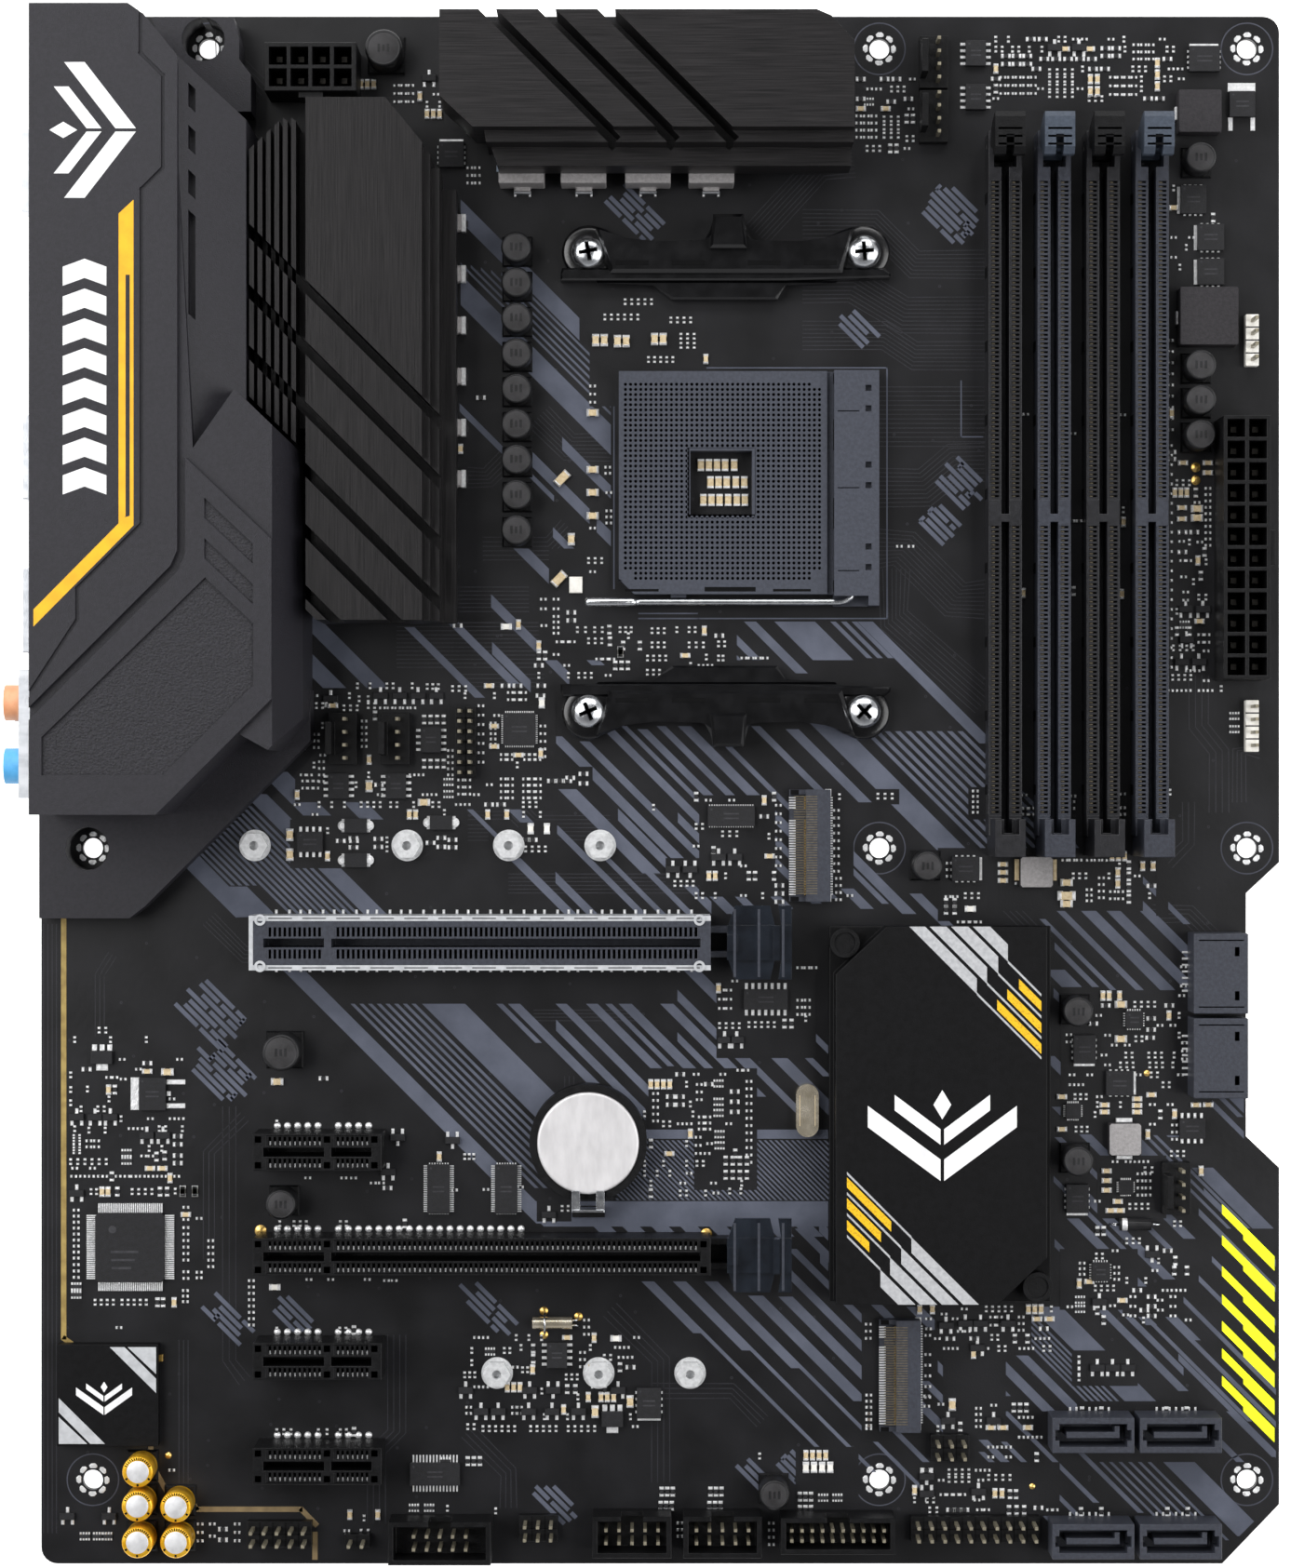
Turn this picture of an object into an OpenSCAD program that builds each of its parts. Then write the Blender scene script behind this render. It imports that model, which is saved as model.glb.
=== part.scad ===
// Desktop computer motherboard, standard full-size board with its sockets, heatsinks and rear ports.
// Board places are given from the rear lower corner of the board; on_board() moves them to the part's
// origin, which is the centre of the lower four standoff holes on the underside of the board.

/* [Board] */
// Board size from the rear edge to the front edge
board_w = 243.84; // [243.6:0.01:244.2]
// Board size from the lower edge to the upper edge
board_l = 304.8; // [304.6:0.01:305.2]
// Board thickness
board_t = 1.6; // [1.4:0.1:1.8]
// Diameter of a standoff hole
hole_d = 3.96; // [3.8:0.02:4.2]

/* [Heatsinks and shroud] */
// Height of the two power heatsinks above the board
vrm_h = 28; // [26:0.5:29]
// Height of the chipset heatsink above the board
chipset_h = 10; // [9:0.5:12]
// Height of the shroud over the rear ports
shroud_h = 36; // [35.5:0.5:38]
// Wall thickness of the shroud
shroud_wall = 2; // [1.6:0.2:2.2]

/* [Memory slots] */
// Distance from one memory slot to the next
dimm_pitch = 9.55; // [9.4:0.05:9.7]
// Length of a memory slot with both ends
dimm_l = 143.7; // [143:0.1:144.5]
// Height of a memory slot's body
dimm_h = 8; // [7.6:0.1:8.2]
// Height of the slot's end tower and of the latch
dimm_tower_h = 19; // [18:0.5:21]

/* [Expansion slots] */
// Distance between two rows of expansion slots
row_pitch = 20.32; // [20.32:0.01:20.32]
// Height of an expansion slot
pcie_h = 11.25; // [10.9:0.05:11.5]
// Length of a long slot
pcie_long = 88.9; // [88.5:0.1:89.2]
// Length of a short slot
pcie_short = 25; // [24.5:0.1:25.5]

/* [Processor socket] */
// Distance between the cooler screws across the board
cooler_x = 54; // [53.8:0.1:54.2]
// Distance between the cooler screws up the board
cooler_y = 90; // [89.8:0.1:90.2]
// Radius of the lever's wire
lever_r = 0.65; // [0.5:0.05:0.7]

/* [Button] */
// Travel of the rear button
button_travel = 1; // [0.6:0.1:1.2]

/* [Hidden] */
$fn = 40;

// Standoff holes of the standard board outline
hole_xs = [10.16, 165.1, 237.49];
hole_ys = [16.51, 140.97, 298.45];
upper_hole_x = 33.02;
origin_x = (hole_xs[0] + hole_xs[2]) / 2;
origin_y = (hole_ys[0] + hole_ys[1]) / 2;
STANDOFF_HOLES = concat(
    [for (x = hole_xs, y = [hole_ys[0], hole_ys[1]]) [x, y]],
    [for (x = [upper_hole_x, hole_xs[1], hole_xs[2]]) [x, hole_ys[2]]]);

// Screw sizes shared by the pieces that are fastened from below
screw_r = 1.4;
screw_clear_r = 1.7;
head_r = 2.6;
head_t = 2;
under_z = -head_t;

// Cooler and socket places
cooler_cx = 134.8;
cooler_cy = 212.8;
COOLER_SCREWS = [for (sx = [-1, 1], sy = [-1, 1])
    [cooler_cx + sx * cooler_x / 2, cooler_cy + sy * cooler_y / 2]];
socket_x0 = 113.8;
socket_x1 = 164.7;
socket_y0 = 190.8;
socket_y1 = 234.5;
socket_t = 3;
cover_t = 1.5;
cover_x1 = 154.6;
cam_x0 = 155.9;
cam_h = 6.5;
lever_y = 189.3;
lever_tip_x = 108;
shaft_x = 160;
shaft_z = 3.6;
shaft_r = 0.9;
shaft_bore_r = 0.95;

// Screws that hold the shroud and the two power heatsinks from below
SHROUD_SCREWS = [[36.5, 289], [20, 136], [47, 160]];
REAR_SINK_SCREWS = [[47.7, 268], [60, 190]];
TOP_SINK_SCREWS = [[84, 292], [154.5, 292]];
boss_r = 3;

// Memory slots
dimm_x0 = 189.2;
dimm_y0 = 139.5;
dimm_w = 6.5;
dimm_key_y = 66;
dimm_rail_z = 1.2;
latch_pivot_y = dimm_l - 4.4;
latch_pivot_z = 3;
latch_pin_r = 0.9;
latch_gap_w = 4.4;

// Expansion slots
pcie_x0 = 42.8;
pcie_row_1 = 122.7;
pcie_w = 7.2;
pcie_key_x = 14.6;
pcie_tail_x = 8.4;
pcie_pivot_x = 6.8;
pcie_pivot_z = 3;
pcie_pin_r = 0.8;
shield_w = 10.6;

// Solid-state drive sockets and standoffs
m2_card_edges = [[152.1, 141.5], [169.8, 37.4]];
M2_STANDOFFS = concat(
    [for (d = [110, 80, 60, 42]) [m2_card_edges[0][0] - d, m2_card_edges[0][1]]],
    [for (d = [80, 60, 42]) [m2_card_edges[1][0] - d, m2_card_edges[1][1] + 0.2]]);
m2_hole_r = 0.9;
m2_stand_h = 2.8;

// Chipset heatsink
chip_cx = 176.7;
chip_cy = 89;
sink_x0 = 155;
sink_x1 = 198.4;
sink_y0 = 52.3;
sink_y1 = 125.8;
PUSH_PINS = [[157.9, 122.6], [195.5, 55.5]];

// Coin cell
cell_x = 107.8;
cell_y = 83.3;
cell_r = 10;
cell_t = 3.2;
cell_z = 2.6;
clip_foot = 0.7;

// Rear ports
port_x = 0.8;
stack_h = 29;
audio_h = 33;
JACK_YS = [157, 169];
JACK_ZS = [6.3, 17.4, 28.5];
jack_r = 1.8;
collar_r = 3.4;
collar_out = 3.1;
button_y = 255.5;
button_z = 6;
button_r = 1.7;

// Slender header pins
pin_w = 0.64;
pin_top = 8.6;
pin_pitch = 2.54;
fine_pitch = 2;

module on_board(x = 0, y = 0, z = 0) translate([x - origin_x, y - origin_y, z + board_t]) children();
module on_underside(x = 0, y = 0) translate([x - origin_x, y - origin_y, 0]) children();

// A box from one corner to the opposite corner
module span(a, b) translate(a) cube(b - a);

// A rod standing on z
module rod(x, y, z0, z1, r) translate([x, y, z0]) cylinder(h = z1 - z0, r = r);

// A prism over an outline, between two heights
module prism(points, z0, z1) translate([0, 0, z0]) linear_extrude(height = z1 - z0) polygon(points);

// A rod that lies along X or along Y
module rod_x(x0, x1, y, z, r) translate([x0, y, z]) rotate([0, 90, 0]) cylinder(h = x1 - x0, r = r);
module rod_y(x, y0, y1, z, r) translate([x, y0, z]) rotate([-90, 0, 0]) cylinder(h = y1 - y0, r = r);

// Points of a round corner, anticlockwise from start_angle
function corner(cx, cy, r, start_angle, steps = 6) =
    [for (i = [0:steps])
        let (a = start_angle + 90 * i / steps)
        [cx + r * cos(a), cy + r * sin(a)]];

corner_r = 3.2;
notch_x = 237.3;
BOARD_OUTLINE = concat(
    corner(corner_r, corner_r, corner_r, 180),
    [[board_w - 11.2, 0], [board_w, 11.7], [board_w, 78], [notch_x, 84.2], [notch_x, 132.1],
        [board_w, 138.2]],
    corner(board_w - corner_r, board_l - corner_r, corner_r, 0),
    [[0, board_l]]);

module pcb() {
    color("#1e1e20")
    difference() {
        on_board(0, 0, -board_t) prism(BOARD_OUTLINE, 0, board_t);
        on_board() for (p = STANDOFF_HOLES) rod(p[0], p[1], -board_t - 1, 1, hole_d / 2);
        on_board()
            for (p = concat(COOLER_SCREWS, SHROUD_SCREWS, REAR_SINK_SCREWS, TOP_SINK_SCREWS, PUSH_PINS))
                rod(p[0], p[1], -board_t - 1, 1, screw_clear_r);
    }
}

// Shroud over the rear ports: a high platform with a groove pattern, a lower plate with a raised pad,
// a sloping side towards the power heatsink and two low flanges with clearance round standoff holes.
shroud_x = 3.2;
shroud_top = shroud_h - 1.2;
PLATFORM = [[shroud_x, 300.4], [21.8, 300.4], [24.7, 298.4], [31.1, 290.5], [31.1, 197.6],
    [29.8, 194.6], [shroud_x, 168]];
LOWER_PLATE = [[32.6, 215], [32.6, 197], [31.2, 193.6], [shroud_x, 165.6], [shroud_x, 147.8], [27, 147.8],
    [48.8, 169.6], [48.8, 199.6]];
PLATFORM_GROOVE = [[24.2, 301], [24.2, 291], [28.4, 286.8], [28.4, 269.4], [24.4, 265.4], [24.4, 202.5],
    [12.3, 190.4], [12.3, 184.5], [shroud_x - 1, 175.2 - 6.2]];
groove_w = 0.7;
SIDE_OUTLINE = [[30, 291.6], [43.1, 280], [43.1, 226.7], [32, 215], [30, 215]];
FACET_OUTLINE = [[32.6, 215], [41.7, 228], [52.7, 217.4], [53.4, 203], [53.4, 166], [48, 160], [30, 170]];
LOW_FLANGE = [[0.8, 148], [0.8, 127.4], [18.4, 127.4], [21.6, 129.9], [53.7, 162], [53.7, 172], [27, 172]];
HIGH_FLANGE = [[23, 302.6], [39, 302.6], [40, 298.2], [40, 294.6], [42.3, 291.6], [42.3, 284.4], [30, 284.4]];
flange_h = 8;
PAD_OUTLINE = [[36.3, 192.4], [45.4, 183.8], [45.4, 172.2], [28.4, 155.2], [5.6, 155.2], [5.6, 162.4]];
SIDE_MARKS = [[242.4, 262], [265.2, 269.6], [273.6, 278], [281.6, 286]];

// A groove of the given width along a line of points
module groove(points, z0, z1) {
    for (i = [0:len(points) - 2]) {
        a = points[i];
        b = points[i + 1];
        run = norm(b - a);
        turn = atan2(b[1] - a[1], b[0] - a[0]);
        translate([a[0], a[1], z0]) rotate([0, 0, turn]) translate([-groove_w / 2, -groove_w / 2, 0])
            cube([run + groove_w, groove_w, z1 - z0]);
    }
}

// Lifts an outline to a roof that falls by drop over a run in the direction turn, from the point at
module sloped(points, z_top, at, turn, drop, run) {
    difference() {
        prism(points, 0, z_top);
        translate([at[0], at[1], z_top]) rotate([0, atan(drop / run), turn]) translate([0, -90, 0])
            cube([90, 180, 40]);
    }
}

module io_shroud() {
    color("#3a383f")
    on_board() difference() {
        union() {
            prism(PLATFORM, 0, shroud_h);
            prism(LOWER_PLATE, 0, shroud_h);
            prism([[30, 291], [34, 215], [32.8, 197], [31, 193], [shroud_x, 164], [shroud_x, 170], [30, 196]],
                0, shroud_top);
            sloped(SIDE_OUTLINE, shroud_top - 1, [31.1, 250], 0, 7, 12);
            sloped(FACET_OUTLINE, shroud_top, [48.8, 199.6], 0, 14, 5);
            prism(LOW_FLANGE, 0, flange_h);
            prism(HIGH_FLANGE, 0, flange_h + 2);
        }
        // the hollow that the ports stand in, open at the rear
        prism([[-2, 150], [26.5, 150], [46.4, 170], [46.4, 198.4], [31, 212.8], [29.1, 213], [29.1, 288.5],
            [22, 298.2], [-2, 298.2]], -1, shroud_h - 2.4);
        // hollows below the side and below the low flange
        prism([[29.1, 217], [31.8, 217.4], [41, 227.4], [41, 279], [30.4, 288]], -1, shroud_h - 12);
        difference() {
            prism([[2.8, 151], [2.8, 129.4], [17.6, 129.4], [20.4, 131.6], [51.7, 163], [51.7, 170],
                [27, 170]],
                -1, flange_h - shroud_wall);
            for (p = SHROUD_SCREWS) rod(p[0], p[1], -2, flange_h, boss_r);
            rod(hole_xs[0], hole_ys[1], -2, flange_h, 6.2);
        }
        // clearance round the two standoff holes
        rod(hole_xs[0], hole_ys[1], -1, shroud_h, 4.2);
        rod(upper_hole_x, hole_ys[2], -1, shroud_h, 4.2);
        for (p = SHROUD_SCREWS) rod(p[0], p[1], -1, 6, screw_r + 0.05);
        groove(PLATFORM_GROOVE, shroud_h - 0.5, shroud_h + 1);
        prism(PAD_OUTLINE, shroud_h - 0.6, shroud_h + 1);
        for (dy = [0, -7.6])
            translate([0, dy, 0])
                prism([[36.2, 207.4], [45.3, 198.8], [45.3, 195], [36.2, 203.6]], shroud_h - 0.6, shroud_h + 1);
        for (m = SIDE_MARKS)
            prism([[32.8, m[0]], [34.1, m[0] - 1.2], [34.1, m[1] - 1.2], [32.8, m[1]]], 30.5, 40);
    }
}

// A slot that runs across a heatsink at 45 degrees, falling towards the front edge
module diagonal_cut(x, y, length, width, z0) {
    translate([x, y, z0]) rotate([0, 0, -45]) translate([0, -width / 2, 0]) cube([length, width, vrm_h]);
}

sink_floor = 2.6;
choke_h = 8;
choke_pad = 0.4;

module vrm_heatsink_rear() {
    color("#2b292b")
    on_board() difference() {
        union() {
            // the flat plate and its stepped edge
            prism([[54.5, 284.1], [69.6, 284.1], [76.6, 275.6], [76.6, 184.8], [56.5, 184.8], [54.5, 186.8]],
                choke_h + choke_pad, vrm_h);
            span([54.5, 187, sink_floor], [69, 283.4, choke_h + 1]);
            prism([[70, 281], [78, 273.8], [78, 184.8], [70, 184.8]], choke_h + choke_pad, vrm_h - 3);
            span([70, 184.8, choke_h + choke_pad], [79.6, 271.5, vrm_h - 6]);
            span([70, 184.8, choke_h + choke_pad], [82.4, 268.6, vrm_h - 14]);
            // the finned part beside the shroud
            prism([[43.6, 274.5], [49.4, 280.3], [52.5, 280.3], [52.5, 218.6], [43.6, 227.4]], sink_floor, 8);
            for (i = [0:5])
                prism([[43.6 + 1.6 * i, 274.5 + 1.5 * min(i, 4)], [44.5 + 1.6 * i, 275.4 + 1.5 * min(i, 3)],
                    [44.5 + 1.6 * i, 226.6 - 1.6 * i], [43.6 + 1.6 * i, 227.4 - 1.6 * i]], 7, vrm_h - 2);
            span([52, 222, sink_floor], [55, 279, 18]);
        }
        for (i = [0:6]) diagonal_cut(40, 262.6 - 11.6 * i, 62, 1.9, 16);
        for (p = REAR_SINK_SCREWS) rod(p[0], p[1], 0, 7, screw_r + 0.05);
    }
}

module vrm_heatsink_top() {
    color("#2b292b")
    on_board() difference() {
        union() {
            prism([[79.9, 300.8], [79.9, 284.4], [86.2, 278.5], [158.8, 278.5], [158.8, 294.8], [154.4, 299.6],
                [151.6, 300.8]], choke_h + choke_pad, vrm_h);
            prism([[88, 280], [88.6, 276.2], [158.8, 276.2], [158.8, 280]], choke_h + choke_pad, vrm_h - 4);
            prism([[88, 280], [90.6, 272.6], [158.6, 272.6], [158.6, 280]], choke_h + choke_pad, vrm_h - 10);
            span([82, 283.4, sink_floor], [157, 299, choke_h + 1]);
        }
        for (x = [86.6, 97.9, 109.2]) diagonal_cut(x, 303.2, 38, 2.4, 16);
        for (p = TOP_SINK_SCREWS) rod(p[0], p[1], 0, 7, screw_r + 0.05);
    }
}

choke_w = 8.9;
REAR_CHOKES_Y = [for (i = [0:5]) 263.9 - 10.06 * i];
TOP_CHOKES_X = [94.8, 106.9, 119.5, 131.9];

module choke() {
    span([-choke_w / 2, -5, 0.4], [choke_w / 2, 5, choke_h]);
    for (s = [-1, 1]) span([-1.6, s * 5.4 - 0.4, 0], [1.6, s * 5.4 + 0.4, 3]);
}

module vrm_chokes() {
    color("#6f6c6c")
    on_board() {
        for (y = REAR_CHOKES_Y) translate([77, y, 0]) rotate([0, 0, 90]) choke();
        for (x = TOP_CHOKES_X) translate([x, 275.8, 0]) choke();
    }
}

module thermal_pads() {
    color("#8d99a6")
    on_board() {
        span([56, 205, 1.1], [66, 272, sink_floor]);
        span([88, 285, 1.1], [140, 297, sink_floor]);
        span([71.2, 208, choke_h], [81.8, 268.5, choke_h + choke_pad]);
        span([90, 273, choke_h], [136.4, 280, choke_h + choke_pad]);
    }
}

module underside_screw(p, grip) {
    on_underside(p[0], p[1]) {
        translate([0, 0, under_z]) cylinder(h = head_t, r = head_r);
        cylinder(h = board_t + grip, r = screw_r);
    }
}

module underside_screws() {
    color("#b9bcc0") {
        for (p = SHROUD_SCREWS) underside_screw(p, 5);
        for (p = concat(REAR_SINK_SCREWS, TOP_SINK_SCREWS)) underside_screw(p, sink_floor + 3.5);
    }
}

module socket_base() {
    color("#474c5a")
    on_board() difference() {
        union() {
            prism([[socket_x0 + 3, socket_y0], [socket_x1, socket_y0], [socket_x1, socket_y1],
                [socket_x0, socket_y1], [socket_x0, socket_y0 + 3]], 0, socket_t);
            span([cam_x0, socket_y0 - 2.3, 0], [socket_x1, socket_y1, cam_h]);
            // the hook that holds the lever down
            span([124, socket_y0 - 0.6, 0], [127, socket_y0 + 0.4, socket_t]);
        }
        span([127.8, 206.4, -1], [139.9, 218.9, socket_t + 1]);
        rod_y(shaft_x, socket_y0 - 4, socket_y1 - 6, shaft_z, shaft_bore_r);
        // pocket that the cam lobe turns in, open towards the cover
        rod_y(shaft_x, 204, 221, shaft_z, 2.2);
        // slit that the lever's bend swings in
        span([cam_x0 - 1, socket_y0 - 3, 2], [shaft_x + 2.6, socket_y0 - 0.4, cam_h + 1]);
        for (y = [196, 200, 212, 216, 227, 231])
            span([162, y - 0.6, cam_h - 1.2], [163.2, y + 0.6, cam_h + 1]);
    }
}

module socket_cover() {
    color("#4b5060")
    on_board() difference() {
        prism([[socket_x0 + 3, socket_y0], [cover_x1, socket_y0], [cover_x1, socket_y1], [socket_x0, socket_y1],
            [socket_x0, socket_y0 + 3]], socket_t, socket_t + cover_t);
        span([127.8, 206.4, socket_t - 1], [139.9, 218.9, socket_t + cover_t + 1]);
    }
}

module socket_lever() {
    color("#c9ccd0")
    on_board() {
        rod_y(shaft_x, lever_y, socket_y1 - 7, shaft_z, shaft_r);
        rod_y(shaft_x + 0.9, 205, 220, shaft_z, 1.1);
        translate([shaft_x, lever_y, shaft_z]) sphere(r = shaft_r);
        rod_x(lever_tip_x + 9, shaft_x, lever_y, shaft_z, lever_r);
        rod_x(lever_tip_x, lever_tip_x + 9.2, lever_y, shaft_z, lever_r + 0.25);
        translate([lever_tip_x, lever_y, shaft_z]) sphere(r = lever_r + 0.25);
    }
}

module socket_backplate() {
    color("#23242a")
    on_underside() difference() {
        union() {
            span([cooler_cx - 26, cooler_cy - 46, under_z], [cooler_cx + 26, cooler_cy + 46, 0]);
            for (p = COOLER_SCREWS) rod(p[0], p[1], under_z, 0, 6);
        }
        span([cooler_cx - 18, cooler_cy - 18, under_z - 1], [cooler_cx + 18, cooler_cy + 18, 1]);
        for (p = COOLER_SCREWS) rod(p[0], p[1], under_z - 1, 1, screw_r + 0.05);
    }
}

bracket_base_h = 3;
bracket_wall_h = 9;

// One cooler bracket, drawn round the middle of its two screws with its hook towards +Y
module cooler_bracket() {
    half = cooler_x / 2;
    difference() {
        union() {
            for (s = [-1, 1]) rod(s * half, 0, 0, 6, 5.4);
            span([-half - 5.4, -4.5, 0], [half + 5.4, 3.4, bracket_base_h]);
            span([-half - 3, -4.5, 0], [half + 3, -3.4, bracket_wall_h]);
            for (s = [-1, 1]) span([min(s * 16, s * 29), -9.8, 0], [max(s * 16, s * 29), -4, 2]);
            span([-11, -9.8, 0], [11, -4, 2]);
            span([-9, -4.4, 0], [9, 4, bracket_wall_h]);
            span([-3.4, 3.9, 4.4], [3.4, 6.9, bracket_wall_h - 0.6]);
            for (s = [-1, 1]) span([s * 19 - 0.6, -4.4, 0], [s * 19 + 0.6, 3.4, 7]);
        }
        for (s = [-1, 1]) rod(s * half, 0, -1, 9, screw_clear_r);
        for (s = [-1, 1]) rod(s * half, 0, 4, 9, 3.6);
        span([-7.4, -2.8, 2], [7.4, 2.4, bracket_wall_h + 1]);
    }
}

module cooler_bracket_top() {
    color("#1a1a1c") on_board(cooler_cx, cooler_cy + cooler_y / 2) cooler_bracket();
}

module cooler_bracket_bottom() {
    color("#1a1a1c") on_board(cooler_cx, cooler_cy - cooler_y / 2) rotate([0, 0, 180]) cooler_bracket();
}

module bracket_screws() {
    color("#9a9da2")
    for (p = COOLER_SCREWS)
        on_board(p[0], p[1]) difference() {
            union() {
                rod(0, 0, -board_t - 1.8, 4, screw_r);
                rod(0, 0, 4, 6.6, 3.3);
            }
            span([-2.2, -0.4, 5.8], [2.2, 0.4, 8]);
            span([-0.4, -2.2, 5.8], [0.4, 2.2, 8]);
        }
}

// One memory slot, with its lower tower at y = 0 and the latch pocket at the upper end
module dimm_slot() {
    difference() {
        union() {
            span([-dimm_w / 2, 4, 0], [dimm_w / 2, dimm_l - 2.2, dimm_h]);
            span([-dimm_w / 2 + 0.3, 0, 0], [dimm_w / 2 - 0.3, 7.3, dimm_tower_h]);
        }
        // card groove in two parts with the key between them
        span([-0.75, 4.6, 1.4], [0.75, dimm_key_y - 0.8, dimm_tower_h + 1]);
        span([-0.75, dimm_key_y + 0.8, 1.4], [0.75, dimm_l - 7, dimm_h + 1]);
        // contact channels
        for (s = [-1, 1])
            for (yy = [[8, dimm_key_y - 1.6], [dimm_key_y + 3.6, dimm_l - 12]])
                span([s * 2 - 1.05, yy[0], dimm_h - dimm_rail_z], [s * 2 + 1.05, yy[1], dimm_h + 1]);
        // tower window and latch pocket
        span([-1.7, 4.4, 14], [1.7, 8, dimm_tower_h + 1]);
        span([-latch_gap_w / 2, dimm_l - 9.2, 0.2], [latch_gap_w / 2, dimm_l, dimm_h + 1]);
        rod_x(-dimm_w, dimm_w, latch_pivot_y, latch_pivot_z, latch_pin_r + 0.05);
    }
}

module dimm_latch() {
    arm_w = latch_gap_w - 0.4;
    translate([0, latch_pivot_y, latch_pivot_z]) {
        rod_x(-dimm_w / 2 + 0.1, dimm_w / 2 - 0.1, 0, 0, latch_pin_r);
        rotate([90, 0, 90]) translate([0, 0, -arm_w / 2]) linear_extrude(height = arm_w)
            polygon([[-2.8, -1.8], [2, -1.8], [2.4, 1], [2.2, 8], [-1.4, 8], [-1.6, 1.6], [-2.8, 0.4]]);
        rotate([90, 0, 90]) translate([0, 0, -2.9]) difference() {
            linear_extrude(height = 5.8)
                polygon([[-1.4, 6.4], [2.2, 6.4], [3, 9], [4.2, 13.6], [4.2, 15.8], [3.2, 16],
                    [-2.6, 16], [-3.9, 14.8], [-3.9, 12.6], [-2, 9.6]]);
            translate([-4.5, 9, 2.15]) cube([4.3, 8, 1.5]);
        }
    }
}

module dimm_slot_at(i) on_board(dimm_x0 + dimm_pitch * i, dimm_y0) dimm_slot();
module dimm_latch_at(i) on_board(dimm_x0 + dimm_pitch * i, dimm_y0) dimm_latch();

// An expansion slot along +X from x = 0, centred on y = 0
module pcie_slot(length, width) {
    difference() {
        span([0, -width / 2, 0], [length, width / 2, pcie_h]);
        span([2, -0.85, 2], [pcie_key_x - 0.8, 0.85, pcie_h + 1]);
        span([pcie_key_x + 0.6, -0.85, 2], [length - 2, 0.85, pcie_h + 1]);
        for (s = [-1, 1])
            for (xx = [[2.6, pcie_key_x - 1.4], [pcie_key_x + 1.2, length - 2.6]])
                span([xx[0], s * 2.15 - 0.9, pcie_h - 1.4], [xx[1], s * 2.15 + 0.9, pcie_h + 1]);
    }
}

// The forked tail that carries the card latch
module pcie_tail(length) {
    difference() {
        for (s = [-1, 1])
            span([length - 0.5, s * 2.4 - 0.6, 0], [length + pcie_tail_x, s * 2.4 + 0.6, 6]);
        rod_y(length + pcie_pivot_x, -4, 4, pcie_pivot_z, pcie_pin_r + 0.05);
    }
}

module pcie_latch(length) {
    translate([length + pcie_pivot_x, 0, pcie_pivot_z]) {
        rod_y(0, -3, 3, 0, pcie_pin_r);
        span([-1.4, -1.6, -1.4], [1.6, 1.6, 4.4]);
        span([-3.6, -3.4, 4.2], [9, 3.4, 6.2]);
        span([-3.6, -1.6, 6], [-1.6, 1.6, 8.2]);
        span([5.4, -3.4, 5.6], [6.6, 3.4, 7.8]);
        for (s = [-1, 1]) {
            prism([[-3.4, s * 3.2], [-2, s * 7.2], [4.8, s * 7.2], [5.8, s * 3.2]], 4.2, 5.4);
            prism([[7, s * 3.2], [6.4, s * 7.2], [9, s * 7.2], [9, s * 3.2]], 4.2, 5.8);
        }
    }
}

module pcie_row(i) on_board(pcie_x0, pcie_row_1 - row_pitch * i) children();

module pcie_x16_slot_1() {
    color("#50576a") pcie_row(0) {
        pcie_slot(pcie_long, 8.6);
        pcie_tail(pcie_long);
    }
}

module pcie_x16_shield() {
    color("#d5d7da") pcie_row(0) {
        for (s = [-1, 1]) {
            span([0, s * 4.8 - 0.5, 0], [pcie_long, s * 4.8 + 0.5, pcie_h]);
            for (x = [1.4, pcie_long - 2.2])
                difference() {
                    rod(x, s * 4.5, pcie_h, pcie_h + 0.4, 1.1);
                    rod(x, s * 4.5, pcie_h - 1, pcie_h + 1, 0.6);
                }
        }
        span([-0.8, -5.3, 0], [0, 5.3, pcie_h]);
    }
}

module pcie_x16_latch_1() {
    color("#22262c") pcie_row(0) pcie_latch(pcie_long);
}

module pcie_x16_slot_2() {
    color("#26262a") pcie_row(3) {
        pcie_slot(pcie_long, pcie_w);
        pcie_tail(pcie_long);
    }
}

module pcie_x16_latch_2() {
    color("#22262c") pcie_row(3) pcie_latch(pcie_long);
}

module pcie_x1_slots() {
    color("#26262a") for (i = [2, 4, 5]) pcie_row(i) pcie_slot(pcie_short, pcie_w);
}

module m2_socket() {
    difference() {
        span([-1.6, -11, 0], [3.2, 11, 4.2]);
        span([-2, -9.8, 1.4], [0.6, 5.6, 2.8]);
        span([-2, 6.8, 1.4], [0.6, 9.8, 2.8]);
    }
    span([-4.8, -11, 0], [-1.6, -10, 2.6]);
    span([-4.8, 10, 0], [-1.6, 11, 2.6]);
    span([-4.8, -10, 0], [-1.6, 10, 1.2]);
}

module m2_sockets() {
    color("#5d6270")
    for (p = m2_card_edges) on_board(p[0], p[1]) m2_socket();
}

module m2_standoffs() {
    color("#e2e3e5")
    for (p = M2_STANDOFFS)
        on_board(p[0], p[1]) difference() {
            union() {
                cylinder(h = 0.5, r = 3.1);
                cylinder(h = m2_stand_h, r = 2.75, $fn = 6);
            }
            translate([0, 0, 0.4]) cylinder(h = m2_stand_h, r = m2_hole_r);
        }
}

module chipset_chip() {
    color("#2d4a35")
    on_board(chip_cx, chip_cy) {
        span([-11.5, -11.5, 0], [11.5, 11.5, 1.2]);
        span([-5, -5, 1.2], [5, 5, 2]);
    }
}

sink_cut = 9.2;

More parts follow.
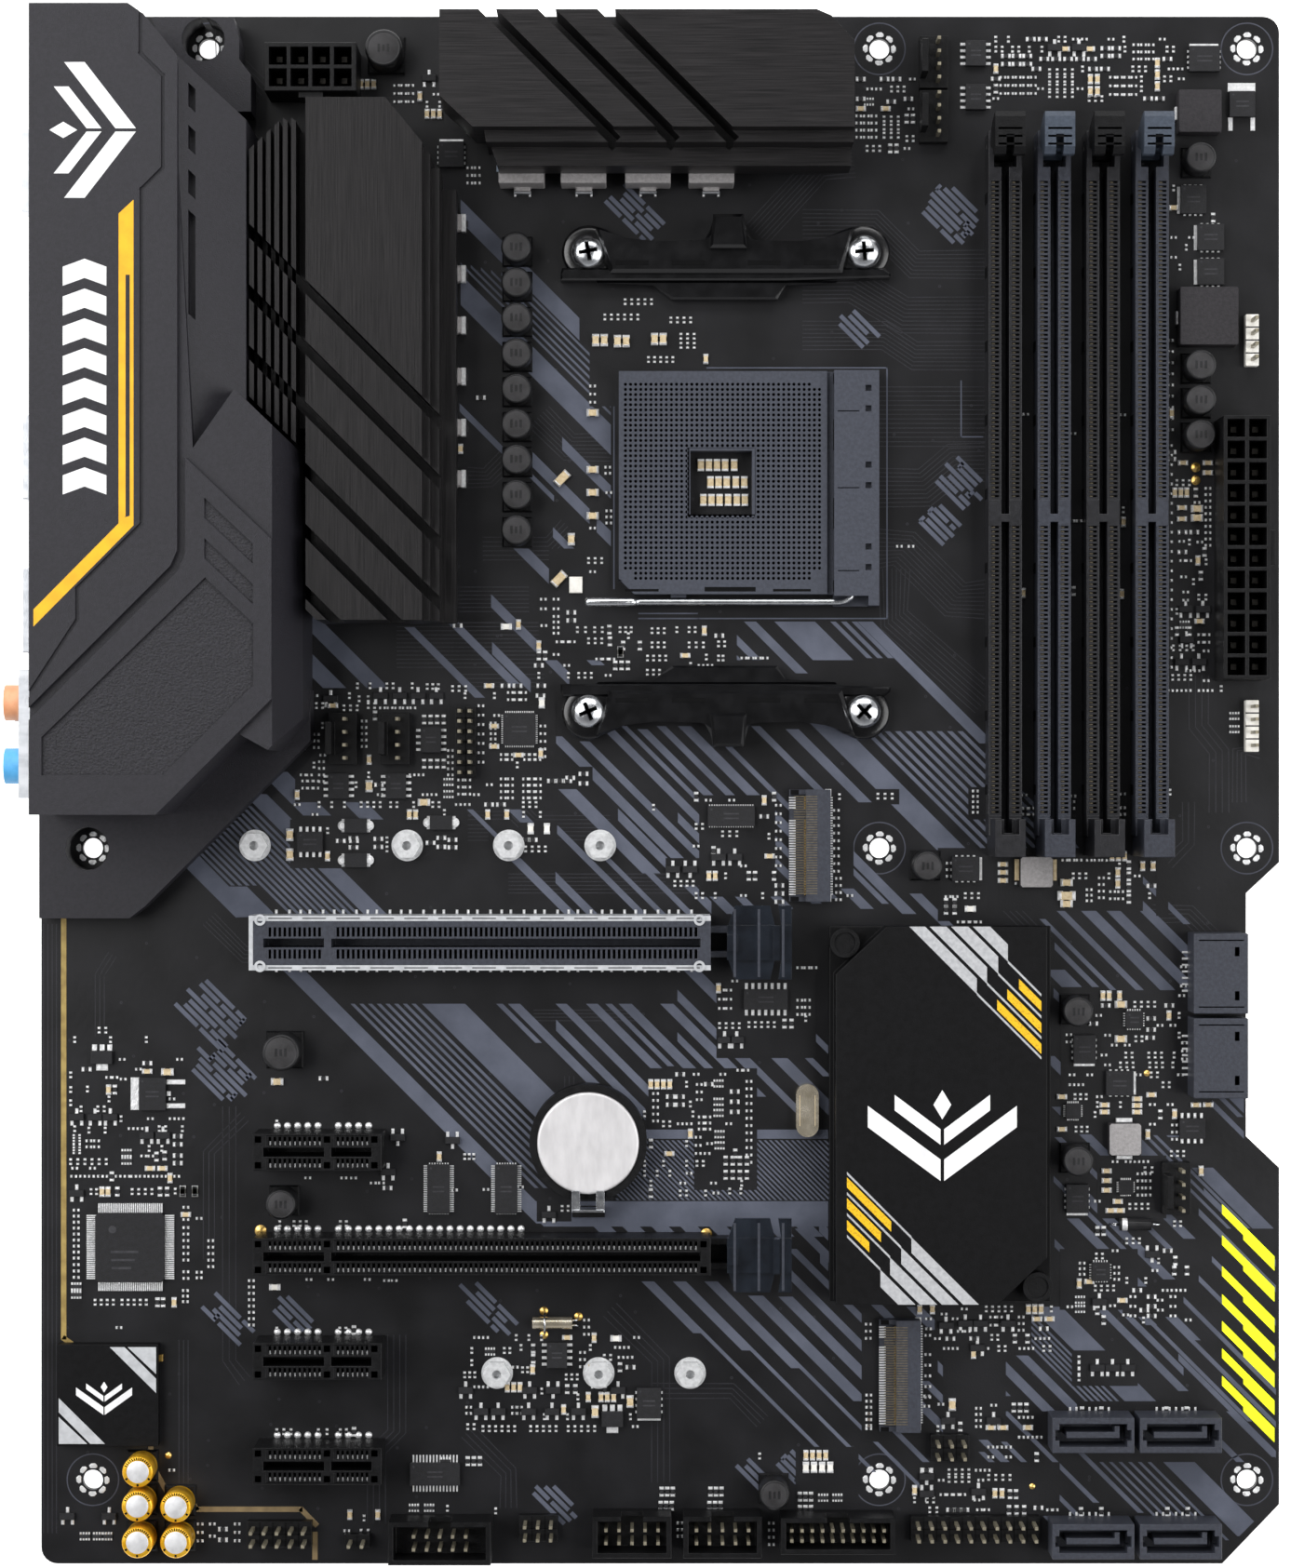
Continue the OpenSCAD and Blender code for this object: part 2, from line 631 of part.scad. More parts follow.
module chipset_heatsink() {
    color("#141818")
    on_board() difference() {
        union() {
            span([sink_x0, sink_y0, 3], [sink_x1, sink_y1, 4.6]);
            prism([[sink_x0 + 1, sink_y0], [sink_x1 - sink_cut - 1.6, sink_y0],
                [sink_x1 - 1.2, sink_y0 + sink_cut], [sink_x1 - 1.2, sink_y1],
                [sink_x0 + sink_cut + 1.6, sink_y1], [sink_x0 + 1, sink_y1 - sink_cut]],
                4.6, chipset_h);
            span([chip_cx - 9, chip_cy - 9, 2], [chip_cx + 9, chip_cy + 9, 3]);
        }
        for (p = PUSH_PINS) rod(p[0], p[1], 0, chipset_h + 1, 1.9);
        // side fins
        for (i = [0:11]) {
            span([sink_x0 - 1, sink_y0 + 4 + 5.2 * i, 5.4], [sink_x0 + 4, sink_y0 + 5.6 + 5.2 * i, 8.6]);
            span([sink_x1 - 4, sink_y1 - 5.6 - 5.2 * i, 5.4], [sink_x1 + 1, sink_y1 - 4 - 5.2 * i, 8.6]);
        }
    }
}

module chipset_push_pins() {
    color("#1c1c1e")
    for (p = PUSH_PINS)
        on_board(p[0], p[1]) {
            rod(0, 0, -board_t - 1.9, 4.6, 1.5);
            rod(0, 0, -board_t - 1.9, -board_t, 2);
            difference() {
                rod(0, 0, 4.6, 8.4, 2.9);
                rod(0, 0, 7.8, 9, 2.1);
            }
        }
}

module battery_holder() {
    color("#1b1b1d")
    on_board(cell_x, cell_y) difference() {
        rod(0, 0, 0, cell_z + 2.6, cell_r + 1.5);
        rod(0, 0, cell_z, cell_z + 4, cell_r + 0.1);
        rod(0, 0, 1, cell_z + 1, 7);
        span([-3.6, -13, 0.8], [3.6, -8.4, cell_z + 4]);
    }
    color("#d9dadc") on_board(cell_x, cell_y) span([-3.2, -15, 0], [3.2, -12.8, clip_foot]);
}

module coin_cell() {
    color("#c9c8c9")
    on_board(cell_x, cell_y) {
        rod(0, 0, cell_z, cell_z + 0.6, cell_r - 1.2);
        rod(0, 0, cell_z + 0.6, cell_z + cell_t, cell_r);
    }
}

// The spring clip that holds the cell, which flexes above the foot in front of the holder
module battery_clip() {
    color("#d9dadc")
    on_board(cell_x, cell_y) {
        span([-3.2, -13.4, clip_foot + 0.2], [3.2, -12.9, cell_z + cell_t + 1.2]);
        for (s = [-1, 1])
            span([s * 2.4 - 0.8, -13.4, cell_z + cell_t + 0.4], [s * 2.4 + 0.8, -9.2, cell_z + cell_t + 0.9]);
    }
}

module power_shell(columns, rows, cell, wall, height) {
    w = columns * cell + 2 * wall;
    l = rows * cell + 2 * wall;
    difference() {
        span([-w / 2, -l / 2, 0], [w / 2, l / 2, height]);
        for (i = [0:columns - 1], j = [0:rows - 1])
            translate([(i - (columns - 1) / 2) * cell, (j - (rows - 1) / 2) * cell, 3])
                span([-1.7, -1.7, 0], [1.7, 1.7, height]);
    }
}

power_cell = 4.2;
power_wall = 0.35;
power_h = 13;
atx_cx = 235.6;
atx_cy = 199.5;
eps_cx = 54.1;
eps_cy = 292.6;

module atx_power_socket() {
    color("#161618")
    on_board(atx_cx, atx_cy) {
        power_shell(2, 12, power_cell, power_wall, power_h);
        span([4.7, -3.4, 5], [5.6, 3.4, 12]);
    }
}

module cpu_power_socket() {
    color("#161618")
    on_board(eps_cx, eps_cy) {
        power_shell(4, 2, power_cell, 0.5, power_h);
        span([-2.4, -5.8, 5], [2.4, -4.6, 12]);
    }
}

// Box header bodies as [x0, y0, x1, y1]
BOX_HEADERS = [[68.9, 1.4, 88.9, 9.8], [108.7, 2.8, 124.1, 10.9], [126.4, 2.8, 141.7, 10.9],
    [145.4, 3.5, 167.7, 10.6]];
box_wall = 1;
box_floor = 1.6;
box_h = 9;

module box_headers() {
    color("#1d1d20")
    on_board() for (b = BOX_HEADERS)
        difference() {
            span([b[0], b[1], 0], [b[2], b[3], box_h]);
            span([b[0] + box_wall, b[1] + box_wall, box_floor], [b[2] - box_wall, b[3] - box_wall, box_h + 1]);
            span([(b[0] + b[2]) / 2 - 2.2, b[3] - 2, 3], [(b[0] + b[2]) / 2 + 2.2, b[3] + 1, box_h + 1]);
        }
}

// Pin grids as [centre x, centre y, columns, rows, pitch, floor height]
GRIDS = [[(68.9 + 88.9) / 2, 5.6, 5, 2, pin_pitch, box_floor], [116.4, 6.85, 5, 2, pin_pitch, box_floor],
    [134.05, 6.85, 5, 2, pin_pitch, box_floor], [156.55, 7.05, 10, 2, fine_pitch, box_floor],
    [47.1, 6.2, 5, 2, pin_pitch, 2.5], [183.8, 7.2, 10, 2, pin_pitch, 2.5], [62.4, 4.9, 2, 1, pin_pitch, 2.5],
    [98, 7.4, 3, 2, pin_pitch, 2.5], [178.8, 23.2, 3, 2, pin_pitch, 2.5], [83.7, 161.9, 2, 7, fine_pitch, 2.5],
    [238.2, 240.8, 1, 4, pin_pitch, 2.5], [238.2, 165, 1, 4, pin_pitch, 2.5]];
plain_first = 4;
plain_last = 9;
white_first = 10;
white_last = 11;
FAN_HEADERS = [[175.4, 295.3], [175.4, 284.7], [59.4, 162.5], [69.7, 162.5], [223, 74.2]];
fan_pin_x = 0.9;

module grid_base(g) {
    w = g[2] * g[4];
    l = g[3] * g[4];
    translate([g[0], g[1], 0]) span([-w / 2, -l / 2, 0], [w / 2, l / 2, g[5]]);
}

module grid_pins(g) {
    for (i = [0:g[2] - 1], j = [0:g[3] - 1])
        translate([g[0] + (i - (g[2] - 1) / 2) * g[4], g[1] + (j - (g[3] - 1) / 2) * g[4], g[5]])
            span([-pin_w / 2, -pin_w / 2, 0], [pin_w / 2, pin_w / 2, pin_top - g[5]]);
}

module pin_headers() {
    color("#222226") on_board() for (i = [plain_first:plain_last]) grid_base(GRIDS[i]);
}

module rgb_headers() {
    color("#e8e6e0") on_board() for (i = [white_first:white_last]) grid_base(GRIDS[i]);
}

module fan_headers() {
    color("#1f1f22")
    on_board() for (p = FAN_HEADERS)
        translate([p[0], p[1], 0]) {
            span([-2.6, -5.1, 0], [3, 5.1, 3.2]);
            span([-2.6, -3.2, 3.2], [-1.4, 3.2, 11]);
        }
}

module connector_pins() {
    color("#d8d2b8")
    on_board() {
        for (g = GRIDS) grid_pins(g);
        for (p = FAN_HEADERS) grid_pins([p[0] + fan_pin_x, p[1], 1, 4, pin_pitch, 3.2]);
        for (i = [0:1], j = [0:11])
            translate([atx_cx + (i - 0.5) * power_cell, atx_cy + (j - 5.5) * power_cell, 3])
                span([-0.55, -0.55, 0], [0.55, 0.55, 6]);
        for (i = [0:3], j = [0:1])
            translate([eps_cx + (i - 1.5) * power_cell, eps_cy + (j - 0.5) * power_cell, 3])
                span([-0.55, -0.55, 0], [0.55, 0.55, 6]);
        // ends of the leads that come through below the large sockets
        for (i = [0:1], j = [0:11])
            solder_end(atx_cx + (i - 0.5) * power_cell, atx_cy + (j - 5.5) * power_cell);
        for (i = [0:3], j = [0:1])
            solder_end(eps_cx + (i - 1.5) * power_cell, eps_cy + (j - 0.5) * power_cell);
        for (x = [pcie_x0 + 1.4, pcie_x0 + pcie_long - 2.2], s = [-1, 1])
            solder_end(x, pcie_row_1 + s * 4.5);
    }
}

solder_end_l = 1.4;

module solder_end(x, y) {
    translate([x, y, -board_t - solder_end_l]) span([-0.7, -0.7, 0], [0.7, 0.7, solder_end_l]);
}

// L-shaped tongue of a drive socket, drawn along X with its face at z
module sata_tongue(z0, z1) {
    span([-5.2, -0.6, z0], [5.2, 0.6, z1]);
    span([4.2, -0.6, z0], [5.2, 1.8, z1]);
}

module sata_upright() {
    difference() {
        span([-8, -3.45, 0], [8, 3.45, 9]);
        span([-6.6, -2.2, 2.4], [6.6, 2.2, 10]);
        span([-7.4, -1, 5], [7.4, 1, 10]);
    }
    sata_tongue(2.4, 8.4);
}

module sata_angled() {
    difference() {
        span([-5.4, -7.8, 0], [5.2, 7.8, 9]);
        span([-0.8, -6.6, 2.4], [6, 6.6, 7]);
    }
    translate([0, 0, 4.6]) {
        span([-0.8, -5.2, -0.5], [4.6, 5.2, 0.5]);
        span([-0.8, -5.2, -2], [4.6, -4.2, 0.5]);
    }
}

SATA_UPRIGHT = [[206.25, 26.7], [223.3, 26.7], [206.25, 6], [223.3, 6]];
SATA_ANGLED = [[231.2, 116.65], [231.2, 100.15]];

module sata_sockets() {
    color("#3a3d46")
    on_board() {
        for (p = SATA_UPRIGHT) translate([p[0], p[1], 0]) sata_upright();
        for (p = SATA_ANGLED) translate([p[0], p[1], 0]) sata_angled();
    }
}

module audio_shield() {
    color("#2c2b30")
    on_board() difference() {
        span([3.5, 23.6, 0], [23.4, 43.6, 3.2]);
        span([4.1, 24.2, -1], [22.8, 43, 2.6]);
    }
}

module audio_codec() {
    color("#1f1f21") on_board(13.4, 33.6) span([-3.5, -3.5, 0], [3.5, 3.5, 1]);
}

module super_io_chip() {
    color("#2a2a2c")
    on_board(17.6, 62.4) {
        span([-6.8, -6.8, 0.2], [6.8, 6.8, 1.6]);
        for (a = [0:90:270])
            rotate([0, 0, a]) span([6.8, -6.3, 0.1], [8.6, 6.3, 0.9]);
    }
}

SMALL_CAPS = concat(
    [for (i = [0:8]) [93.8, 258.4 - 6.9 * i]],
    [[203.5, 109.2], [203.5, 80], [174.1, 137.6], [144.2, 14.9], [227.4, 275.9], [227.4, 235.4], [227.4, 228.6],
        [227.4, 221.8], [47.9, 71.6]]);
LARGE_CAPS = [[48, 101.3], [68, 297]];
AUDIO_CAPS = [[20, 19.4], [19.9, 12.7], [27.4, 12.5], [19.9, 5.6], [27.4, 5.6]];
cap_h = 8;

module polymer_capacitors() {
    color("#232325")
    on_board() {
        for (p = SMALL_CAPS) rod(p[0], p[1], 0, cap_h, 3);
        for (p = LARGE_CAPS) rod(p[0], p[1], 0, cap_h + 1, 3.7);
    }
}

module audio_capacitors() {
    color("#e0a615") on_board() for (p = AUDIO_CAPS) rod(p[0], p[1], 0, cap_h, 3.1);
}

// Power inductors as [x, y, side across, side up, height]
INDUCTORS = [[227.7, 285.5, 8.4, 8.4, 4.5], [229.4, 245.3, 11.4, 11.4, 5], [195.8, 136.3, 6.5, 6.1, 3],
    [213.2, 83.8, 6.4, 6.4, 3]];

module block_at(p, z0, z1) {
    translate([p[0], p[1], z0]) span([-p[2] / 2, -p[3] / 2, 0], [p[2] / 2, p[3] / 2, z1 - z0]);
}

module power_inductors() {
    color("#4b4a4b") on_board() for (p = INDUCTORS) block_at(p, 0, p[4]);
}

// Chip packages as [x, y, side across, side up]
CHIPS = [[229, 296.3, 6, 5], [226.8, 268.6, 5, 5.6], [230.2, 261.2, 5.2, 5.2], [230.2, 254.4, 5.2, 5.2],
    [182, 136.9, 5.4, 4.8], [205.4, 101.4, 4.4, 5.6], [212.3, 94.7, 5.4, 4.8], [204, 72, 4.4, 5.6],
    [119.7, 31.8, 4.8, 6], [236.4, 287.4, 5, 5], [22, 92.6, 5.2, 6.4], [12, 99.8, 4.2, 2.6],
    [112.5, 28.6, 4.2, 3],
    [184, 297.4, 4, 5], [184, 288.8, 4, 5], [58.6, 153.2, 4, 5], [69.9, 153.2, 4, 5], [53, 142.2, 5, 4],
    [226.6, 85.8, 5, 4], [101.6, 41.2, 4, 5], [142.7, 111.2, 8.6, 4], [135.9, 147.3, 9.2, 4],
    [78.3, 73.9, 4.4, 9.6], [91.6, 73.9, 4.4, 9.6], [77.6, 17.8, 9.8, 4.4], [94.2, 164.4, 6.4, 6.4],
    [76.8, 162.3, 4, 5], [80.8, 277.5, 5, 5], [208.6, 57.6, 3.6, 3.6], [215.2, 107.2, 3.4, 3.4],
    [213.6, 74.2, 2.8, 2.8], [203.2, 89.2, 3, 3], [62, 145.4, 4.4, 2.8], [62, 138.6, 4.4, 2.8],
    [78.8, 146, 4.4, 2.8]];
REAR_MOSFETS = [for (y = REAR_CHOKES_Y, x = [58, 64]) [x, y, 5, 6]];
TOP_MOSFETS = [for (x = TOP_CHOKES_X, y = [287.6, 294]) [x, y, 6, 5]];

module chip_packages() {
    color("#242426")
    on_board() {
        for (p = CHIPS) block_at(p, 0.1, 1.5);
        for (p = concat(REAR_MOSFETS, TOP_MOSFETS)) block_at(p, 0.1, 1.1);
    }
}

module crystals() {
    color("#cfcdc8")
    on_board() {
        span([148.6, 86.5, 0], [153, 92.5, 3.4]);
        for (y = [86.5, 92.5]) rod(150.8, y, 0, 3.4, 2.2);
        rod_x(96.8, 104.6, 47.6, 1.35, 1.2);
        rod_x(212.2, 218.4, 67, 1.55, 1.2);
    }
}

// A rear connector shell with its mouth at the rear
module port_shell(y0, y1, depth, height) span([port_x, y0, 0], [port_x + depth, y1, height]);

// A type-A mouth with its tongue, at a centre height
module usb_mouth(yc, zc) span([port_x - 1, yc - 6.6, zc - 2.8], [port_x + 9, yc + 6.6, zc + 2.8]);
module usb_tongue(yc, zc) span([port_x + 0.6, yc - 5.6, zc - 0.9], [port_x + 9, yc + 5.6, zc + 0.9]);

usb_low_z = 5;
usb_high_z = 12.6;
ps2_y = 270;
ps2_z = 22;

module ps2_port() {
    color("#b9bbbf")
    on_board() {
        difference() {
            port_shell(262.2, 277.8, 15, stack_h);
            for (z = [usb_low_z, usb_high_z]) usb_mouth(ps2_y, z);
            rod_x(port_x - 1, port_x + 8, ps2_y, ps2_z, 4.9);
        }
        for (z = [usb_low_z, usb_high_z]) usb_tongue(ps2_y, z);
        rod_x(port_x + 1, port_x + 8, ps2_y, ps2_z, 3.6);
    }
}

video_y = 244.6;

module video_ports() {
    color("#b9bbbf")
    on_board() {
        difference() {
            port_shell(236.4, 252.8, 18, 22);
            prism_mouth(video_y, 5.6);
            span([port_x - 1, video_y - 7.6, 13.2], [port_x + 9, video_y + 7.6, 18.4]);
        }
        span([port_x + 0.6, video_y - 5.4, 4.8], [port_x + 9, video_y + 5.4, 6]);
        span([port_x + 0.6, video_y - 5.6, 15.2], [port_x + 9, video_y + 5.6, 16.6]);
    }
}

// A video mouth with two cut corners at the bottom
module prism_mouth(yc, zc) {
    translate([port_x - 1, yc, zc]) rotate([90, 0, 90]) linear_extrude(height = 10)
        polygon([[-7.1, 2.4], [7.1, 2.4], [7.1, -0.4], [5.6, -2.4], [-5.6, -2.4], [-7.1, -0.4]]);
}

usb_stack_y = 215.6;

module usb_ports() {
    color("#b9bbbf")
    on_board() {
        difference() {
            port_shell(207.6, 223.6, 17, stack_h);
            usb_mouth(usb_stack_y, 6);
            usb_mouth(usb_stack_y, 14.4);
            span([port_x - 1, usb_stack_y - 4.5, 22], [port_x + 7, usb_stack_y + 4.5, 25.2]);
        }
        usb_tongue(usb_stack_y, 6);
        usb_tongue(usb_stack_y, 14.4);
        span([port_x + 0.6, usb_stack_y - 3.4, 23.2], [port_x + 7, usb_stack_y + 3.4, 24]);
    }
}

lan_y = 186.6;

module lan_port() {
    color("#b9bbbf")
    on_board() {
        difference() {
            port_shell(178.6, 194.6, 21, stack_h);
            usb_mouth(lan_y, 4.6);
            usb_mouth(lan_y, 11.4);
            span([port_x - 1, lan_y - 5.9, 16.4], [port_x + 12, lan_y + 5.9, 24.4]);
            span([port_x - 1, lan_y - 3, 24], [port_x + 12, lan_y + 3, 27]);
        }
        usb_tongue(lan_y, 4.6);
        usb_tongue(lan_y, 11.4);
    }
}

module audio_jacks() {
    color("#26262a")
    on_board() difference() {
        port_shell(150.9, 175.2, 14, audio_h);
        for (y = JACK_YS, z = JACK_ZS) {
            rod_x(port_x - 1, port_x + 12, y, z, jack_r);
            rod_x(port_x - 1, port_x + 1, y, z, collar_r);
        }
    }
}

module audio_jack_collars() {
    color("#4c9fd6")
    on_board() for (y = JACK_YS, z = JACK_ZS)
        difference() {
            rod_x(port_x - collar_out, port_x + 1, y, z, collar_r);
            rod_x(port_x - collar_out - 1, port_x + 2, y, z, jack_r);
        }
}

switch_x0 = port_x + 0.6;
switch_wall = 1.7;

module flashback_switch() {
    color("#1b1b1d")
    on_board() difference() {
        span([switch_x0, button_y - 2.4, 0], [switch_x0 + 6, button_y + 2.4, button_z + 3]);
        rod_x(port_x - 1, port_x + 5, button_y, button_z, button_r + 0.05);
        span([switch_x0 + switch_wall, button_y - 2, button_z - 2],
            [switch_x0 + 4.6, button_y + 2, button_z + 2]);
    }
}

module flashback_button() {
    color("#d8d8da")
    on_board() {
        rod_x(port_x - 1.2, switch_x0 + switch_wall + 0.4, button_y, button_z, button_r);
        span([switch_x0 + switch_wall + 0.1, button_y - 1.9, button_z - 1.9],
            [switch_x0 + switch_wall + 0.8, button_y + 1.9, button_z + 1.9]);
    }
}

pcb();
io_shroud();
vrm_heatsink_rear();
vrm_heatsink_top();
thermal_pads();
vrm_chokes();
underside_screws();
socket_base();
socket_cover();
socket_lever();
socket_backplate();
cooler_bracket_top();
cooler_bracket_bottom();
bracket_screws();
color("#1e1f22") dimm_slot_at(0);  // dimm_slot_a1
color("#4a515c") dimm_slot_at(1);  // dimm_slot_a2
color("#1e1f22") dimm_slot_at(2);  // dimm_slot_b1
color("#4a515c") dimm_slot_at(3);  // dimm_slot_b2
color("#1e1f22") dimm_latch_at(0);  // dimm_latch_a1
color("#4a515c") dimm_latch_at(1);  // dimm_latch_a2
color("#1e1f22") dimm_latch_at(2);  // dimm_latch_b1
color("#4a515c") dimm_latch_at(3);  // dimm_latch_b2
pcie_x16_slot_1();
pcie_x16_shield();
pcie_x16_latch_1();
pcie_x16_slot_2();
pcie_x16_latch_2();
pcie_x1_slots();
m2_sockets();
m2_standoffs();
chipset_chip();
chipset_heatsink();
chipset_push_pins();
battery_holder();
coin_cell();
battery_clip();
atx_power_socket();
cpu_power_socket();
connector_pins();
sata_sockets();
fan_headers();
box_headers();
pin_headers();
rgb_headers();
audio_shield();
audio_codec();
super_io_chip();
polymer_capacitors();
audio_capacitors();
power_inductors();
chip_packages();
crystals();
ps2_port();
video_ports();
usb_ports();
lan_port();
audio_jacks();
audio_jack_collars();
flashback_switch();
flashback_button();
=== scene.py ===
"""The motherboard's looks: finishes, printed marks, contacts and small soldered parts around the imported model."""
import math
import random

import bpy
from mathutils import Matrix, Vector


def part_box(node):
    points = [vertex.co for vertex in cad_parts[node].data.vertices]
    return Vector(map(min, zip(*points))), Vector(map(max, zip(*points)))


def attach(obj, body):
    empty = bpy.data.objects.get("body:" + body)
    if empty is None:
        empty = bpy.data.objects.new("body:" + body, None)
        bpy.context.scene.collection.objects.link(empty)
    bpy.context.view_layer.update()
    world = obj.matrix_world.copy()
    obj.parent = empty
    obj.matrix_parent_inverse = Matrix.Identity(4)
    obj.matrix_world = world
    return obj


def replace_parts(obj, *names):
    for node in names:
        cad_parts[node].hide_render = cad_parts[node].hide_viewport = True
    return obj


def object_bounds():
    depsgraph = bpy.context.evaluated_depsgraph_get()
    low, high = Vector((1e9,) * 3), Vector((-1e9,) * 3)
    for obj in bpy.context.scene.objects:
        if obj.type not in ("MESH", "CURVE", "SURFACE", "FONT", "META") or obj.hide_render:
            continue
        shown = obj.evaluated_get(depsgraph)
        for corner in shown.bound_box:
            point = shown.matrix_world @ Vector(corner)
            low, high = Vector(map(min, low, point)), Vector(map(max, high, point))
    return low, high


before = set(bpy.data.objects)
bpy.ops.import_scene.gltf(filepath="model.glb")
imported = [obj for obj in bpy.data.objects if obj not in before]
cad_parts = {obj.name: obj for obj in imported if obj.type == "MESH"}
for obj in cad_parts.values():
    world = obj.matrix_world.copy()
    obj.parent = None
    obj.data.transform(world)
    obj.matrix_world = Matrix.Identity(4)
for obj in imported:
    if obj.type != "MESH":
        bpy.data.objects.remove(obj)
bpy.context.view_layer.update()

MM = 0.001
BOARD_LOW, BOARD_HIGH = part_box("pcb")
SILK_Z = 0.03
RANDOM = random.Random(7)


def place(x, y, z=0.0):
    """A point given in board millimetres, as metres in the part's frame."""
    return BOARD_LOW.x + x * MM, BOARD_LOW.y + y * MM, BOARD_HIGH.z + z * MM


def board_point(v):
    """The reverse of place()."""
    return (v[0] - BOARD_LOW.x) / MM, (v[1] - BOARD_LOW.y) / MM, (v[2] - BOARD_HIGH.z) / MM


def node_box(node):
    low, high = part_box(node)
    return board_point(low), board_point(high)


def islands(node):
    """The boxes, in board millimetres, of the separate solids of a CAD node."""
    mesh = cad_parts[node].data
    keys = {}
    index = [keys.setdefault(tuple(round(c, 6) for c in v.co), len(keys)) for v in mesh.vertices]
    parent = list(range(len(keys)))

    def root(i):
        while parent[i] != i:
            parent[i] = parent[parent[i]]
            i = parent[i]
        return i

    for p in mesh.polygons:
        first = root(index[p.vertices[0]])
        for v in p.vertices[1:]:
            parent[root(index[v])] = first
            first = root(first)
    groups = {}
    for co, i in keys.items():
        groups.setdefault(root(i), []).append(board_point(co))
    found = []
    for points in groups.values():
        found.append((tuple(min(c) for c in zip(*points)), tuple(max(c) for c in zip(*points))))
    return sorted(found)


# ---------------------------------------------------------------- finishes

def colour(code):
    """Linear colour of a hex code."""
    parts = [int(code[i:i + 2], 16) / 255 for i in (1, 3, 5)]
    return tuple(c / 12.92 if c <= 0.04045 else ((c + 0.055) / 1.055) ** 2.4 for c in parts) + (1,)


def finish(name, base, other, rough=0.5, metal=0.0, scale=900, stretch=(1, 1, 1), detail=3, low=0.35, high=0.65,
           bump=0.0, bump_scale=2500, bump_stretch=(1, 1, 1), rough_vary=0.08, coat=0.0, specular=0.5,
           glow=0.0, clear=0.0, tilt=0.0):
    """A procedural finish: two colours mixed by noise, with varied roughness and a fine bump."""
    m = bpy.data.materials.new(name)
    m.use_nodes = True
    m.diffuse_color = colour(base)
    nodes, links = m.node_tree.nodes, m.node_tree.links
    shader = nodes["Principled BSDF"]
    shader.inputs["Metallic"].default_value = metal
    shader.inputs["Coat Weight"].default_value = coat
    shader.inputs["Coat Roughness"].default_value = 0.25
    shader.inputs["Specular IOR Level"].default_value = specular
    shader.inputs["Transmission Weight"].default_value = clear
    coords = nodes.new("ShaderNodeTexCoord")

    def noise(at_scale, stretched, detailed):
        mapping = nodes.new("ShaderNodeMapping")
        mapping.inputs["Scale"].default_value = stretched
        mapping.inputs["Rotation"].default_value = (0, 0, tilt)
        texture = nodes.new("ShaderNodeTexNoise")
        texture.inputs["Scale"].default_value = at_scale
        texture.inputs["Detail"].default_value = detailed
        links.new(coords.outputs["Object"], mapping.inputs["Vector"])
        links.new(mapping.outputs["Vector"], texture.inputs["Vector"])
        return texture

    tone = noise(scale, stretch, detail)
    ramp = nodes.new("ShaderNodeValToRGB")
    ramp.color_ramp.elements[0].position = low
    ramp.color_ramp.elements[0].color = colour(base)
    ramp.color_ramp.elements[1].position = high
    ramp.color_ramp.elements[1].color = colour(other)
    links.new(tone.outputs["Fac"], ramp.inputs["Fac"])
    links.new(ramp.outputs["Color"], shader.inputs["Base Color"])
    spread = nodes.new("ShaderNodeMapRange")
    spread.inputs["To Min"].default_value = max(rough - rough_vary, 0.03)
    spread.inputs["To Max"].default_value = min(rough + rough_vary, 1)
    links.new(tone.outputs["Fac"], spread.inputs["Value"])
    links.new(spread.outputs["Result"], shader.inputs["Roughness"])
    if bump:
        grain = noise(bump_scale, bump_stretch, 2)
        relief = nodes.new("ShaderNodeBump")
        relief.inputs["Strength"].default_value = bump
        relief.inputs["Distance"].default_value = 0.0002
        links.new(grain.outputs["Fac"], relief.inputs["Height"])
        links.new(relief.outputs["Normal"], shader.inputs["Normal"])
    if glow:
        shader.inputs["Emission Color"].default_value = colour(other)
        shader.inputs["Emission Strength"].default_value = glow
    return m


BOARD = finish("board_mask", "#0a0a0c", "#131316", 0.4, scale=90, detail=6, bump=0.12, bump_scale=700, specular=0.3)
TRACE = finish("trace_mask", "#202024", "#29292e", 0.4, scale=300, bump=0.05, specular=0.35)
SILK = finish("grey_ink", "#494d59", "#555966", 0.6, scale=160, detail=4, bump=0.08, specular=0.25)
SILK_DIM = finish("dim_ink", "#383a43", "#44464f", 0.6, scale=120, specular=0.25)
WHITE_INK = finish("white_ink", "#d9d9da", "#eeeeee", 0.55, scale=300)
BRIGHT_INK = finish("pale_metal_ink", "#a4a5a8", "#b6b7b9", 0.45, 0.1, scale=1200, bump=0.1)
GOLD_LINE = finish("bare_gold_line", "#8a7440", "#a68f52", 0.4, 0.2, scale=500)
BROWN_LINE = finish("masked_gold_line", "#6b5a3c", "#7d6a48", 0.5, scale=500)
SHROUD = finish("shroud_plastic", "#1c1b20", "#222127", 0.5, scale=1500, bump=0.3, bump_scale=4500, specular=0.35, rough_vary=0.04)
GRAIN = finish("grained_plastic", "#18171b", "#242329", 0.55, scale=2600, detail=2, low=0.4, high=0.6, bump=0.9,
               bump_scale=1900, bump_stretch=(1, 1.3, 1), specular=0.35)
YELLOW = finish("yellow_ink", "#dfa000", "#ebae02", 0.45, scale=300)
YELLOW_WEAR = finish("yellow_ink_worn", "#b98c0c", "#e6b604", 0.45, scale=2600, low=0.3, high=0.5)
LED = finish("lit_bar", "#dfe800", "#f2fc10", 0.4, glow=0.7, scale=400)
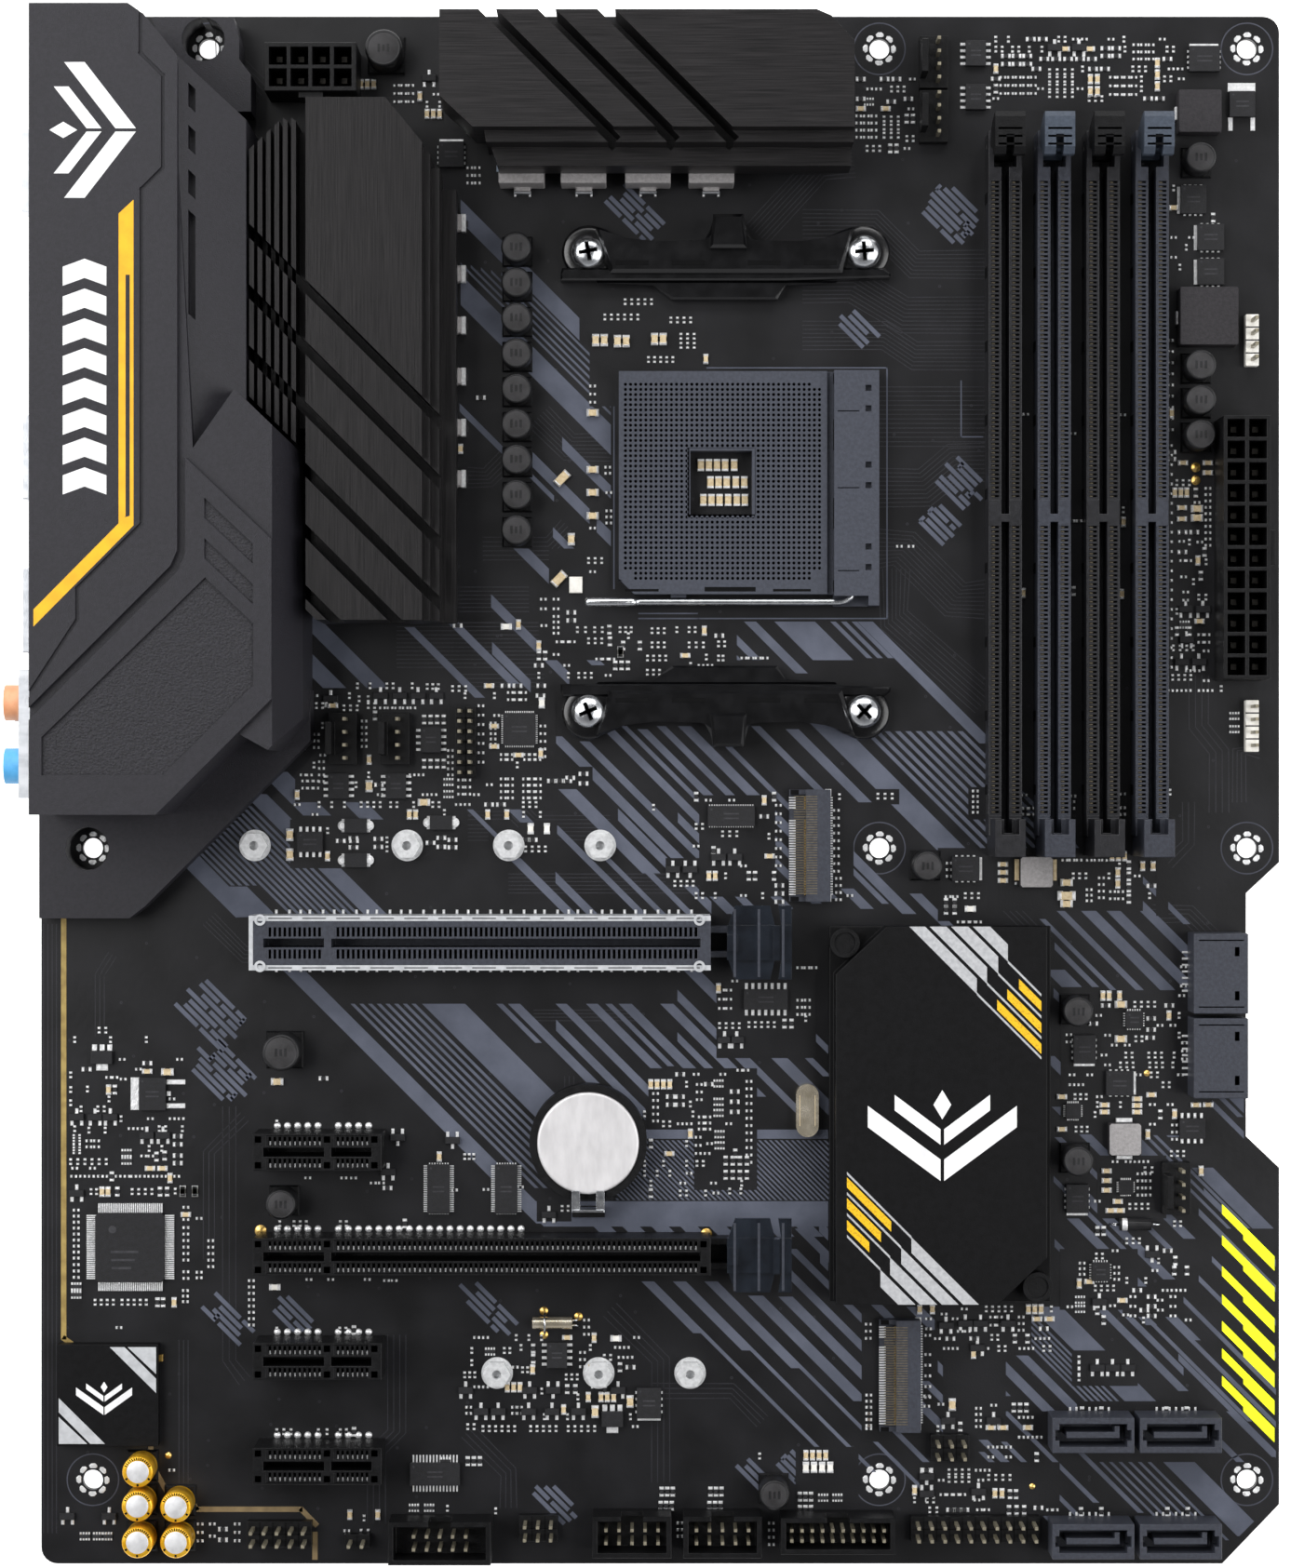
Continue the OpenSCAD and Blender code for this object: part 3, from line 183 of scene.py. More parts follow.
BRUSH_Y = finish("brushed_black_y", "#080708", "#1a1819", 0.4, 0.2, scale=2200, stretch=(3, 0.04, 1), detail=5, low=0.38,
                 high=0.62, bump=0.12, bump_scale=2600, bump_stretch=(3, 0.04, 1), rough_vary=0.12, specular=0.35)
BRUSH_X = finish("brushed_black_x", "#0b0a0b", "#1f1d1e", 0.4, 0.2, scale=2200, stretch=(0.04, 3, 1), detail=5, low=0.38,
                 high=0.62, bump=0.12, bump_scale=2600, bump_stretch=(0.04, 3, 1), rough_vary=0.12, specular=0.35)
CHIPSET = finish("matte_anodised", "#040405", "#08080a", 0.5, 0.0, scale=900, detail=6, bump=0.1, bump_scale=4000, specular=0.16)
PAD = finish("thermal_pad", "#8290a0", "#98a4b2", 0.85, scale=700, bump=0.4, bump_scale=1500)
CHOKE = finish("pressed_powder", "#858282", "#969393", 0.6, 0.05, scale=1500, bump=0.4, bump_scale=3000)
CHOKE_DARK = finish("pressed_powder_dark", "#232124", "#2d2b2e", 0.65, 0.05, scale=1500, bump=0.4, bump_scale=3000, specular=0.3)
STEEL = finish("bright_steel", "#c9ccd0", "#dfe1e4", 0.24, 1.0, scale=700, bump=0.05)
TIN = finish("tinned_metal", "#e2e3e4", "#f6f6f6", 0.32, 0.55, scale=1800, bump=0.35, bump_scale=1600)
NICKEL = finish("stamped_nickel", "#b7babf", "#cfd1d5", 0.34, 1.0, scale=500, stretch=(0.3, 1, 1), bump=0.08)
SOCKET = finish("socket_plastic", "#343740", "#3b3e48", 0.5, scale=1500, bump=0.2, bump_scale=3000, specular=0.35, rough_vary=0.04)
# Painted shade: the near-black walls of the socket's pin holes and grooves, dark from shade, not from the plastic.
SOCKET_HOLE_SHADE = finish("socket_hole_shade", "#030304", "#08080a", 0.8, scale=900, specular=0.1)
GREY = finish("grey_plastic", "#2e3038", "#363942", 0.45, scale=1500, bump=0.15, bump_scale=3000, specular=0.35, rough_vary=0.04)
SLOT_BLACK = finish("slot_black", "#141417", "#1b1b1f", 0.4, scale=900, bump=0.15, bump_scale=3000, specular=0.35)
SLOT_GREY = finish("slot_grey", "#292b33", "#32353e", 0.42, scale=1500, bump=0.15, bump_scale=3000, specular=0.35)
BLACK = finish("black_plastic", "#060607", "#0c0c0e", 0.42, scale=900, bump=0.2, bump_scale=3000, specular=0.22)
# Painted shade: a near-black that fills recesses, holes, slots and gaps that look dark only from shade; on the gold
# capacitors the same colour is dark print.
RECESS_SHADE_AND_PRINT = finish("painted_recess_shade_and_print", "#040405", "#09090a", 0.7, scale=400, specular=0.1)
SMOKE = finish("smoked_latch", "#10141b", "#1a2029", 0.16, scale=250, clear=0.1, coat=0.5, specular=0.6)
WHITE = finish("white_plastic", "#d9d6cd", "#eceae4", 0.5, scale=600, bump=0.1)
GOLD = finish("gold_plate", "#c9a04e", "#e8c57a", 0.3, 0.9, scale=1500)
PIN = finish("pale_gold_pin", "#8d8775", "#a59e8a", 0.35, 0.6, scale=1500)
SHIELD = finish("plated_steel", "#b9bbbe", "#c8cacd", 0.35, 0.3, scale=700, bump=0.04)
CELL = finish("cell_can", "#cdcbcc", "#d9d7d8", 0.4, 0.35, scale=600, stretch=(1, 0.3, 1), bump=0.05)
CAN = finish("black_can", "#161617", "#1e1e20", 0.4, 0.1, scale=500, bump=0.12, bump_scale=2500, specular=0.35)
# The dark top of the capacitor cans; the same colour is also painted shade in the gaps across the white headers.
CAN_TOP_AND_GAP_SHADE = finish("black_can_top_and_gap_shade", "#272627", "#313032", 0.5, 0.1, scale=500, bump=0.15, bump_scale=2500, specular=0.35)
GOLD_CAN = finish("gold_can", "#e0a615", "#f0bd36", 0.32, 0.55, scale=500, bump=0.06)
CAN_SILVER = finish("can_crown", "#dededf", "#efeff0", 0.34, 0.5, scale=700, bump=0.06)
CHIP = finish("moulded_epoxy", "#151517", "#1c1c1f", 0.6, scale=1400, bump=0.3, bump_scale=5000, specular=0.3)
CHIP_MARK = finish("laser_mark", "#303033", "#3c3c3f", 0.7, scale=1500, specular=0.2)
DIE = finish("green_carrier", "#2a4533", "#35543f", 0.5, scale=400)
CERAMIC = finish("tan_ceramic", "#b7a27c", "#cdbb98", 0.5, scale=1600, bump=0.2)
CERAMIC_DARK = finish("dark_ceramic", "#4d4640", "#655d55", 0.55, scale=1600)
RESISTOR = finish("resistor_film", "#121214", "#1f1f22", 0.45, scale=1600)
CRYSTAL = finish("crystal_can", "#cfc4ac", "#e6dcc8", 0.25, 0.85, scale=300)
STANDOFF = finish("standoff_metal", "#c9cacb", "#dddedf", 0.35, 0.4, scale=1500, bump=0.04)
BRACKET = finish("bracket_plastic", "#050506", "#0b0b0d", 0.2, scale=300, bump=0.08, bump_scale=1500, specular=0.5, coat=0.25)
SHADED_PIN = finish("shaded_pin", "#2c2a26", "#3a3732", 0.5, 0.4, scale=1500, specular=0.2)
LATCH_GREY = finish("latch_grey", "#363d48", "#3f4753", 0.42, scale=1500, bump=0.15, bump_scale=3000, specular=0.35)
CONTACT = finish("shaded_contact", "#5c5444", "#6e6554", 0.4, 0.6, scale=1500)
COLLARS = [finish("collar_%d" % i, a, b, 0.45, scale=400, bump=0.05) for i, (a, b) in enumerate(
    [("#4c9fd6", "#5cb0e6"), ("#8fbf6a", "#9fcf7a"), ("#d97f8f", "#e695a3"),
     ("#d9956a", "#e6a67c"), ("#2c2c2f", "#38383b"), ("#8d8f94", "#9da0a5")])]

NODE_FINISH = {
    "pcb": BOARD, "io_shroud": SHROUD, "vrm_heatsink_rear": BRUSH_Y, "vrm_heatsink_top": BRUSH_X,
    "thermal_pads": PAD, "vrm_chokes": CHOKE, "underside_screws": STEEL, "socket_base": SOCKET,
    "socket_cover": SOCKET, "socket_lever": STEEL, "socket_backplate": BRACKET, "cooler_bracket_top": BRACKET,
    "cooler_bracket_bottom": BRACKET, "bracket_screws": STEEL, "dimm_slot_a1": SLOT_BLACK, "dimm_slot_a2": SLOT_GREY,
    "dimm_slot_b1": SLOT_BLACK, "dimm_slot_b2": SLOT_GREY, "dimm_latch_a1": BLACK, "dimm_latch_a2": LATCH_GREY,
    "dimm_latch_b1": BLACK, "dimm_latch_b2": LATCH_GREY, "pcie_x16_slot_1": GREY, "pcie_x16_shield": SHIELD,
    "pcie_x16_latch_1": SMOKE, "pcie_x16_slot_2": BLACK, "pcie_x16_latch_2": SMOKE, "pcie_x1_slots": BLACK,
    "m2_sockets": GREY, "m2_standoffs": STANDOFF, "chipset_chip": DIE, "chipset_heatsink": CHIPSET,
    "chipset_push_pins": BLACK, "battery_holder": BLACK, "coin_cell": CELL, "battery_clip": STEEL,
    "atx_power_socket": BLACK, "cpu_power_socket": BLACK, "connector_pins": PIN, "sata_sockets": GREY,
    "fan_headers": BLACK, "box_headers": BLACK, "pin_headers": BLACK, "rgb_headers": WHITE,
    "audio_shield": CHIPSET, "audio_codec": CHIP, "super_io_chip": CHIP, "polymer_capacitors": CAN,
    "audio_capacitors": GOLD_CAN, "power_inductors": CHOKE_DARK, "chip_packages": CHIP, "crystals": CRYSTAL,
    "ps2_port": NICKEL, "video_ports": NICKEL, "usb_ports": NICKEL, "lan_port": NICKEL, "audio_jacks": NICKEL,
    "audio_jack_collars": COLLARS[0], "flashback_switch": BLACK, "flashback_button": WHITE,
}
ROUNDED = {
    "io_shroud": 0.5, "vrm_heatsink_rear": 0.25, "vrm_heatsink_top": 0.25, "chipset_heatsink": 0.3,
    "socket_base": 0.15, "socket_cover": 0.1, "cooler_bracket_top": 0.35, "cooler_bracket_bottom": 0.35,
    "dimm_slot_a1": 0.12, "dimm_slot_a2": 0.12, "dimm_slot_b1": 0.12, "dimm_slot_b2": 0.12,
    "dimm_latch_a1": 0.2, "dimm_latch_a2": 0.2, "dimm_latch_b1": 0.2, "dimm_latch_b2": 0.2,
    "pcie_x16_slot_1": 0.12, "pcie_x16_shield": 0.12, "pcie_x16_latch_1": 0.2, "pcie_x16_slot_2": 0.12,
    "pcie_x16_latch_2": 0.2, "pcie_x1_slots": 0.12, "m2_sockets": 0.1, "m2_standoffs": 0.15,
    "chipset_push_pins": 0.2, "battery_holder": 0.15, "battery_clip": 0.08, "atx_power_socket": 0.12,
    "cpu_power_socket": 0.12, "sata_sockets": 0.15, "fan_headers": 0.12, "box_headers": 0.12,
    "pin_headers": 0.12, "rgb_headers": 0.15, "audio_shield": 0.15, "audio_codec": 0.1,
    "power_inductors": 0.3, "vrm_chokes": 0.45, "chip_packages": 0.1, "ps2_port": 0.2, "video_ports": 0.2,
    "usb_ports": 0.2, "lan_port": 0.2, "audio_jacks": 0.2, "flashback_button": 0.1, "socket_backplate": 0.3,
}
for node, material in NODE_FINISH.items():
    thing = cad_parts[node]
    thing.data.materials.clear()
    thing.data.materials.append(material)
    for polygon in thing.data.polygons:
        polygon.material_index = 0
    weld = thing.modifiers.new("weld", "WELD")
    weld.merge_threshold = 0.000002
    if node in ROUNDED:
        round_off = thing.modifiers.new("round", "BEVEL")
        round_off.width = ROUNDED[node] * MM
        round_off.segments = 2
        round_off.limit_method = "ANGLE"
        round_off.angle_limit = math.radians(35)
        round_off.use_clamp_overlap = True


# ---------------------------------------------------------------- mesh building

def facing_up(outline):
    """The outline in anticlockwise order."""
    area = sum(a[0] * b[1] - b[0] * a[1] for a, b in zip(outline, outline[1:] + outline[:1]))
    return outline if area > 0 else outline[::-1]


class Piece:
    """Solid shapes in board millimetres, gathered into one mesh with several finishes."""

    def __init__(self, name, body="board", slot=None):
        self.name, self.body, self.slot = name, body, slot
        self.points, self.faces, self.finishes, self.smooth, self.table = [], [], [], [], []

    def add(self, points, faces, material, smooth=False):
        if material not in self.table:
            self.table.append(material)
        start = len(self.points)
        self.points += points
        self.faces += [[start + i for i in f] for f in faces]
        self.finishes += [self.table.index(material)] * len(faces)
        self.smooth += [smooth] * len(faces)

    def sheet(self, outline, z, material):
        """A thin printed area; each lies a hair above the one before it, as a later coat of ink does."""
        outline = facing_up(outline)
        z += 0.0016 * (len(self.faces) % 17)
        self.add([(x, y, z) for x, y in outline], [list(range(len(outline)))], material)

    def prism(self, outline, z0, z1, material, inset=0.0):
        """A prism; with inset its top edge is chamfered by that much."""
        outline = facing_up(outline)
        n = len(outline)
        cx = sum(p[0] for p in outline) / n
        cy = sum(p[1] for p in outline) / n
        levels = [(z0, 0), (z1 - inset, 0), (z1, inset)] if inset else [(z0, 0), (z1, 0)]
        points = []
        for z, shrink in levels:
            for x, y in outline:
                dx, dy = cx - x, cy - y
                points.append((x + math.copysign(min(shrink, abs(dx)), dx), y + math.copysign(min(shrink, abs(dy)), dy), z))
        rings = len(levels)
        faces = [[r * n + i, r * n + (i + 1) % n, (r + 1) * n + (i + 1) % n, (r + 1) * n + i]
                 for r in range(rings - 1) for i in range(n)]
        faces += [list(range(n))[::-1], [(rings - 1) * n + i for i in range(n)]]
        self.add(points, faces, material)

    def block(self, x0, y0, z0, x1, y1, z1, material, inset=0.0):
        self.prism([(x0, y0), (x1, y0), (x1, y1), (x0, y1)], z0, z1, material, inset)

    def bar(self, cx, cy, w, l, z0, z1, material, angle=0.0, inset=0.0):
        """A block centred on a point and turned about it."""
        c, s = math.cos(angle), math.sin(angle)
        corners = [(-w / 2, -l / 2), (w / 2, -l / 2), (w / 2, l / 2), (-w / 2, l / 2)]
        start = len(self.points)
        self.prism(corners, z0, z1, material, inset)
        for i in range(start, len(self.points)):
            x, y, z = self.points[i]
            self.points[i] = (cx + x * c - y * s, cy + x * s + y * c, z)

    def lathe(self, cx, cy, profile, material, sides=32, axis="z", smooth=True):
        """A turned shape: profile is (radius, height) from the bottom up; its ends are closed."""
        points = []
        for r, h in profile:
            for i in range(sides):
                a = 2 * math.pi * i / sides
                u, v = r * math.cos(a), r * math.sin(a)
                points.append((cx + u, cy + v, h) if axis == "z" else (h, cx + u, cy + v))
        faces = [[k * sides + i, k * sides + (i + 1) % sides, (k + 1) * sides + (i + 1) % sides, (k + 1) * sides + i]
                 for k in range(len(profile) - 1) for i in range(sides)]
        faces += [list(range(sides))[::-1], [(len(profile) - 1) * sides + i for i in range(sides)]]
        self.add(points, faces, material, smooth)

    def tube(self, path, radius, material, sides=10):
        """A round wire along a line of points."""
        points = []
        for k, p in enumerate(path):
            a = Vector(path[max(k - 1, 0)])
            b = Vector(path[min(k + 1, len(path) - 1)])
            along = (b - a).normalized()
            side = along.cross(Vector((0, 0, 1) if abs(along.z) < 0.9 else (1, 0, 0))).normalized()
            up = side.cross(along)
            for i in range(sides):
                t = 2 * math.pi * i / sides
                q = Vector(p) + side * radius * math.cos(t) + up * radius * math.sin(t)
                points.append(tuple(q))
        n = len(path)
        faces = [[k * sides + i, k * sides + (i + 1) % sides, (k + 1) * sides + (i + 1) % sides, (k + 1) * sides + i]
                 for k in range(n - 1) for i in range(sides)]
        faces += [list(range(sides))[::-1], [(n - 1) * sides + i for i in range(sides)]]
        self.add(points, faces, material, True)

    def make(self):
        mesh = bpy.data.meshes.new(self.name)
        mesh.from_pydata([place(*p) for p in self.points], [], self.faces)
        for material in self.table:
            mesh.materials.append(material)
        mesh.polygons.foreach_set("material_index", self.finishes)
        mesh.polygons.foreach_set("use_smooth", self.smooth)
        mesh.validate()
        thing = bpy.data.objects.new(self.name, mesh)
        bpy.context.scene.collection.objects.link(thing)
        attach(thing, self.body)
        return thing


def circle(cx, cy, r, n=24, start=0.0):
    return [(cx + r * math.cos(start + 2 * math.pi * i / n), cy + r * math.sin(start + 2 * math.pi * i / n))
            for i in range(n)]


# ---------------------------------------------------------------- camera, light and floor

PHOTO_X, PHOTO_Y, PHOTO_AWAY = 120.3, 153.6, 775.0
camera_data = bpy.data.cameras.new("camera")
camera_data.lens = 90.3
camera_data.sensor_width = 36
camera_data.clip_end = 10
camera = bpy.data.objects.new("camera", camera_data)
camera.location = place(PHOTO_X, PHOTO_Y, PHOTO_AWAY)
bpy.context.scene.collection.objects.link(camera)
bpy.context.scene.camera = camera

middle = Vector(place(122, 152, 0))


def soft_light(name, offset, size, power):
    data = bpy.data.lights.new(name, "AREA")
    data.shape = "RECTANGLE"
    data.size, data.size_y = size
    data.energy = power
    light = bpy.data.objects.new(name, data)
    light.location = middle + Vector(offset)
    light.rotation_euler = (middle - light.location).to_track_quat("-Z", "Y").to_euler()
    bpy.context.scene.collection.objects.link(light)


soft_light("softbox_left", (-0.75, 0.25, 0.85), (0.7, 1.1), 11)
soft_light("softbox_right", (0.8, -0.1, 0.8), (0.7, 1.1), 8)
soft_light("softbox_top", (0.0, 0.85, 0.75), (1.2, 0.6), 8)
world = bpy.data.worlds.new("studio")
world.use_nodes = True
sky_nodes, sky_links = world.node_tree.nodes, world.node_tree.links
sky_place = sky_nodes.new("ShaderNodeTexCoord")
sky_parts = sky_nodes.new("ShaderNodeSeparateXYZ")
sky_ramp = sky_nodes.new("ShaderNodeValToRGB")
sky_ramp.color_ramp.elements[0].position = 0.0
sky_ramp.color_ramp.elements[0].color = (0.85, 0.85, 0.87, 1)
sky_ramp.color_ramp.elements[1].position = 0.96
sky_ramp.color_ramp.elements[1].color = (0.1, 0.1, 0.105, 1)
sky_links.new(sky_place.outputs["Generated"], sky_parts.inputs["Vector"])
sky_links.new(sky_parts.outputs["Z"], sky_ramp.inputs["Fac"])
sky_links.new(sky_ramp.outputs["Color"], sky_nodes["Background"].inputs["Color"])
sky_nodes["Background"].inputs["Strength"].default_value = 0.8
bpy.context.scene.view_settings.view_transform = "Standard"
bpy.context.scene.world = world

floor_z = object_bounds()[0][2] - 0.0002
floor_mesh = bpy.data.meshes.new("floor")
reach = 3.0
floor_mesh.from_pydata([(-reach, -reach, floor_z), (reach, -reach, floor_z), (reach, reach, floor_z),
                        (-reach, reach, floor_z)], [], [[0, 1, 2, 3]])
floor = bpy.data.objects.new("floor", floor_mesh)
floor_mesh.materials.append(finish("pale_floor", "#f4f4f4", "#f8f8f8", 0.9, scale=2, specular=0.1, glow=0.9))
bpy.context.scene.collection.objects.link(floor)

# ---------------------------------------------------------------- printed marks on the board

def trimmed(outline):
    """The part of an outline that lies on the board: the front edge steps in, and its lower corner is cut off."""
    middle_y = sum(p[1] for p in outline) / len(outline)
    for across, down, limit in ((1, 0, 236.9 if 80 < middle_y < 139 else 243.2), (1, -1, 230.6)):
        kept = []
        for a, b in zip(outline, outline[1:] + outline[:1]):
            over_a = a[0] * across + a[1] * down - limit
            over_b = b[0] * across + b[1] * down - limit
            if over_a <= 0:
                kept.append(a)
            if (over_a <= 0) != (over_b <= 0):
                t = over_a / (over_a - over_b)
                kept.append((a[0] + (b[0] - a[0]) * t, a[1] + (b[1] - a[1]) * t))
        outline = kept
        if len(outline) < 3:
            return []
    return outline


def slope(piece, s0, s1, y_top, y_bottom, material, z=SILK_Z):
    """A 45 degree band between two lines x + y = s, cut level at its top and bottom."""
    outline = trimmed([(s0 - y_top, y_top), (s0 - y_bottom, y_bottom), (s1 - y_bottom, y_bottom), (s1 - y_top, y_top)])
    if len(outline) > 2:
        piece.sheet(outline, z, material)


def slope_x(piece, s0, s1, x_left, x_right, material, z=SILK_Z):
    """The same band, cut upright at its left and right ends."""
    outline = trimmed([(x_left, s0 - x_left), (x_right, s0 - x_right), (x_right, s1 - x_right), (x_left, s1 - x_left)])
    if len(outline) > 2:
        piece.sheet(outline, z, material)


# Level-ended bands as (s0, s1, top y, bottom y)
LEVEL_BANDS = [
    (191.5, 196, 151.6, 127.8), (199, 204.5, 156, 147.4), (209.5, 214, 154.5, 142), (164.5, 168.8, 117.6, 67),
    (185.3, 193.8, 110.3, 84), (199.9, 201.2, 110.3, 102.6), (202.2, 204.6, 110.3, 87), (211.6, 213.8, 110.3, 92),
    (217.6, 219.9, 110.3, 88), (221.4, 222.7, 110.3, 98), (224, 226.6, 110.3, 87), (232.2, 234.8, 110.3, 92),
    (237.4, 239.2, 104, 87), (243.4, 246.6, 117, 88), (250, 251.6, 112, 96), (173.8, 176.3, 55.6, 45.4),
    (175.3, 176.3, 45.4, 22.6), (180, 182.6, 55.6, 42), (181.6, 182.6, 42, 18), (186.2, 188.8, 55.6, 38.5),
    (187.8, 188.8, 38.5, 14), (192, 195, 52.8, 32), (193.6, 195, 32, 12), (197.8, 200.6, 52.6, 30),
    (203.4, 205.6, 58, 24), (209, 210.8, 62, 20), (214.4, 216.6, 66, 36), (221, 224, 50.6, 33),
    (227.2, 229.8, 50.6, 30), (233, 235.4, 48, 26), (245.4, 251.6, 50.6, 30), (293, 296, 200, 187.6),
    (285.4, 288, 186, 177), (265.4, 267.6, 185.4, 172.6), (256, 258, 184.5, 166.6), (317, 323, 166, 140),
    (346.4, 349.4, 185.6, 161.6), (324, 326.4, 185.6, 175.4), (330, 338, 185.6, 178), (309, 310.6, 185.6, 178),
    (314.6, 316, 183, 178), (318, 320, 185.6, 178), (299.6, 301.2, 182, 177), (303, 304.4, 185.6, 178.5),
    (263, 265.6, 163, 128), (268, 270, 162, 128), (275, 277.2, 164.4, 129), (279.2, 280.4, 165, 150),
    (281.8, 283.8, 164.4, 130), (286.2, 288, 165, 131), (290.4, 293, 165, 129), (295.6, 297, 161, 130),
    (304.8, 306.6, 165, 152), (311, 313.6, 164.4, 150), (254.4, 258, 153.6, 136), (255, 256.6, 136, 128),
    (240.4, 243, 152.4, 145.6), (245.4, 247.2, 145.4, 127.6), (231, 233.4, 139, 128), (232.4, 233.6, 153, 143),
    (249.6, 251, 139, 128), (297.6, 300.4, 146, 128), (303, 305.4, 132, 118), (236.6, 241, 185, 172),
    (241, 247.2, 20, 5.4), (333.4, 336.4, 132.6, 112), (338.4, 341.2, 132.6, 109), (314.6, 318.6, 117, 106),
    (316, 319.4, 104, 90), (323.6, 324.8, 127, 88), (328.6, 330.2, 131, 92), (345, 347.6, 138, 116),
    (351, 352.4, 138, 126), (306, 308.6, 104, 84), (297, 299.6, 100, 80), (289, 291.4, 90, 64),
    (304.6, 308.8, 78, 66), (283.6, 285, 84, 62), (277, 279.4, 74, 56), (270, 272.4, 68, 44),
    (264.6, 266.8, 62, 47), (265.6, 266.6, 47, 28), (258, 260, 56, 34), (325.6, 329.4, 92, 85.6),
    (263.4, 265, 30, 21), (255.4, 257, 28, 20), (219.2, 220.4, 30, 12), (213, 214.2, 24, 8),
    (206.6, 207.8, 22, 8), (226, 227.2, 26, 10),
]
# Bands with upright ends as (s0, s1, left x, right x)
UPRIGHT_BANDS = [
    (330.6, 336.6, 82.6, 112.2), (347, 351.4, 82.6, 106), (309.4, 311, 82.4, 91), (312.8, 315.8, 96.6, 108),
    (310.2, 311.4, 96, 101), (322, 324.6, 102.6, 112.2), (312.6, 315.6, 109.4, 112.2), (303, 305, 100.8, 108),
    (277, 279.6, 88.6, 104), (268, 270.4, 88.8, 96.4), (206.4, 208.6, 101.4, 119), (236.6, 241, 51, 69),
    (228, 232.6, 51, 62), (235.4, 237.6, 101.3, 110), (228.2, 230, 125.3, 140), (236.2, 238.4, 125.3, 141),
    (260, 262.4, 113.6, 132), (271.4, 273.4, 125.4, 140), (255.4, 257, 150.4, 155), (320.6, 322, 199.6, 237),
    (311, 312.8, 199.4, 212), (262, 263.6, 199.6, 225), (274.6, 275.8, 199.4, 215), (296.6, 298, 228, 243.4),
    (301.6, 303, 229, 243.4), (290, 291.2, 230.6, 243.4), (283.6, 284.8, 228, 243.4), (276.4, 277.6, 224, 243.4),
    (270, 271.2, 222, 243.4), (264, 265.4, 224, 243.4), (212.6, 214.4, 153.4, 155), (218.6, 221, 153.2, 155),
]
THIN_LINES = (
    [(171 + 1.45 * i, 0.75, min(150, 139.9 + 0.72 * i), 133.6 if i < 4 else 128) for i in range(14)]
    + [(171.2 + 1.72 * i, 0.8, 110.3, 74) for i in range(8)]
    + [(341 + 2.1 * i, 1.1, 185.6, 178.4) for i in range(3)]
    + [(326 + 2.05 * i, 1.05, min(178 - 0.8 * i, 164), 141) for i in range(10)]
    + [(237.6 + 1.22 * i, 0.6, 50.6, 29.4) for i in range(6)]
    + [(228.4 + 1.9 * i, 0.7, 20, 4.6) for i in range(6)]
    + [(299.6 + 1.9 * i, 0.8, 86, 66) for i in range(3)]
)
silk = Piece("printed_bands")
for s0, s1, top, bottom in LEVEL_BANDS:
    slope(silk, s0, s1, top, bottom, SILK)
for s0, s1, left, right in UPRIGHT_BANDS:
    slope_x(silk, s0, s1, left, right, SILK)
for s, w, top, bottom in THIN_LINES:
    slope(silk, s, s + w, top, bottom, SILK)
for i in range(6):
    slope_x(silk, 338.4 + 1.5 * i, 339 + 1.5 * i, 82.6 + 2 * i, 112.2, SILK)
silk.sheet([(28.3, 137.3), (38.3, 127.3), (46.3, 127.6), (40.5, 133.4), (37, 133.4), (31, 139.6)], SILK_Z, SILK)

# the hatched field between the coin cell and the chipset
FIELD_LEFT, FIELD_RIGHT = 113.0, 155.0
silk.sheet([(118.6, 83.7), (FIELD_RIGHT, 83.7), (FIELD_RIGHT, 85.5), (118.6, 85.5)], SILK_Z, SILK)
silk.sheet([(99, 66.4), (FIELD_RIGHT, 66.4), (FIELD_RIGHT, 71.4), (94, 71.4)], SILK_Z, SILK)
s = FIELD_LEFT + 72
while s < FIELD_RIGHT + 83:
    top = min(83.4, s - FIELD_LEFT)
    bottom = max(71.6, s - FIELD_RIGHT)
    if top > bottom:
        slope(silk, s, s + 0.5, top, bottom, SILK)
    s += 1.07
for i in range(8):
    slope(silk, 175.2 + 5.7 * i, 178.6 + 5.7 * i, 66.4, 64.4, SILK)


def dash_cluster(piece, cx, cy, across, along, seed, material=SILK):
    """A loose cluster of slanted dashes joined at some of their ends."""
    pick = random.Random(seed)
    rows = int(across / 1.25)
    for k in range(rows):
        off = (k - rows / 2 + 0.5) * 1.25
        reach_along = along / 2 * (0.6 + 0.4 * pick.random())
        t = -reach_along * (0.6 + 0.4 * pick.random())
        while t < reach_along - 1:
            run = min(3.5 + pick.random() * 6.5, reach_along - t)
            u = t + run / 2
            mx, my = cx + (off + u) * 0.7071, cy + (off - u) * 0.7071
            piece.bar(mx, my, run, 0.84, SILK_Z - 0.02, SILK_Z, material, -math.pi / 4)
            if pick.random() < 0.15 and k < rows - 1:
                v = t if pick.random() < 0.5 else t + run - 0.4
                mx, my = cx + (off + 0.62 + v) * 0.7071, cy + (off + 0.62 - v) * 0.7071
                piece.bar(mx, my, 0.72, 1.3, SILK_Z - 0.02, SILK_Z, material, -math.pi / 4)
            t += run + 0.7


for seed, (cx, cy, across, along) in enumerate([
        (33.5, 108.5, 9, 15), (35.5, 97, 9, 14), (36.7, 48.2, 5, 11), (49.1, 49.3, 5, 10), (87.6, 50.7, 6, 15),
        (101.2, 12.3, 6, 11), (140.2, 17.8, 4, 8), (147.8, 19.5, 5, 9), (116.7, 266.4, 7, 16), (179, 266.3, 9, 13),
        (160.6, 243.6, 6, 9), (181, 213, 8, 11), (177, 205, 7, 9)]):
    dash_cluster(silk, cx, cy, across, along, seed)

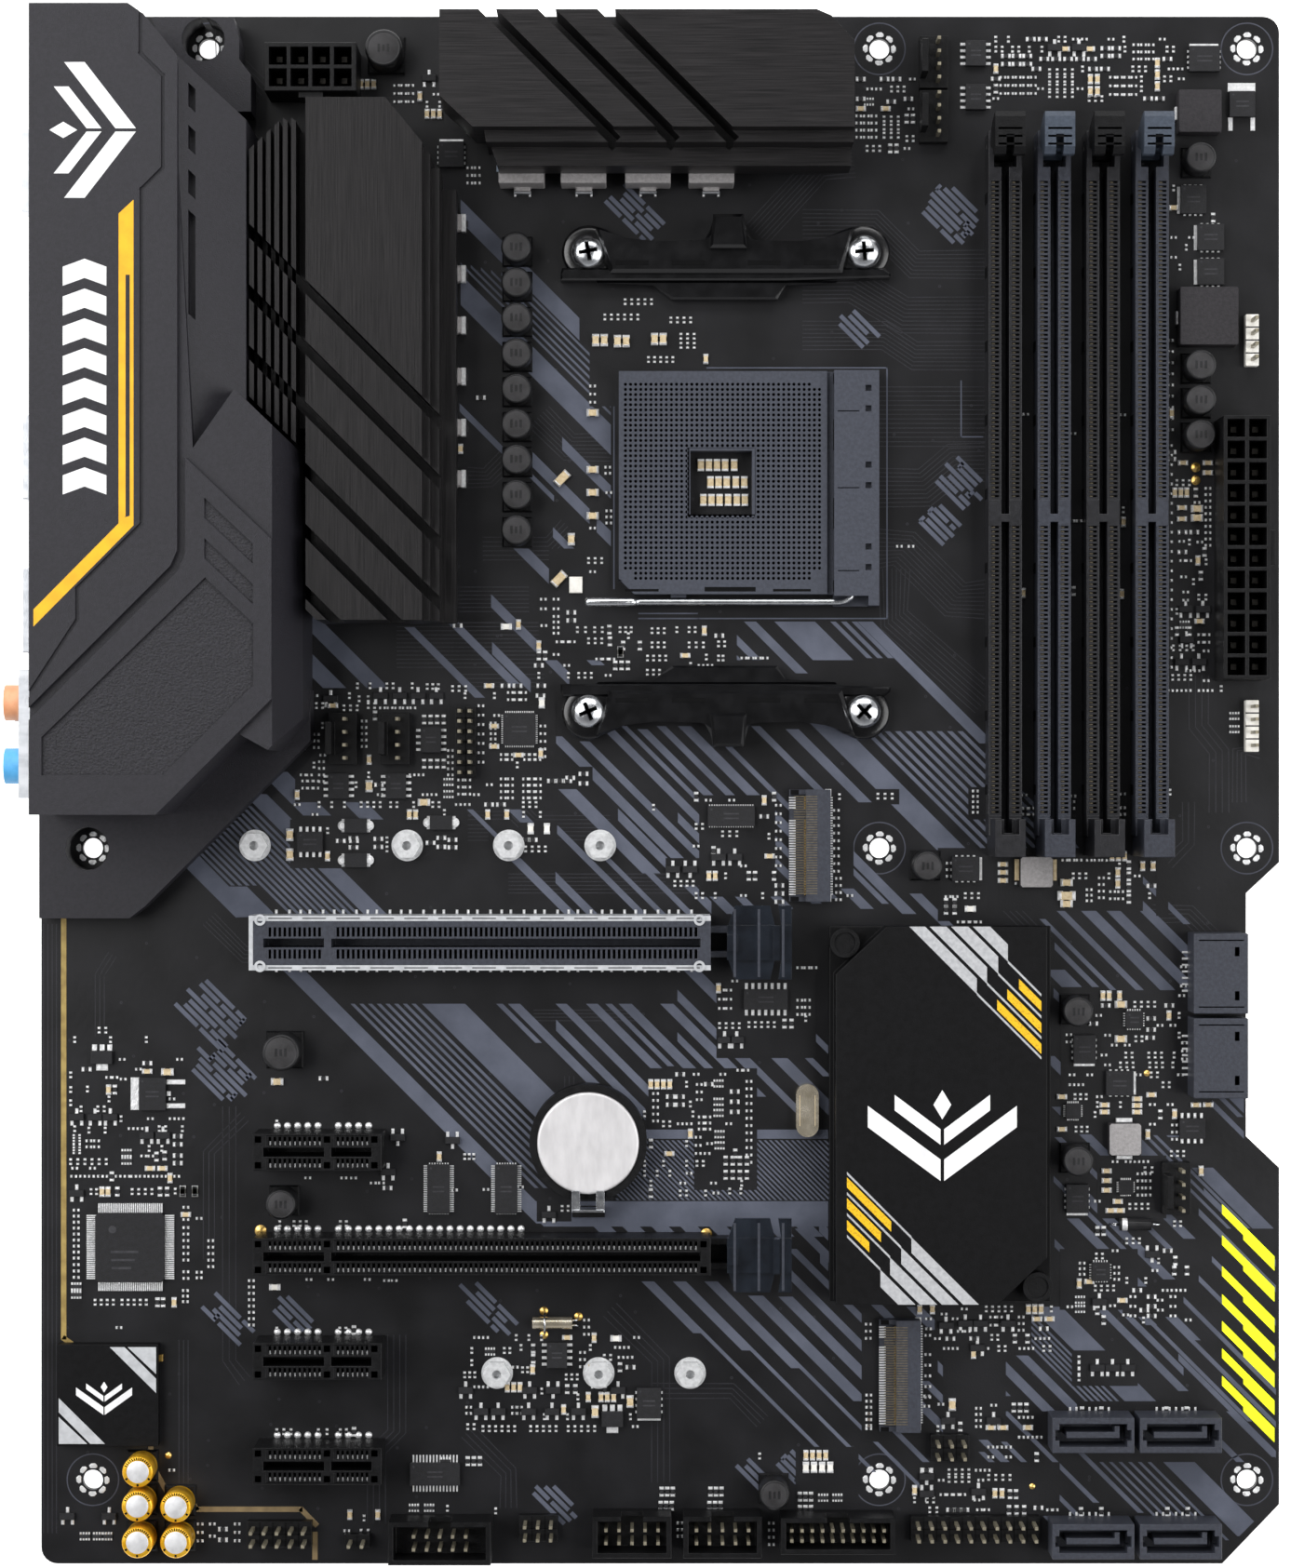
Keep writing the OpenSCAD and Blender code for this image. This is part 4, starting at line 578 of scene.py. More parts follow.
# outlines round the processor socket, its lever and the drive sockets, and rings round the holes
for path in ([(112.8, 235.6), (112.8, 191), (107, 191), (107, 186.2), (129.4, 186.2), (166.6, 186.2), (166.6, 235.6),
              (112.8, 235.6)],
             [(181.2, 233), (181.2, 222), (185.4, 222)], [(109, 188.2), (109, 187.2), (129.2, 187.2)]):
    for (ax, ay), (bx, by) in zip(path, path[1:]):
        silk.bar((ax + bx) / 2, (ay + by) / 2, abs(bx - ax) + 0.25, abs(by - ay) + 0.25, 0.005, SILK_Z, SILK)
HOLES = [(10.16, 16.51), (165.1, 16.51), (237.49, 16.51), (165.1, 140.97), (237.49, 140.97), (165.1, 298.45),
         (237.49, 298.45), (33.02, 298.45), (10.16, 140.97)]


def ring(piece, cx, cy, inner, outer, z, material, sides=48, spread=1.0):
    """A flat ring, or its part if spread is under 1."""
    count = int(sides * spread)
    points = []
    for i in range(count + 1):
        a = 2 * math.pi * i / sides
        points += [(cx + inner * math.cos(a), cy + inner * math.sin(a), z),
                   (cx + outer * math.cos(a), cy + outer * math.sin(a), z)]
    faces = [[2 * i, 2 * i + 1, 2 * i + 3, 2 * i + 2] for i in range(count)]
    piece.add(points, faces, material)


pads = Piece("hole_pads")
for cx, cy in HOLES:
    low = cy == 140.97 and cx < 20
    if not low:
        ring(silk, cx, cy, 4.95, 5.2, SILK_Z, SILK_DIM)
    for k in range(8):
        a = 2 * math.pi * k / 8
        petal = [(cx + r * math.cos(a + t), cy + r * math.sin(a + t)) for r, t in
                 ((2.35, -0.22), (2.6, -0.33), (3.0, -0.28), (3.3, -0.12), (3.25, 0.1), (2.9, 0.26), (2.35, 0.22))]
        pads.prism(petal, 0.0, 0.09, TIN, 0.05)
for cx, cy, r, material in ((43.2, 65.6, 0.95, GOLD), (131, 64.9, 0.95, GOLD), (217.8, 96.6, 0.55, GOLD),
                            (25, 21.3, 0.55, GOLD), (195.2, 15.2, 0.55, GOLD), (227.4, 216, 0.8, GOLD),
                            (227.4, 213.4, 0.8, GOLD), (99, 49.8, 0.7, GOLD), (105.8, 48.7, 0.7, GOLD),
                            (99, 45.1, 0.7, GOLD)):
    pads.lathe(cx, cy, [(r * 1.25, 0.0), (r * 1.25, 0.04), (r, 0.1), (r * 0.5, 0.3), (r * 0.1, 0.34)], material, 20)
pads.bar(217.8, 96.6, 2.5, 2.5, 0.0, 0.03, BROWN_LINE)

# the gold lines that part the sound circuit from the rest
for path, material in (([(4.4, 127), (4.4, 44.4), (5.8, 43.4)], GOLD_LINE),
                       ([(21.6, 23.2), (21.6, 19.8), (24.6, 14.4), (28.4, 14.4), (30.6, 10.7), (51.2, 10.7), (54.2, 7.6)],
                        BROWN_LINE), ([(53.9, 6), (53.9, 1)], BROWN_LINE)):
    for (ax, ay), (bx, by) in zip(path, path[1:]):
        length = math.hypot(bx - ax, by - ay)
        silk.bar((ax + bx) / 2, (ay + by) / 2, length + 0.5, 1.05, 0.005, SILK_Z + 0.01, material,
                 math.atan2(by - ay, bx - ax))
silk.make()
pads.make()


# ---------------------------------------------------------------- copper lines that show through the mask

traces = Piece("raised_traces")


def run_of_lines(path, count, pitch, width=0.16):
    """Parallel lines along a path of points; each next line is moved sideways by the pitch."""
    for k in range(count):
        off = (k - (count - 1) / 2) * pitch
        moved = []
        for i, (x, y) in enumerate(path):
            ax, ay = path[max(i - 1, 0)]
            bx, by = path[min(i + 1, len(path) - 1)]
            length = math.hypot(bx - ax, by - ay)
            moved.append((x - (by - ay) / length * off, y + (bx - ax) / length * off))
        for (ax, ay), (bx, by) in zip(moved, moved[1:]):
            traces.bar((ax + bx) / 2, (ay + by) / 2, math.hypot(bx - ax, by - ay) + width * 0.5, width, 0.0, 0.022,
                       TRACE, math.atan2(by - ay, bx - ax))


for path, count, pitch in (
        ([(1.7, 126), (1.7, 6)], 4, 0.85), ([(14, 120), (11.5, 116), (11.5, 104)], 3, 0.9),
        ([(165, 226), (172, 226), (186, 226)], 14, 0.9), ([(165, 212), (174, 212), (180, 217), (186, 217)], 10, 0.85),
        ([(165, 200), (170, 200), (180, 190), (186, 190)], 10, 0.85), ([(150, 242), (166, 242), (172, 238), (186, 238)], 8, 0.8),
        ([(150, 252), (160, 252), (170, 246), (186, 246)], 10, 0.8), ([(150, 264), (164, 264), (172, 256), (186, 256)], 8, 0.8),
        ([(141, 262), (153, 275), (160, 276)], 8, 0.8), ([(168, 196), (168, 186), (186, 170)], 8, 0.9),
        ([(58, 120), (40, 120), (33, 127)], 5, 0.8), ([(70, 181), (98, 181)], 12, 0.8), ([(82, 190), (96, 190)], 7, 0.8),
        ([(82, 174), (99, 174)], 4, 0.8), ([(84, 149), (93, 149), (97, 145), (112, 145)], 7, 0.8),
        ([(92, 134), (128, 134)], 6, 0.75), ([(74, 144), (88, 144)], 5, 0.75), ([(97, 108), (118, 108)], 4, 0.7),
        ([(40, 88), (33, 81), (33, 60)], 3, 1.1), ([(37, 90), (37, 40), (40, 36)], 3, 1.3),
        ([(28, 44), (28, 10)], 3, 0.9), ([(70, 45), (70, 26), (66, 22), (66, 8)], 4, 1.2),
        ([(84, 26), (92, 18), (92, 11)], 4, 1.1), ([(112, 50), (122, 40), (122, 16)], 4, 1.2),
        ([(120, 34), (136, 34), (142, 28)], 4, 1.0), ([(228, 175), (228, 165), (232, 160), (232, 148)], 4, 1.3),
        ([(240, 160), (236, 160), (236, 150)], 4, 0.9), ([(226, 150), (226, 142), (222, 138)], 3, 1.2),
        ([(219, 128), (226, 128), (234, 120)], 5, 0.9), ([(87, 200), (100, 200), (104, 204)], 6, 0.9),
        ([(84, 214), (88, 214), (92, 218)], 6, 0.8), ([(98, 226), (104, 220), (112, 220)], 8, 0.8),
        ([(36, 304), (36, 298), (44, 290)], 5, 0.9), ([(202, 293), (215, 293), (220, 288)], 4, 0.9),
        ([(190, 130), (196, 124), (199, 124)], 4, 0.9), ([(104, 90), (104, 96)], 3, 0.9)):
    run_of_lines(path, count, pitch)
pick = random.Random(3)
for i in range(420):
    x, y = 4 + pick.random() * 232, 4 + pick.random() * 296
    if 84 < y < 132 and x > 234:
        continue
    ring(traces, x, y, 0.13, 0.3, 0.024, TRACE, 10)
traces.make()


# ---------------------------------------------------------------- lit bars at the front edge

leds = Piece("lit_bars")
for y in (70.8, 64.7, 58.6, 53.1, 47.8, 42.4, 37):
    leds.prism([(232.6, y), (232.6, y - 1.9), (236.8, y - 6.1), (236.8, y - 7), (242.9, y - 13.1), (242.9, y - 10.3),
                (237.6, y - 5)], 0.0, 0.12, LED)
leds.make()
# ---------------------------------------------------------------- processor socket

low, high = node_box("socket_cover")
cover = Piece("pin_grid_cover", "socket_slider", "socket_plastic")
COLUMNS, ROWS, GRID_PITCH = 39, 39, 1.0
grid_x = 134.1 - (COLUMNS - 1) / 2 * GRID_PITCH
grid_y = 212.9 - (ROWS - 1) / 2 * GRID_PITCH
cavity = (127.8, 206.4, 139.9, 218.9)
top_z, web_z = high[2], low[2]
half = GRID_PITCH / 2
for i in range(COLUMNS):
    for j in range(ROWS):
        x, y = grid_x + i * GRID_PITCH, grid_y + j * GRID_PITCH
        x0, x1, y0, y1 = x - half, x + half, y - half, y + half
        if x1 > cavity[0] + 0.1 and x0 < cavity[2] - 0.1 and y1 > cavity[1] + 0.1 and y0 < cavity[3] - 0.1:
            continue
        if (i < 2 and j < 2) or (i > COLUMNS - 3 and j in (0, 1, ROWS - 1)):
            cover.add([(x0, y0, top_z), (x1, y0, top_z), (x1, y1, top_z), (x0, y1, top_z)], [[0, 1, 2, 3]], SOCKET)
            continue
        r = 0.31
        eight = [(x + r * math.cos(math.pi * (k + 0.5) / 4), y + r * math.sin(math.pi * (k + 0.5) / 4)) for k in range(8)]
        square = [(x1, y0), (x1, y1), (x0, y1), (x0, y0)]
        points = [(px, py, top_z) for px, py in square] + [(px, py, top_z) for px, py in eight]
        points += [(x + (px - x) * 0.86, y + (py - y) * 0.86, top_z - 1.1) for px, py in eight]
        faces = [[0, 1, 4 + 0, 4 + 7], [1, 5, 4], [1, 2, 4 + 2, 4 + 1], [2, 3, 4 + 4, 4 + 3, 4 + 2],
                 [3, 0, 4 + 6, 4 + 5, 4 + 4], [0, 4 + 7, 4 + 6]]
        cover.add(points, faces, SOCKET)
        # Painted shade: each pin hole's walls and floor are near-black for the shade down in the hole.
        start = [(px, py, top_z) for px, py in eight] + points[12:]
        cover.add(start, [[k, (k + 1) % 8, 8 + (k + 1) % 8, 8 + k] for k in range(8)] + [[8 + k for k in range(8)]],
                  SOCKET_HOLE_SHADE)
left, right = grid_x - half, grid_x + (COLUMNS - 0.5) * GRID_PITCH
bottom, upper = grid_y - half, grid_y + (ROWS - 0.5) * GRID_PITCH
x0, y0, x1, y1 = low[0], low[1], high[0], high[1]
cover.prism([(x0 + 3, y0), (x1, y0), (x1, bottom), (left, bottom), (left, bottom + 0.01), (x0, bottom + 0.01), (x0, y0 + 3)],
            web_z, top_z, SOCKET)
cover.block(x0, bottom, web_z, left, y1, top_z, SOCKET)
cover.block(right, bottom, web_z, x1, y1, top_z, SOCKET)
cover.block(left, upper, web_z, right, y1, top_z, SOCKET)
for a, b, c, d in ((cavity[0] - 0.6, cavity[1] - 0.6, cavity[0], cavity[3] + 0.6), (cavity[2], cavity[1] - 0.6, cavity[2] + 0.6, cavity[3] + 0.6),
                   (cavity[0], cavity[1] - 0.6, cavity[2], cavity[1]), (cavity[0], cavity[3], cavity[2], cavity[3] + 0.6)):
    cover.block(a, b, web_z, c, d, top_z + 0.0, SOCKET)
# Painted shade: thin near-black strips on the cover's front edge stand for the shade in its slots.
for a, b, c in ((115, 121.6, 0.5), (144, 151.4, 0.5), (130.6, 140.6, 0.9)):
    cover.block(a, y0 + 0.5, top_z - 0.01, b, y0 + 0.5 + c, top_z + 0.005, RECESS_SHADE_AND_PRINT)
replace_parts(cover.make(), "socket_cover")

well = Piece("socket_details", "board", "socket_plastic")
for row, (y, xs) in enumerate(((216.4, [129.9, 131.5, 133.1, 134.7, 136.5]), (213, [131.8, 133.4, 135, 136.8, 138.5]),
                               (209.5, [130.4, 132, 133.6, 135.3, 137, 138.6]))):
    for x in xs:
        well.bar(x, y, 1.25, 2.1, 0.0, 0.9, CERAMIC, 0, 0.12)
        for s in (-1, 1):
            well.bar(x, y + s * 0.95, 1.3, 0.5, 0.0, 0.95, TIN, 0, 0.1)
low, high = node_box("socket_base")
cam_left = 155.9
# Painted shade: thin near-black sheets along the cam side of the socket stand for the shade in its gaps.
for y, wide in ((192.4, 2.2), (206.6, 6), (222, 6), (233, 2)):
    well.block(cam_left - 0.05, y - wide / 2, 3, cam_left + 0.02, y + wide / 2, high[2] - 0.6, RECESS_SHADE_AND_PRINT)
# Painted shade: near-black lines on the socket top stand for the shade in its grooves.
for y in (197.8, 214, 229):
    well.block(156.6, y - 2.6, high[2] - 0.02, 160.8, y - 2.4, high[2] + 0.0, SOCKET_HOLE_SHADE)
well.make()

low, high = node_box("socket_lever")
lever = Piece("lever_wire", "lever", "steel_bright")
lever_y, shaft_x, shaft_z, tip_x = 189.3, 160, 3.6, 108
lever.tube([(shaft_x, 227.2, shaft_z), (shaft_x, 193, shaft_z), (shaft_x - 0.1, 191.4, shaft_z),
            (shaft_x - 0.7, 190.2, shaft_z), (shaft_x - 1.9, 189.5, shaft_z), (shaft_x - 3.2, lever_y, shaft_z),
            (tip_x + 10, lever_y, shaft_z), (tip_x + 9, lever_y, shaft_z)], 0.65, STEEL, 14)
lever.lathe(lever_y, shaft_z, [(0.45, tip_x - 0.85), (0.78, tip_x - 0.6), (0.88, tip_x - 0.2), (0.88, tip_x + 8.6),
                               (0.64, tip_x + 9.3)], STEEL, 20, "x")
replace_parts(lever.make(), "socket_lever")

# ---------------------------------------------------------------- screws of the cooler brackets

screws = Piece("domed_screws", "board", "steel_bright")
for low, high in islands("bracket_screws"):
    cx, cy = (low[0] + high[0]) / 2, (low[1] + high[1]) / 2
    top = high[2]
    r = 3.25
    screws.lathe(cx, cy, [(1.4, low[2]), (1.4, 4.1), (r, 4.1), (r, top - 1.5), (r * 0.93, top - 1.0), (r * 0.78, top - 0.55),
                          (r * 0.55, top - 0.22), (r * 0.28, top - 0.05), (0.02, top)], STEEL, 40)
    turn = RANDOM.random() * 1.2
    # Painted shade: near-black blocks stand for the shade in the cross recess and centre hole of each screw head.
    for q in range(2):
        screws.bar(cx, cy, 3.7, 0.78, top - 0.5, top + 0.0, RECESS_SHADE_AND_PRINT, turn + q * math.pi / 2)
        screws.bar(cx, cy, 3.0, 0.42, top - 0.4, top + 0.0, NICKEL, turn + q * math.pi / 2)
    screws.bar(cx, cy, 1.0, 1.0, top - 0.6, top + 0.0, RECESS_SHADE_AND_PRINT, turn + math.pi / 4)
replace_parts(screws.make(), "bracket_screws")

# ---------------------------------------------------------------- round capacitors and the coin cell

cans = Piece("round_cans", "board", "can_black")
for low, high in islands("polymer_capacitors"):
    cx, cy = (low[0] + high[0]) / 2, (low[1] + high[1]) / 2
    r, top = (high[0] - low[0]) / 2, high[2]
    cans.bar(cx, cy, 2 * r * 0.99, 2 * r * 0.99, 0.0, 0.8, BLACK, 0, 0.3)
    cans.lathe(cx, cy, [(r * 0.8, 0.6), (r * 0.97, 0.9), (r * 0.97, 1.5), (r * 0.88, 1.8), (r * 0.97, 2.1),
                        (r * 0.985, top - 0.5), (r * 0.95, top - 0.18), (r * 0.88, top - 0.04), (r * 0.84, top),
                        (r * 0.82, top - 0.05)], CAN, 40)
    cans.lathe(cx, cy, [(r * 0.82, top - 0.2), (r * 0.82, top - 0.06), (r * 0.8, top - 0.04), (0.05, top - 0.03)], CAN_TOP_AND_GAP_SHADE, 40)
    for k in range(3):
        cans.bar(cx - 0.9 + 0.9 * k, cy, 0.5, 1.6 - 0.3 * (k % 2), top - 0.04, top - 0.02, CAN)
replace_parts(cans.make(), "polymer_capacitors")

gold = Piece("gold_cans", "board", "can_gold")
for low, high in islands("audio_capacitors"):
    cx, cy = (low[0] + high[0]) / 2, (low[1] + high[1]) / 2
    r, top = (high[0] - low[0]) / 2, high[2]
    gold.bar(cx, cy, 2 * r * 0.99, 2 * r * 0.99, 0.0, 0.8, BLACK, 0, 0.4)
    gold.lathe(cx, cy, [(r * 0.8, 0.6), (r * 0.97, 0.9), (r * 0.97, 1.5), (r * 0.88, 1.8), (r * 0.97, 2.1),
                        (r * 0.985, top - 0.45), (r * 0.94, top - 0.12), (r * 0.86, top), (r * 0.7, top - 0.02)], GOLD_CAN, 40)
    gold.lathe(cx, cy, [(r * 0.71, top - 0.3), (r * 0.71, top - 0.03), (r * 0.68, top - 0.005), (0.05, top - 0.0)],
               CAN_SILVER, 40)
    # The dark marks round the top of each gold sleeve are print.
    for k in range(14):
        a = math.pi * (0.15 + 0.7 * k / 13)
        gold.bar(cx + r * 0.83 * math.cos(a), cy + r * 0.83 * math.sin(a), 0.5, 0.24, top - 0.09, top + 0.004, RECESS_SHADE_AND_PRINT, a)
    for k in range(3):
        a = -math.pi * (0.18 + 0.32 * k)
        gold.bar(cx + r * 0.83 * math.cos(a), cy + r * 0.83 * math.sin(a), 0.5, 0.4, top - 0.09, top + 0.004, RECESS_SHADE_AND_PRINT, a)
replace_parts(gold.make(), "audio_capacitors")

low, high = node_box("coin_cell")
cx, cy = (low[0] + high[0]) / 2, (low[1] + high[1]) / 2
cell = Piece("coin_cell_can", "board", "cell_steel")
cell.lathe(cx, cy, [(8.5, low[2]), (8.8, low[2] + 0.1), (8.8, low[2] + 0.6), (9.7, low[2] + 0.7), (9.95, low[2] + 1.0),
                    (9.98, high[2] - 0.5), (9.9, high[2] - 0.18), (9.72, high[2] - 0.04), (9.5, high[2]),
                    (9.2, high[2] - 0.02), (0.1, high[2] - 0.01)], CELL, 96)
for k in range(26):
    a = 2 * math.pi * RANDOM.random()
    d = 8.2 * math.sqrt(RANDOM.random())
    ring(cell, cx + d * math.cos(a), cy + d * math.sin(a), 0.2, 0.34, high[2] + 0.0, CELL, 12, 0.3 + 0.4 * RANDOM.random())
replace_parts(cell.make(), "coin_cell")

# ---------------------------------------------------------------- slots

def contacts(piece, x0, x1, y0, y1, z_floor, z_top, pitch, rib, wall, gold_part, along="x"):
    """A row of contact windows: ribs across a channel, a bright contact at the bottom of each window."""
    n = int((x1 - x0) / pitch + 0.5)
    step = (x1 - x0) / n
    for k in range(n):
        a = x0 + k * step
        if along == "x":
            piece.block(a, y0, z_floor, a + rib, y1, z_top, wall)
            if gold_part:
                piece.block(a + rib + 0.12, y0 + 0.1, z_floor, a + step - 0.12, y0 + (y1 - y0) * 0.45, z_floor + 0.7, gold_part)
        else:
            piece.block(y0, a, z_floor, y1, a + rib, z_top, wall)
            if gold_part:
                piece.block(y0 + 0.1, a + rib + 0.1, z_floor, y0 + (y1 - y0) * 0.5, a + step - 0.1, z_floor + 0.7, gold_part)


for name, wall in (("a1", SLOT_BLACK), ("a2", SLOT_GREY), ("b1", SLOT_BLACK), ("b2", SLOT_GREY)):
    low, high = node_box("dimm_slot_" + name)
    cx, y_start, top = (low[0] + high[0]) / 2, low[1], 8.0
    ribs = Piece("memory_contacts_" + name, "board", "socket_plastic" if wall is SLOT_GREY else "black_plastic")
    for side in (-1, 1):
        for a, b in ((8, 64.4), (69.6, 131.7)):
            x0, x1 = cx + side * 2 - 1.05, cx + side * 2 + 1.05
            # Painted shade: the near-black floor of the contact channel stands for the shade down in the slot.
            ribs.block(x0, y_start + a, top - 1.19, x1, y_start + b, top - 1.1, RECESS_SHADE_AND_PRINT)
            ribs.block(x0, y_start + a, top - 1.19, x0 + 0.3, y_start + b, top, wall)
            ribs.block(x1 - 0.3, y_start + a, top - 1.19, x1, y_start + b, top, wall)
            contacts(ribs, y_start + a, y_start + b, x0 + 0.3, x1 - 0.3, top - 1.1, top - 0.02, 0.85, 0.42, wall,
                     CONTACT, "y")
    # Painted shade: near-black slits in the slot's sides stand for the shade in its openings.
    for side in (-1, 1):
        for k in range(9):
            ribs.block(cx + side * 3.28 - 0.06, y_start + 12 + 14.5 * k, 0.4, cx + side * 3.28 + 0.06,
                       y_start + 14 + 14.5 * k, 4.5, RECESS_SHADE_AND_PRINT)
    ribs.make()
    low, high = node_box("dimm_latch_" + name)
    lines = Piece("latch_groove_shade_" + name, "latch_" + name, "clear_latch")
    # Painted shade: near-black lines across the latch top stand for the shade in its grooves.
    for k in range(3):
        lines.block(cx - 2.3, high[1] - 3.5 - 1.5 * k, high[2] - 0.05, cx + 2.3, high[1] - 3.1 - 1.5 * k, high[2] - 0.0, RECESS_SHADE_AND_PRINT)
    lines.make()

low, high = node_box("pcie_x16_slot_1")
slot_x = low[0]
for node, row, length, wall, shell in (("pcie_x16_slot_1", 0, 88.9, GREY, 8.6), ("pcie_x16_slot_2", 3, 88.9, BLACK, 7.2),
                                       ("row_c", 2, 25, BLACK, 7.2), ("row_e", 4, 25, BLACK, 7.2),
                                       ("row_f", 5, 25, BLACK, 7.2)):
    cy = 122.7 - 20.32 * row
    top = 11.25
    ribs = Piece("card_contacts_%d" % row, "board", "grey_plastic" if wall is GREY else "black_plastic")
    for side in (-1, 1):
        y0, y1 = cy + side * 2.15 - 0.9, cy + side * 2.15 + 0.9
        for a, b in ((2.6, 13.2), (15.8, length - 2.6)):
            # Painted shade: the near-black channel floor stands for the shade down in the slot.
            ribs.block(slot_x + a, y0, top - 1.39, slot_x + b, y1, top - 1.3, RECESS_SHADE_AND_PRINT)
            contacts(ribs, slot_x + a, slot_x + b, y0, y1, top - 1.3, top - 0.02, 1.0, 0.45, wall,
                     TIN if row and a + 0 < 60 else None)
            if row:
                ribs.block(slot_x + a, cy + side * 3.15 - 0.12, top - 0.3, slot_x + b, cy + side * 3.15 + 0.12, top + 0.0, wall)
    if row:
        # Painted shade: near-black squares on the slot top stand for the shade in its holes.
        for x in (1.0, 14.4, length - 1.4):
            for side in (-1, 1):
                ribs.block(slot_x + x - 0.62, cy + side * 2.5 - 0.62, top - 0.01, slot_x + x + 0.62,
                           cy + side * 2.5 + 0.62, top + 0.0, RECESS_SHADE_AND_PRINT)
        pin_xs = [3.7 + 2 * k for k in range(5)] + [15.7 + 2 * k for k in range(19 if length > 50 else 4)]
        for x in pin_xs:
            ribs.lathe(slot_x + x, cy + 4.2, [(0.72, 0.0), (0.68, 0.15), (0.45, 0.4), (0.1, 0.5)], TIN, 14)
    else:
        for side in (-1, 1):
            # Painted shade: near-black lines along the slot top stand for the shade in its grooves.
            for k in range(13):
                x = slot_x + 3 + 6.6 * k
                ribs.block(x, cy + side * 4.8 - 0.1, top - 0.01, x + 4.6, cy + side * 4.8 + 0.1, top + 0.005, RECESS_SHADE_AND_PRINT)
            for k in range(38):
                x = slot_x + 3.5 + 2.2 * k + (0.4 if k % 3 else 0)
                ribs.bar(x, cy + side * 5.75, 0.5, 0.8, 0.0, 0.3, TIN, 0, 0.1)
    ribs.make()

for k, (low, high) in enumerate(islands("m2_sockets")):
    cx, cy = low[0], (low[1] + high[1]) / 2
    m2 = Piece("drive_contacts_%d" % k, "board", "pin_gold")
    y = cy - 9.6
    while y < cy + 9.8:
        if not 5.4 < y - cy < 7.0:
            m2.bar(cx + 0.6, y, 1.3, 0.26, 1.2, 1.45, TIN)
            m2.bar(cx + 4.0, y, 2.2, 0.26, 1.3, 1.7, GOLD)
        m2.bar(high[0] + 0.15, y, 0.9, 0.26, 0.0, 0.3, TIN)
        m2.bar(cx + 3.1, y + 0.25, 4.6, 0.2, high[2] - 0.05, high[2] + 0.004, CONTACT)
        y += 0.5
    # Painted shade: near-black patches on the socket ends stand for the shade in their openings.
    for s in (-1, 1):
        m2.bar(high[0] - 0.3, cy + s * 10.4, 1.2, 1.4, 0.0, 0.4, TIN, 0, 0.1)
        m2.bar(cx + 1, cy + s * 10.5, 1.6, 0.9, 2.6, 2.7, RECESS_SHADE_AND_PRINT)
    m2.make()

for node, body in (("pcie_x16_latch_1", "card_latch_1"), ("pcie_x16_latch_2", "card_latch_2")):
    low, high = node_box(node)
    tab = Piece(node + "_ribs", body, "clear_latch")
    for k in range(3):
        x = low[0] + 1.2 + (high[0] - low[0] - 3.2) * k / 2
        tab.block(x, low[1] + 0.6, high[2] - 0.02, x + 0.5, high[1] - 0.6, high[2] + 0.003, GREY)
    tab.make()
# ---------------------------------------------------------------- leads, marks and faces of the larger soldered parts

leads = Piece("chip_leads", "board", "chip_black")


def gull_wings(cx, cy, w, l, count, side, reach=0.95, width=0.42):
    """Leads along both sides of a package: side 'x' puts them left and right, 'y' above and below."""
    for k in range(count):
        t = (k - (count - 1) / 2) * 1.27 if count < 8 else (k - (count - 1) / 2) * (0.66 if count < 16 else 0.5)
        wide = width if count < 8 else 0.3
        for s in (-1, 1):
            if side == "x":
                leads.bar(cx + s * (w / 2 + reach / 2 - 0.1), cy + t, reach, wide, 0.0, 0.32, TIN, 0, 0.08)
            else:
                leads.bar(cx + t, cy + s * (l / 2 + reach / 2 - 0.1), wide, reach, 0.0, 0.32, TIN, 0, 0.08)


def quad_pads(cx, cy, w, count, out=0.16):
    """Small pads along all four sides of a leadless package."""
    step = (w - 1.0) / max(count - 1, 1)
    for k in range(count):
        t = -(w - 1.0) / 2 + k * step
        for s in (-1, 1):
            leads.bar(cx + t, cy + s * (w / 2 + out / 2), 0.22, out + 0.15, 0.0, 0.2, TIN)
            leads.bar(cx + s * (w / 2 + out / 2), cy + t, out + 0.15, 0.22, 0.0, 0.2, TIN)


def power_pads(cx, cy, w, l, tab):
    """A flat power package: four small leads on one side and a wide tab on the other."""
    for k in range(4):
        t = (k - 1.5) * 1.27
        for s in (-1, 1):
            if tab in "ud":
                leads.bar(cx + s * (w / 2 + 0.1), cy + t * l / 6, 0.35, 0.5, 0.0, 0.3, TIN, 0, 0.06)
            else:
                leads.bar(cx + t * w / 6, cy + s * (l / 2 + 0.1), 0.5, 0.35, 0.0, 0.3, TIN, 0, 0.06)
    dx, dy = {"u": (0, 1), "d": (0, -1), "l": (-1, 0), "r": (1, 0)}[tab]
    leads.bar(cx + dx * (w / 2 + 0.25), cy + dy * (l / 2 + 0.25), 0.7 if dx else w * 0.95, 0.7 if dy else l * 0.95,
              0.0, 0.35, TIN, 0, 0.08)


def near(x, y, places):
    return any(abs(x - px) < 1.2 and abs(y - py) < 1.2 for px, py in places)


EIGHT_SIDE = [(58.6, 153.2), (69.9, 153.2), (101.6, 41.2), (76.8, 162.3), (184, 297.4), (184, 288.8)]
EIGHT_UPRIGHT = [(53, 142.2), (226.6, 85.8)]
LONG_UPRIGHT = {(142.7, 111.2): (7, 1.27), (77.6, 17.8): (14, 0.65)}
TABS = {(182, 136.9): "r", (205.4, 101.4): "d", (212.3, 94.7): "r", (204, 72): "d", (119.7, 31.8): "d",
        (229, 296.3): "u", (226.8, 268.6): "l", (230.2, 261.2): "l", (230.2, 254.4): "l", (80.8, 277.5): "u"}
END_TABS = [(62, 145.4), (62, 138.6), (78.8, 146)]
FINE = [(135.9, 147.3), (78.3, 73.9), (91.6, 73.9)]
LEADLESS = [(94.2, 164.4), (208.6, 57.6), (215.2, 107.2), (213.6, 74.2), (203.2, 89.2)]
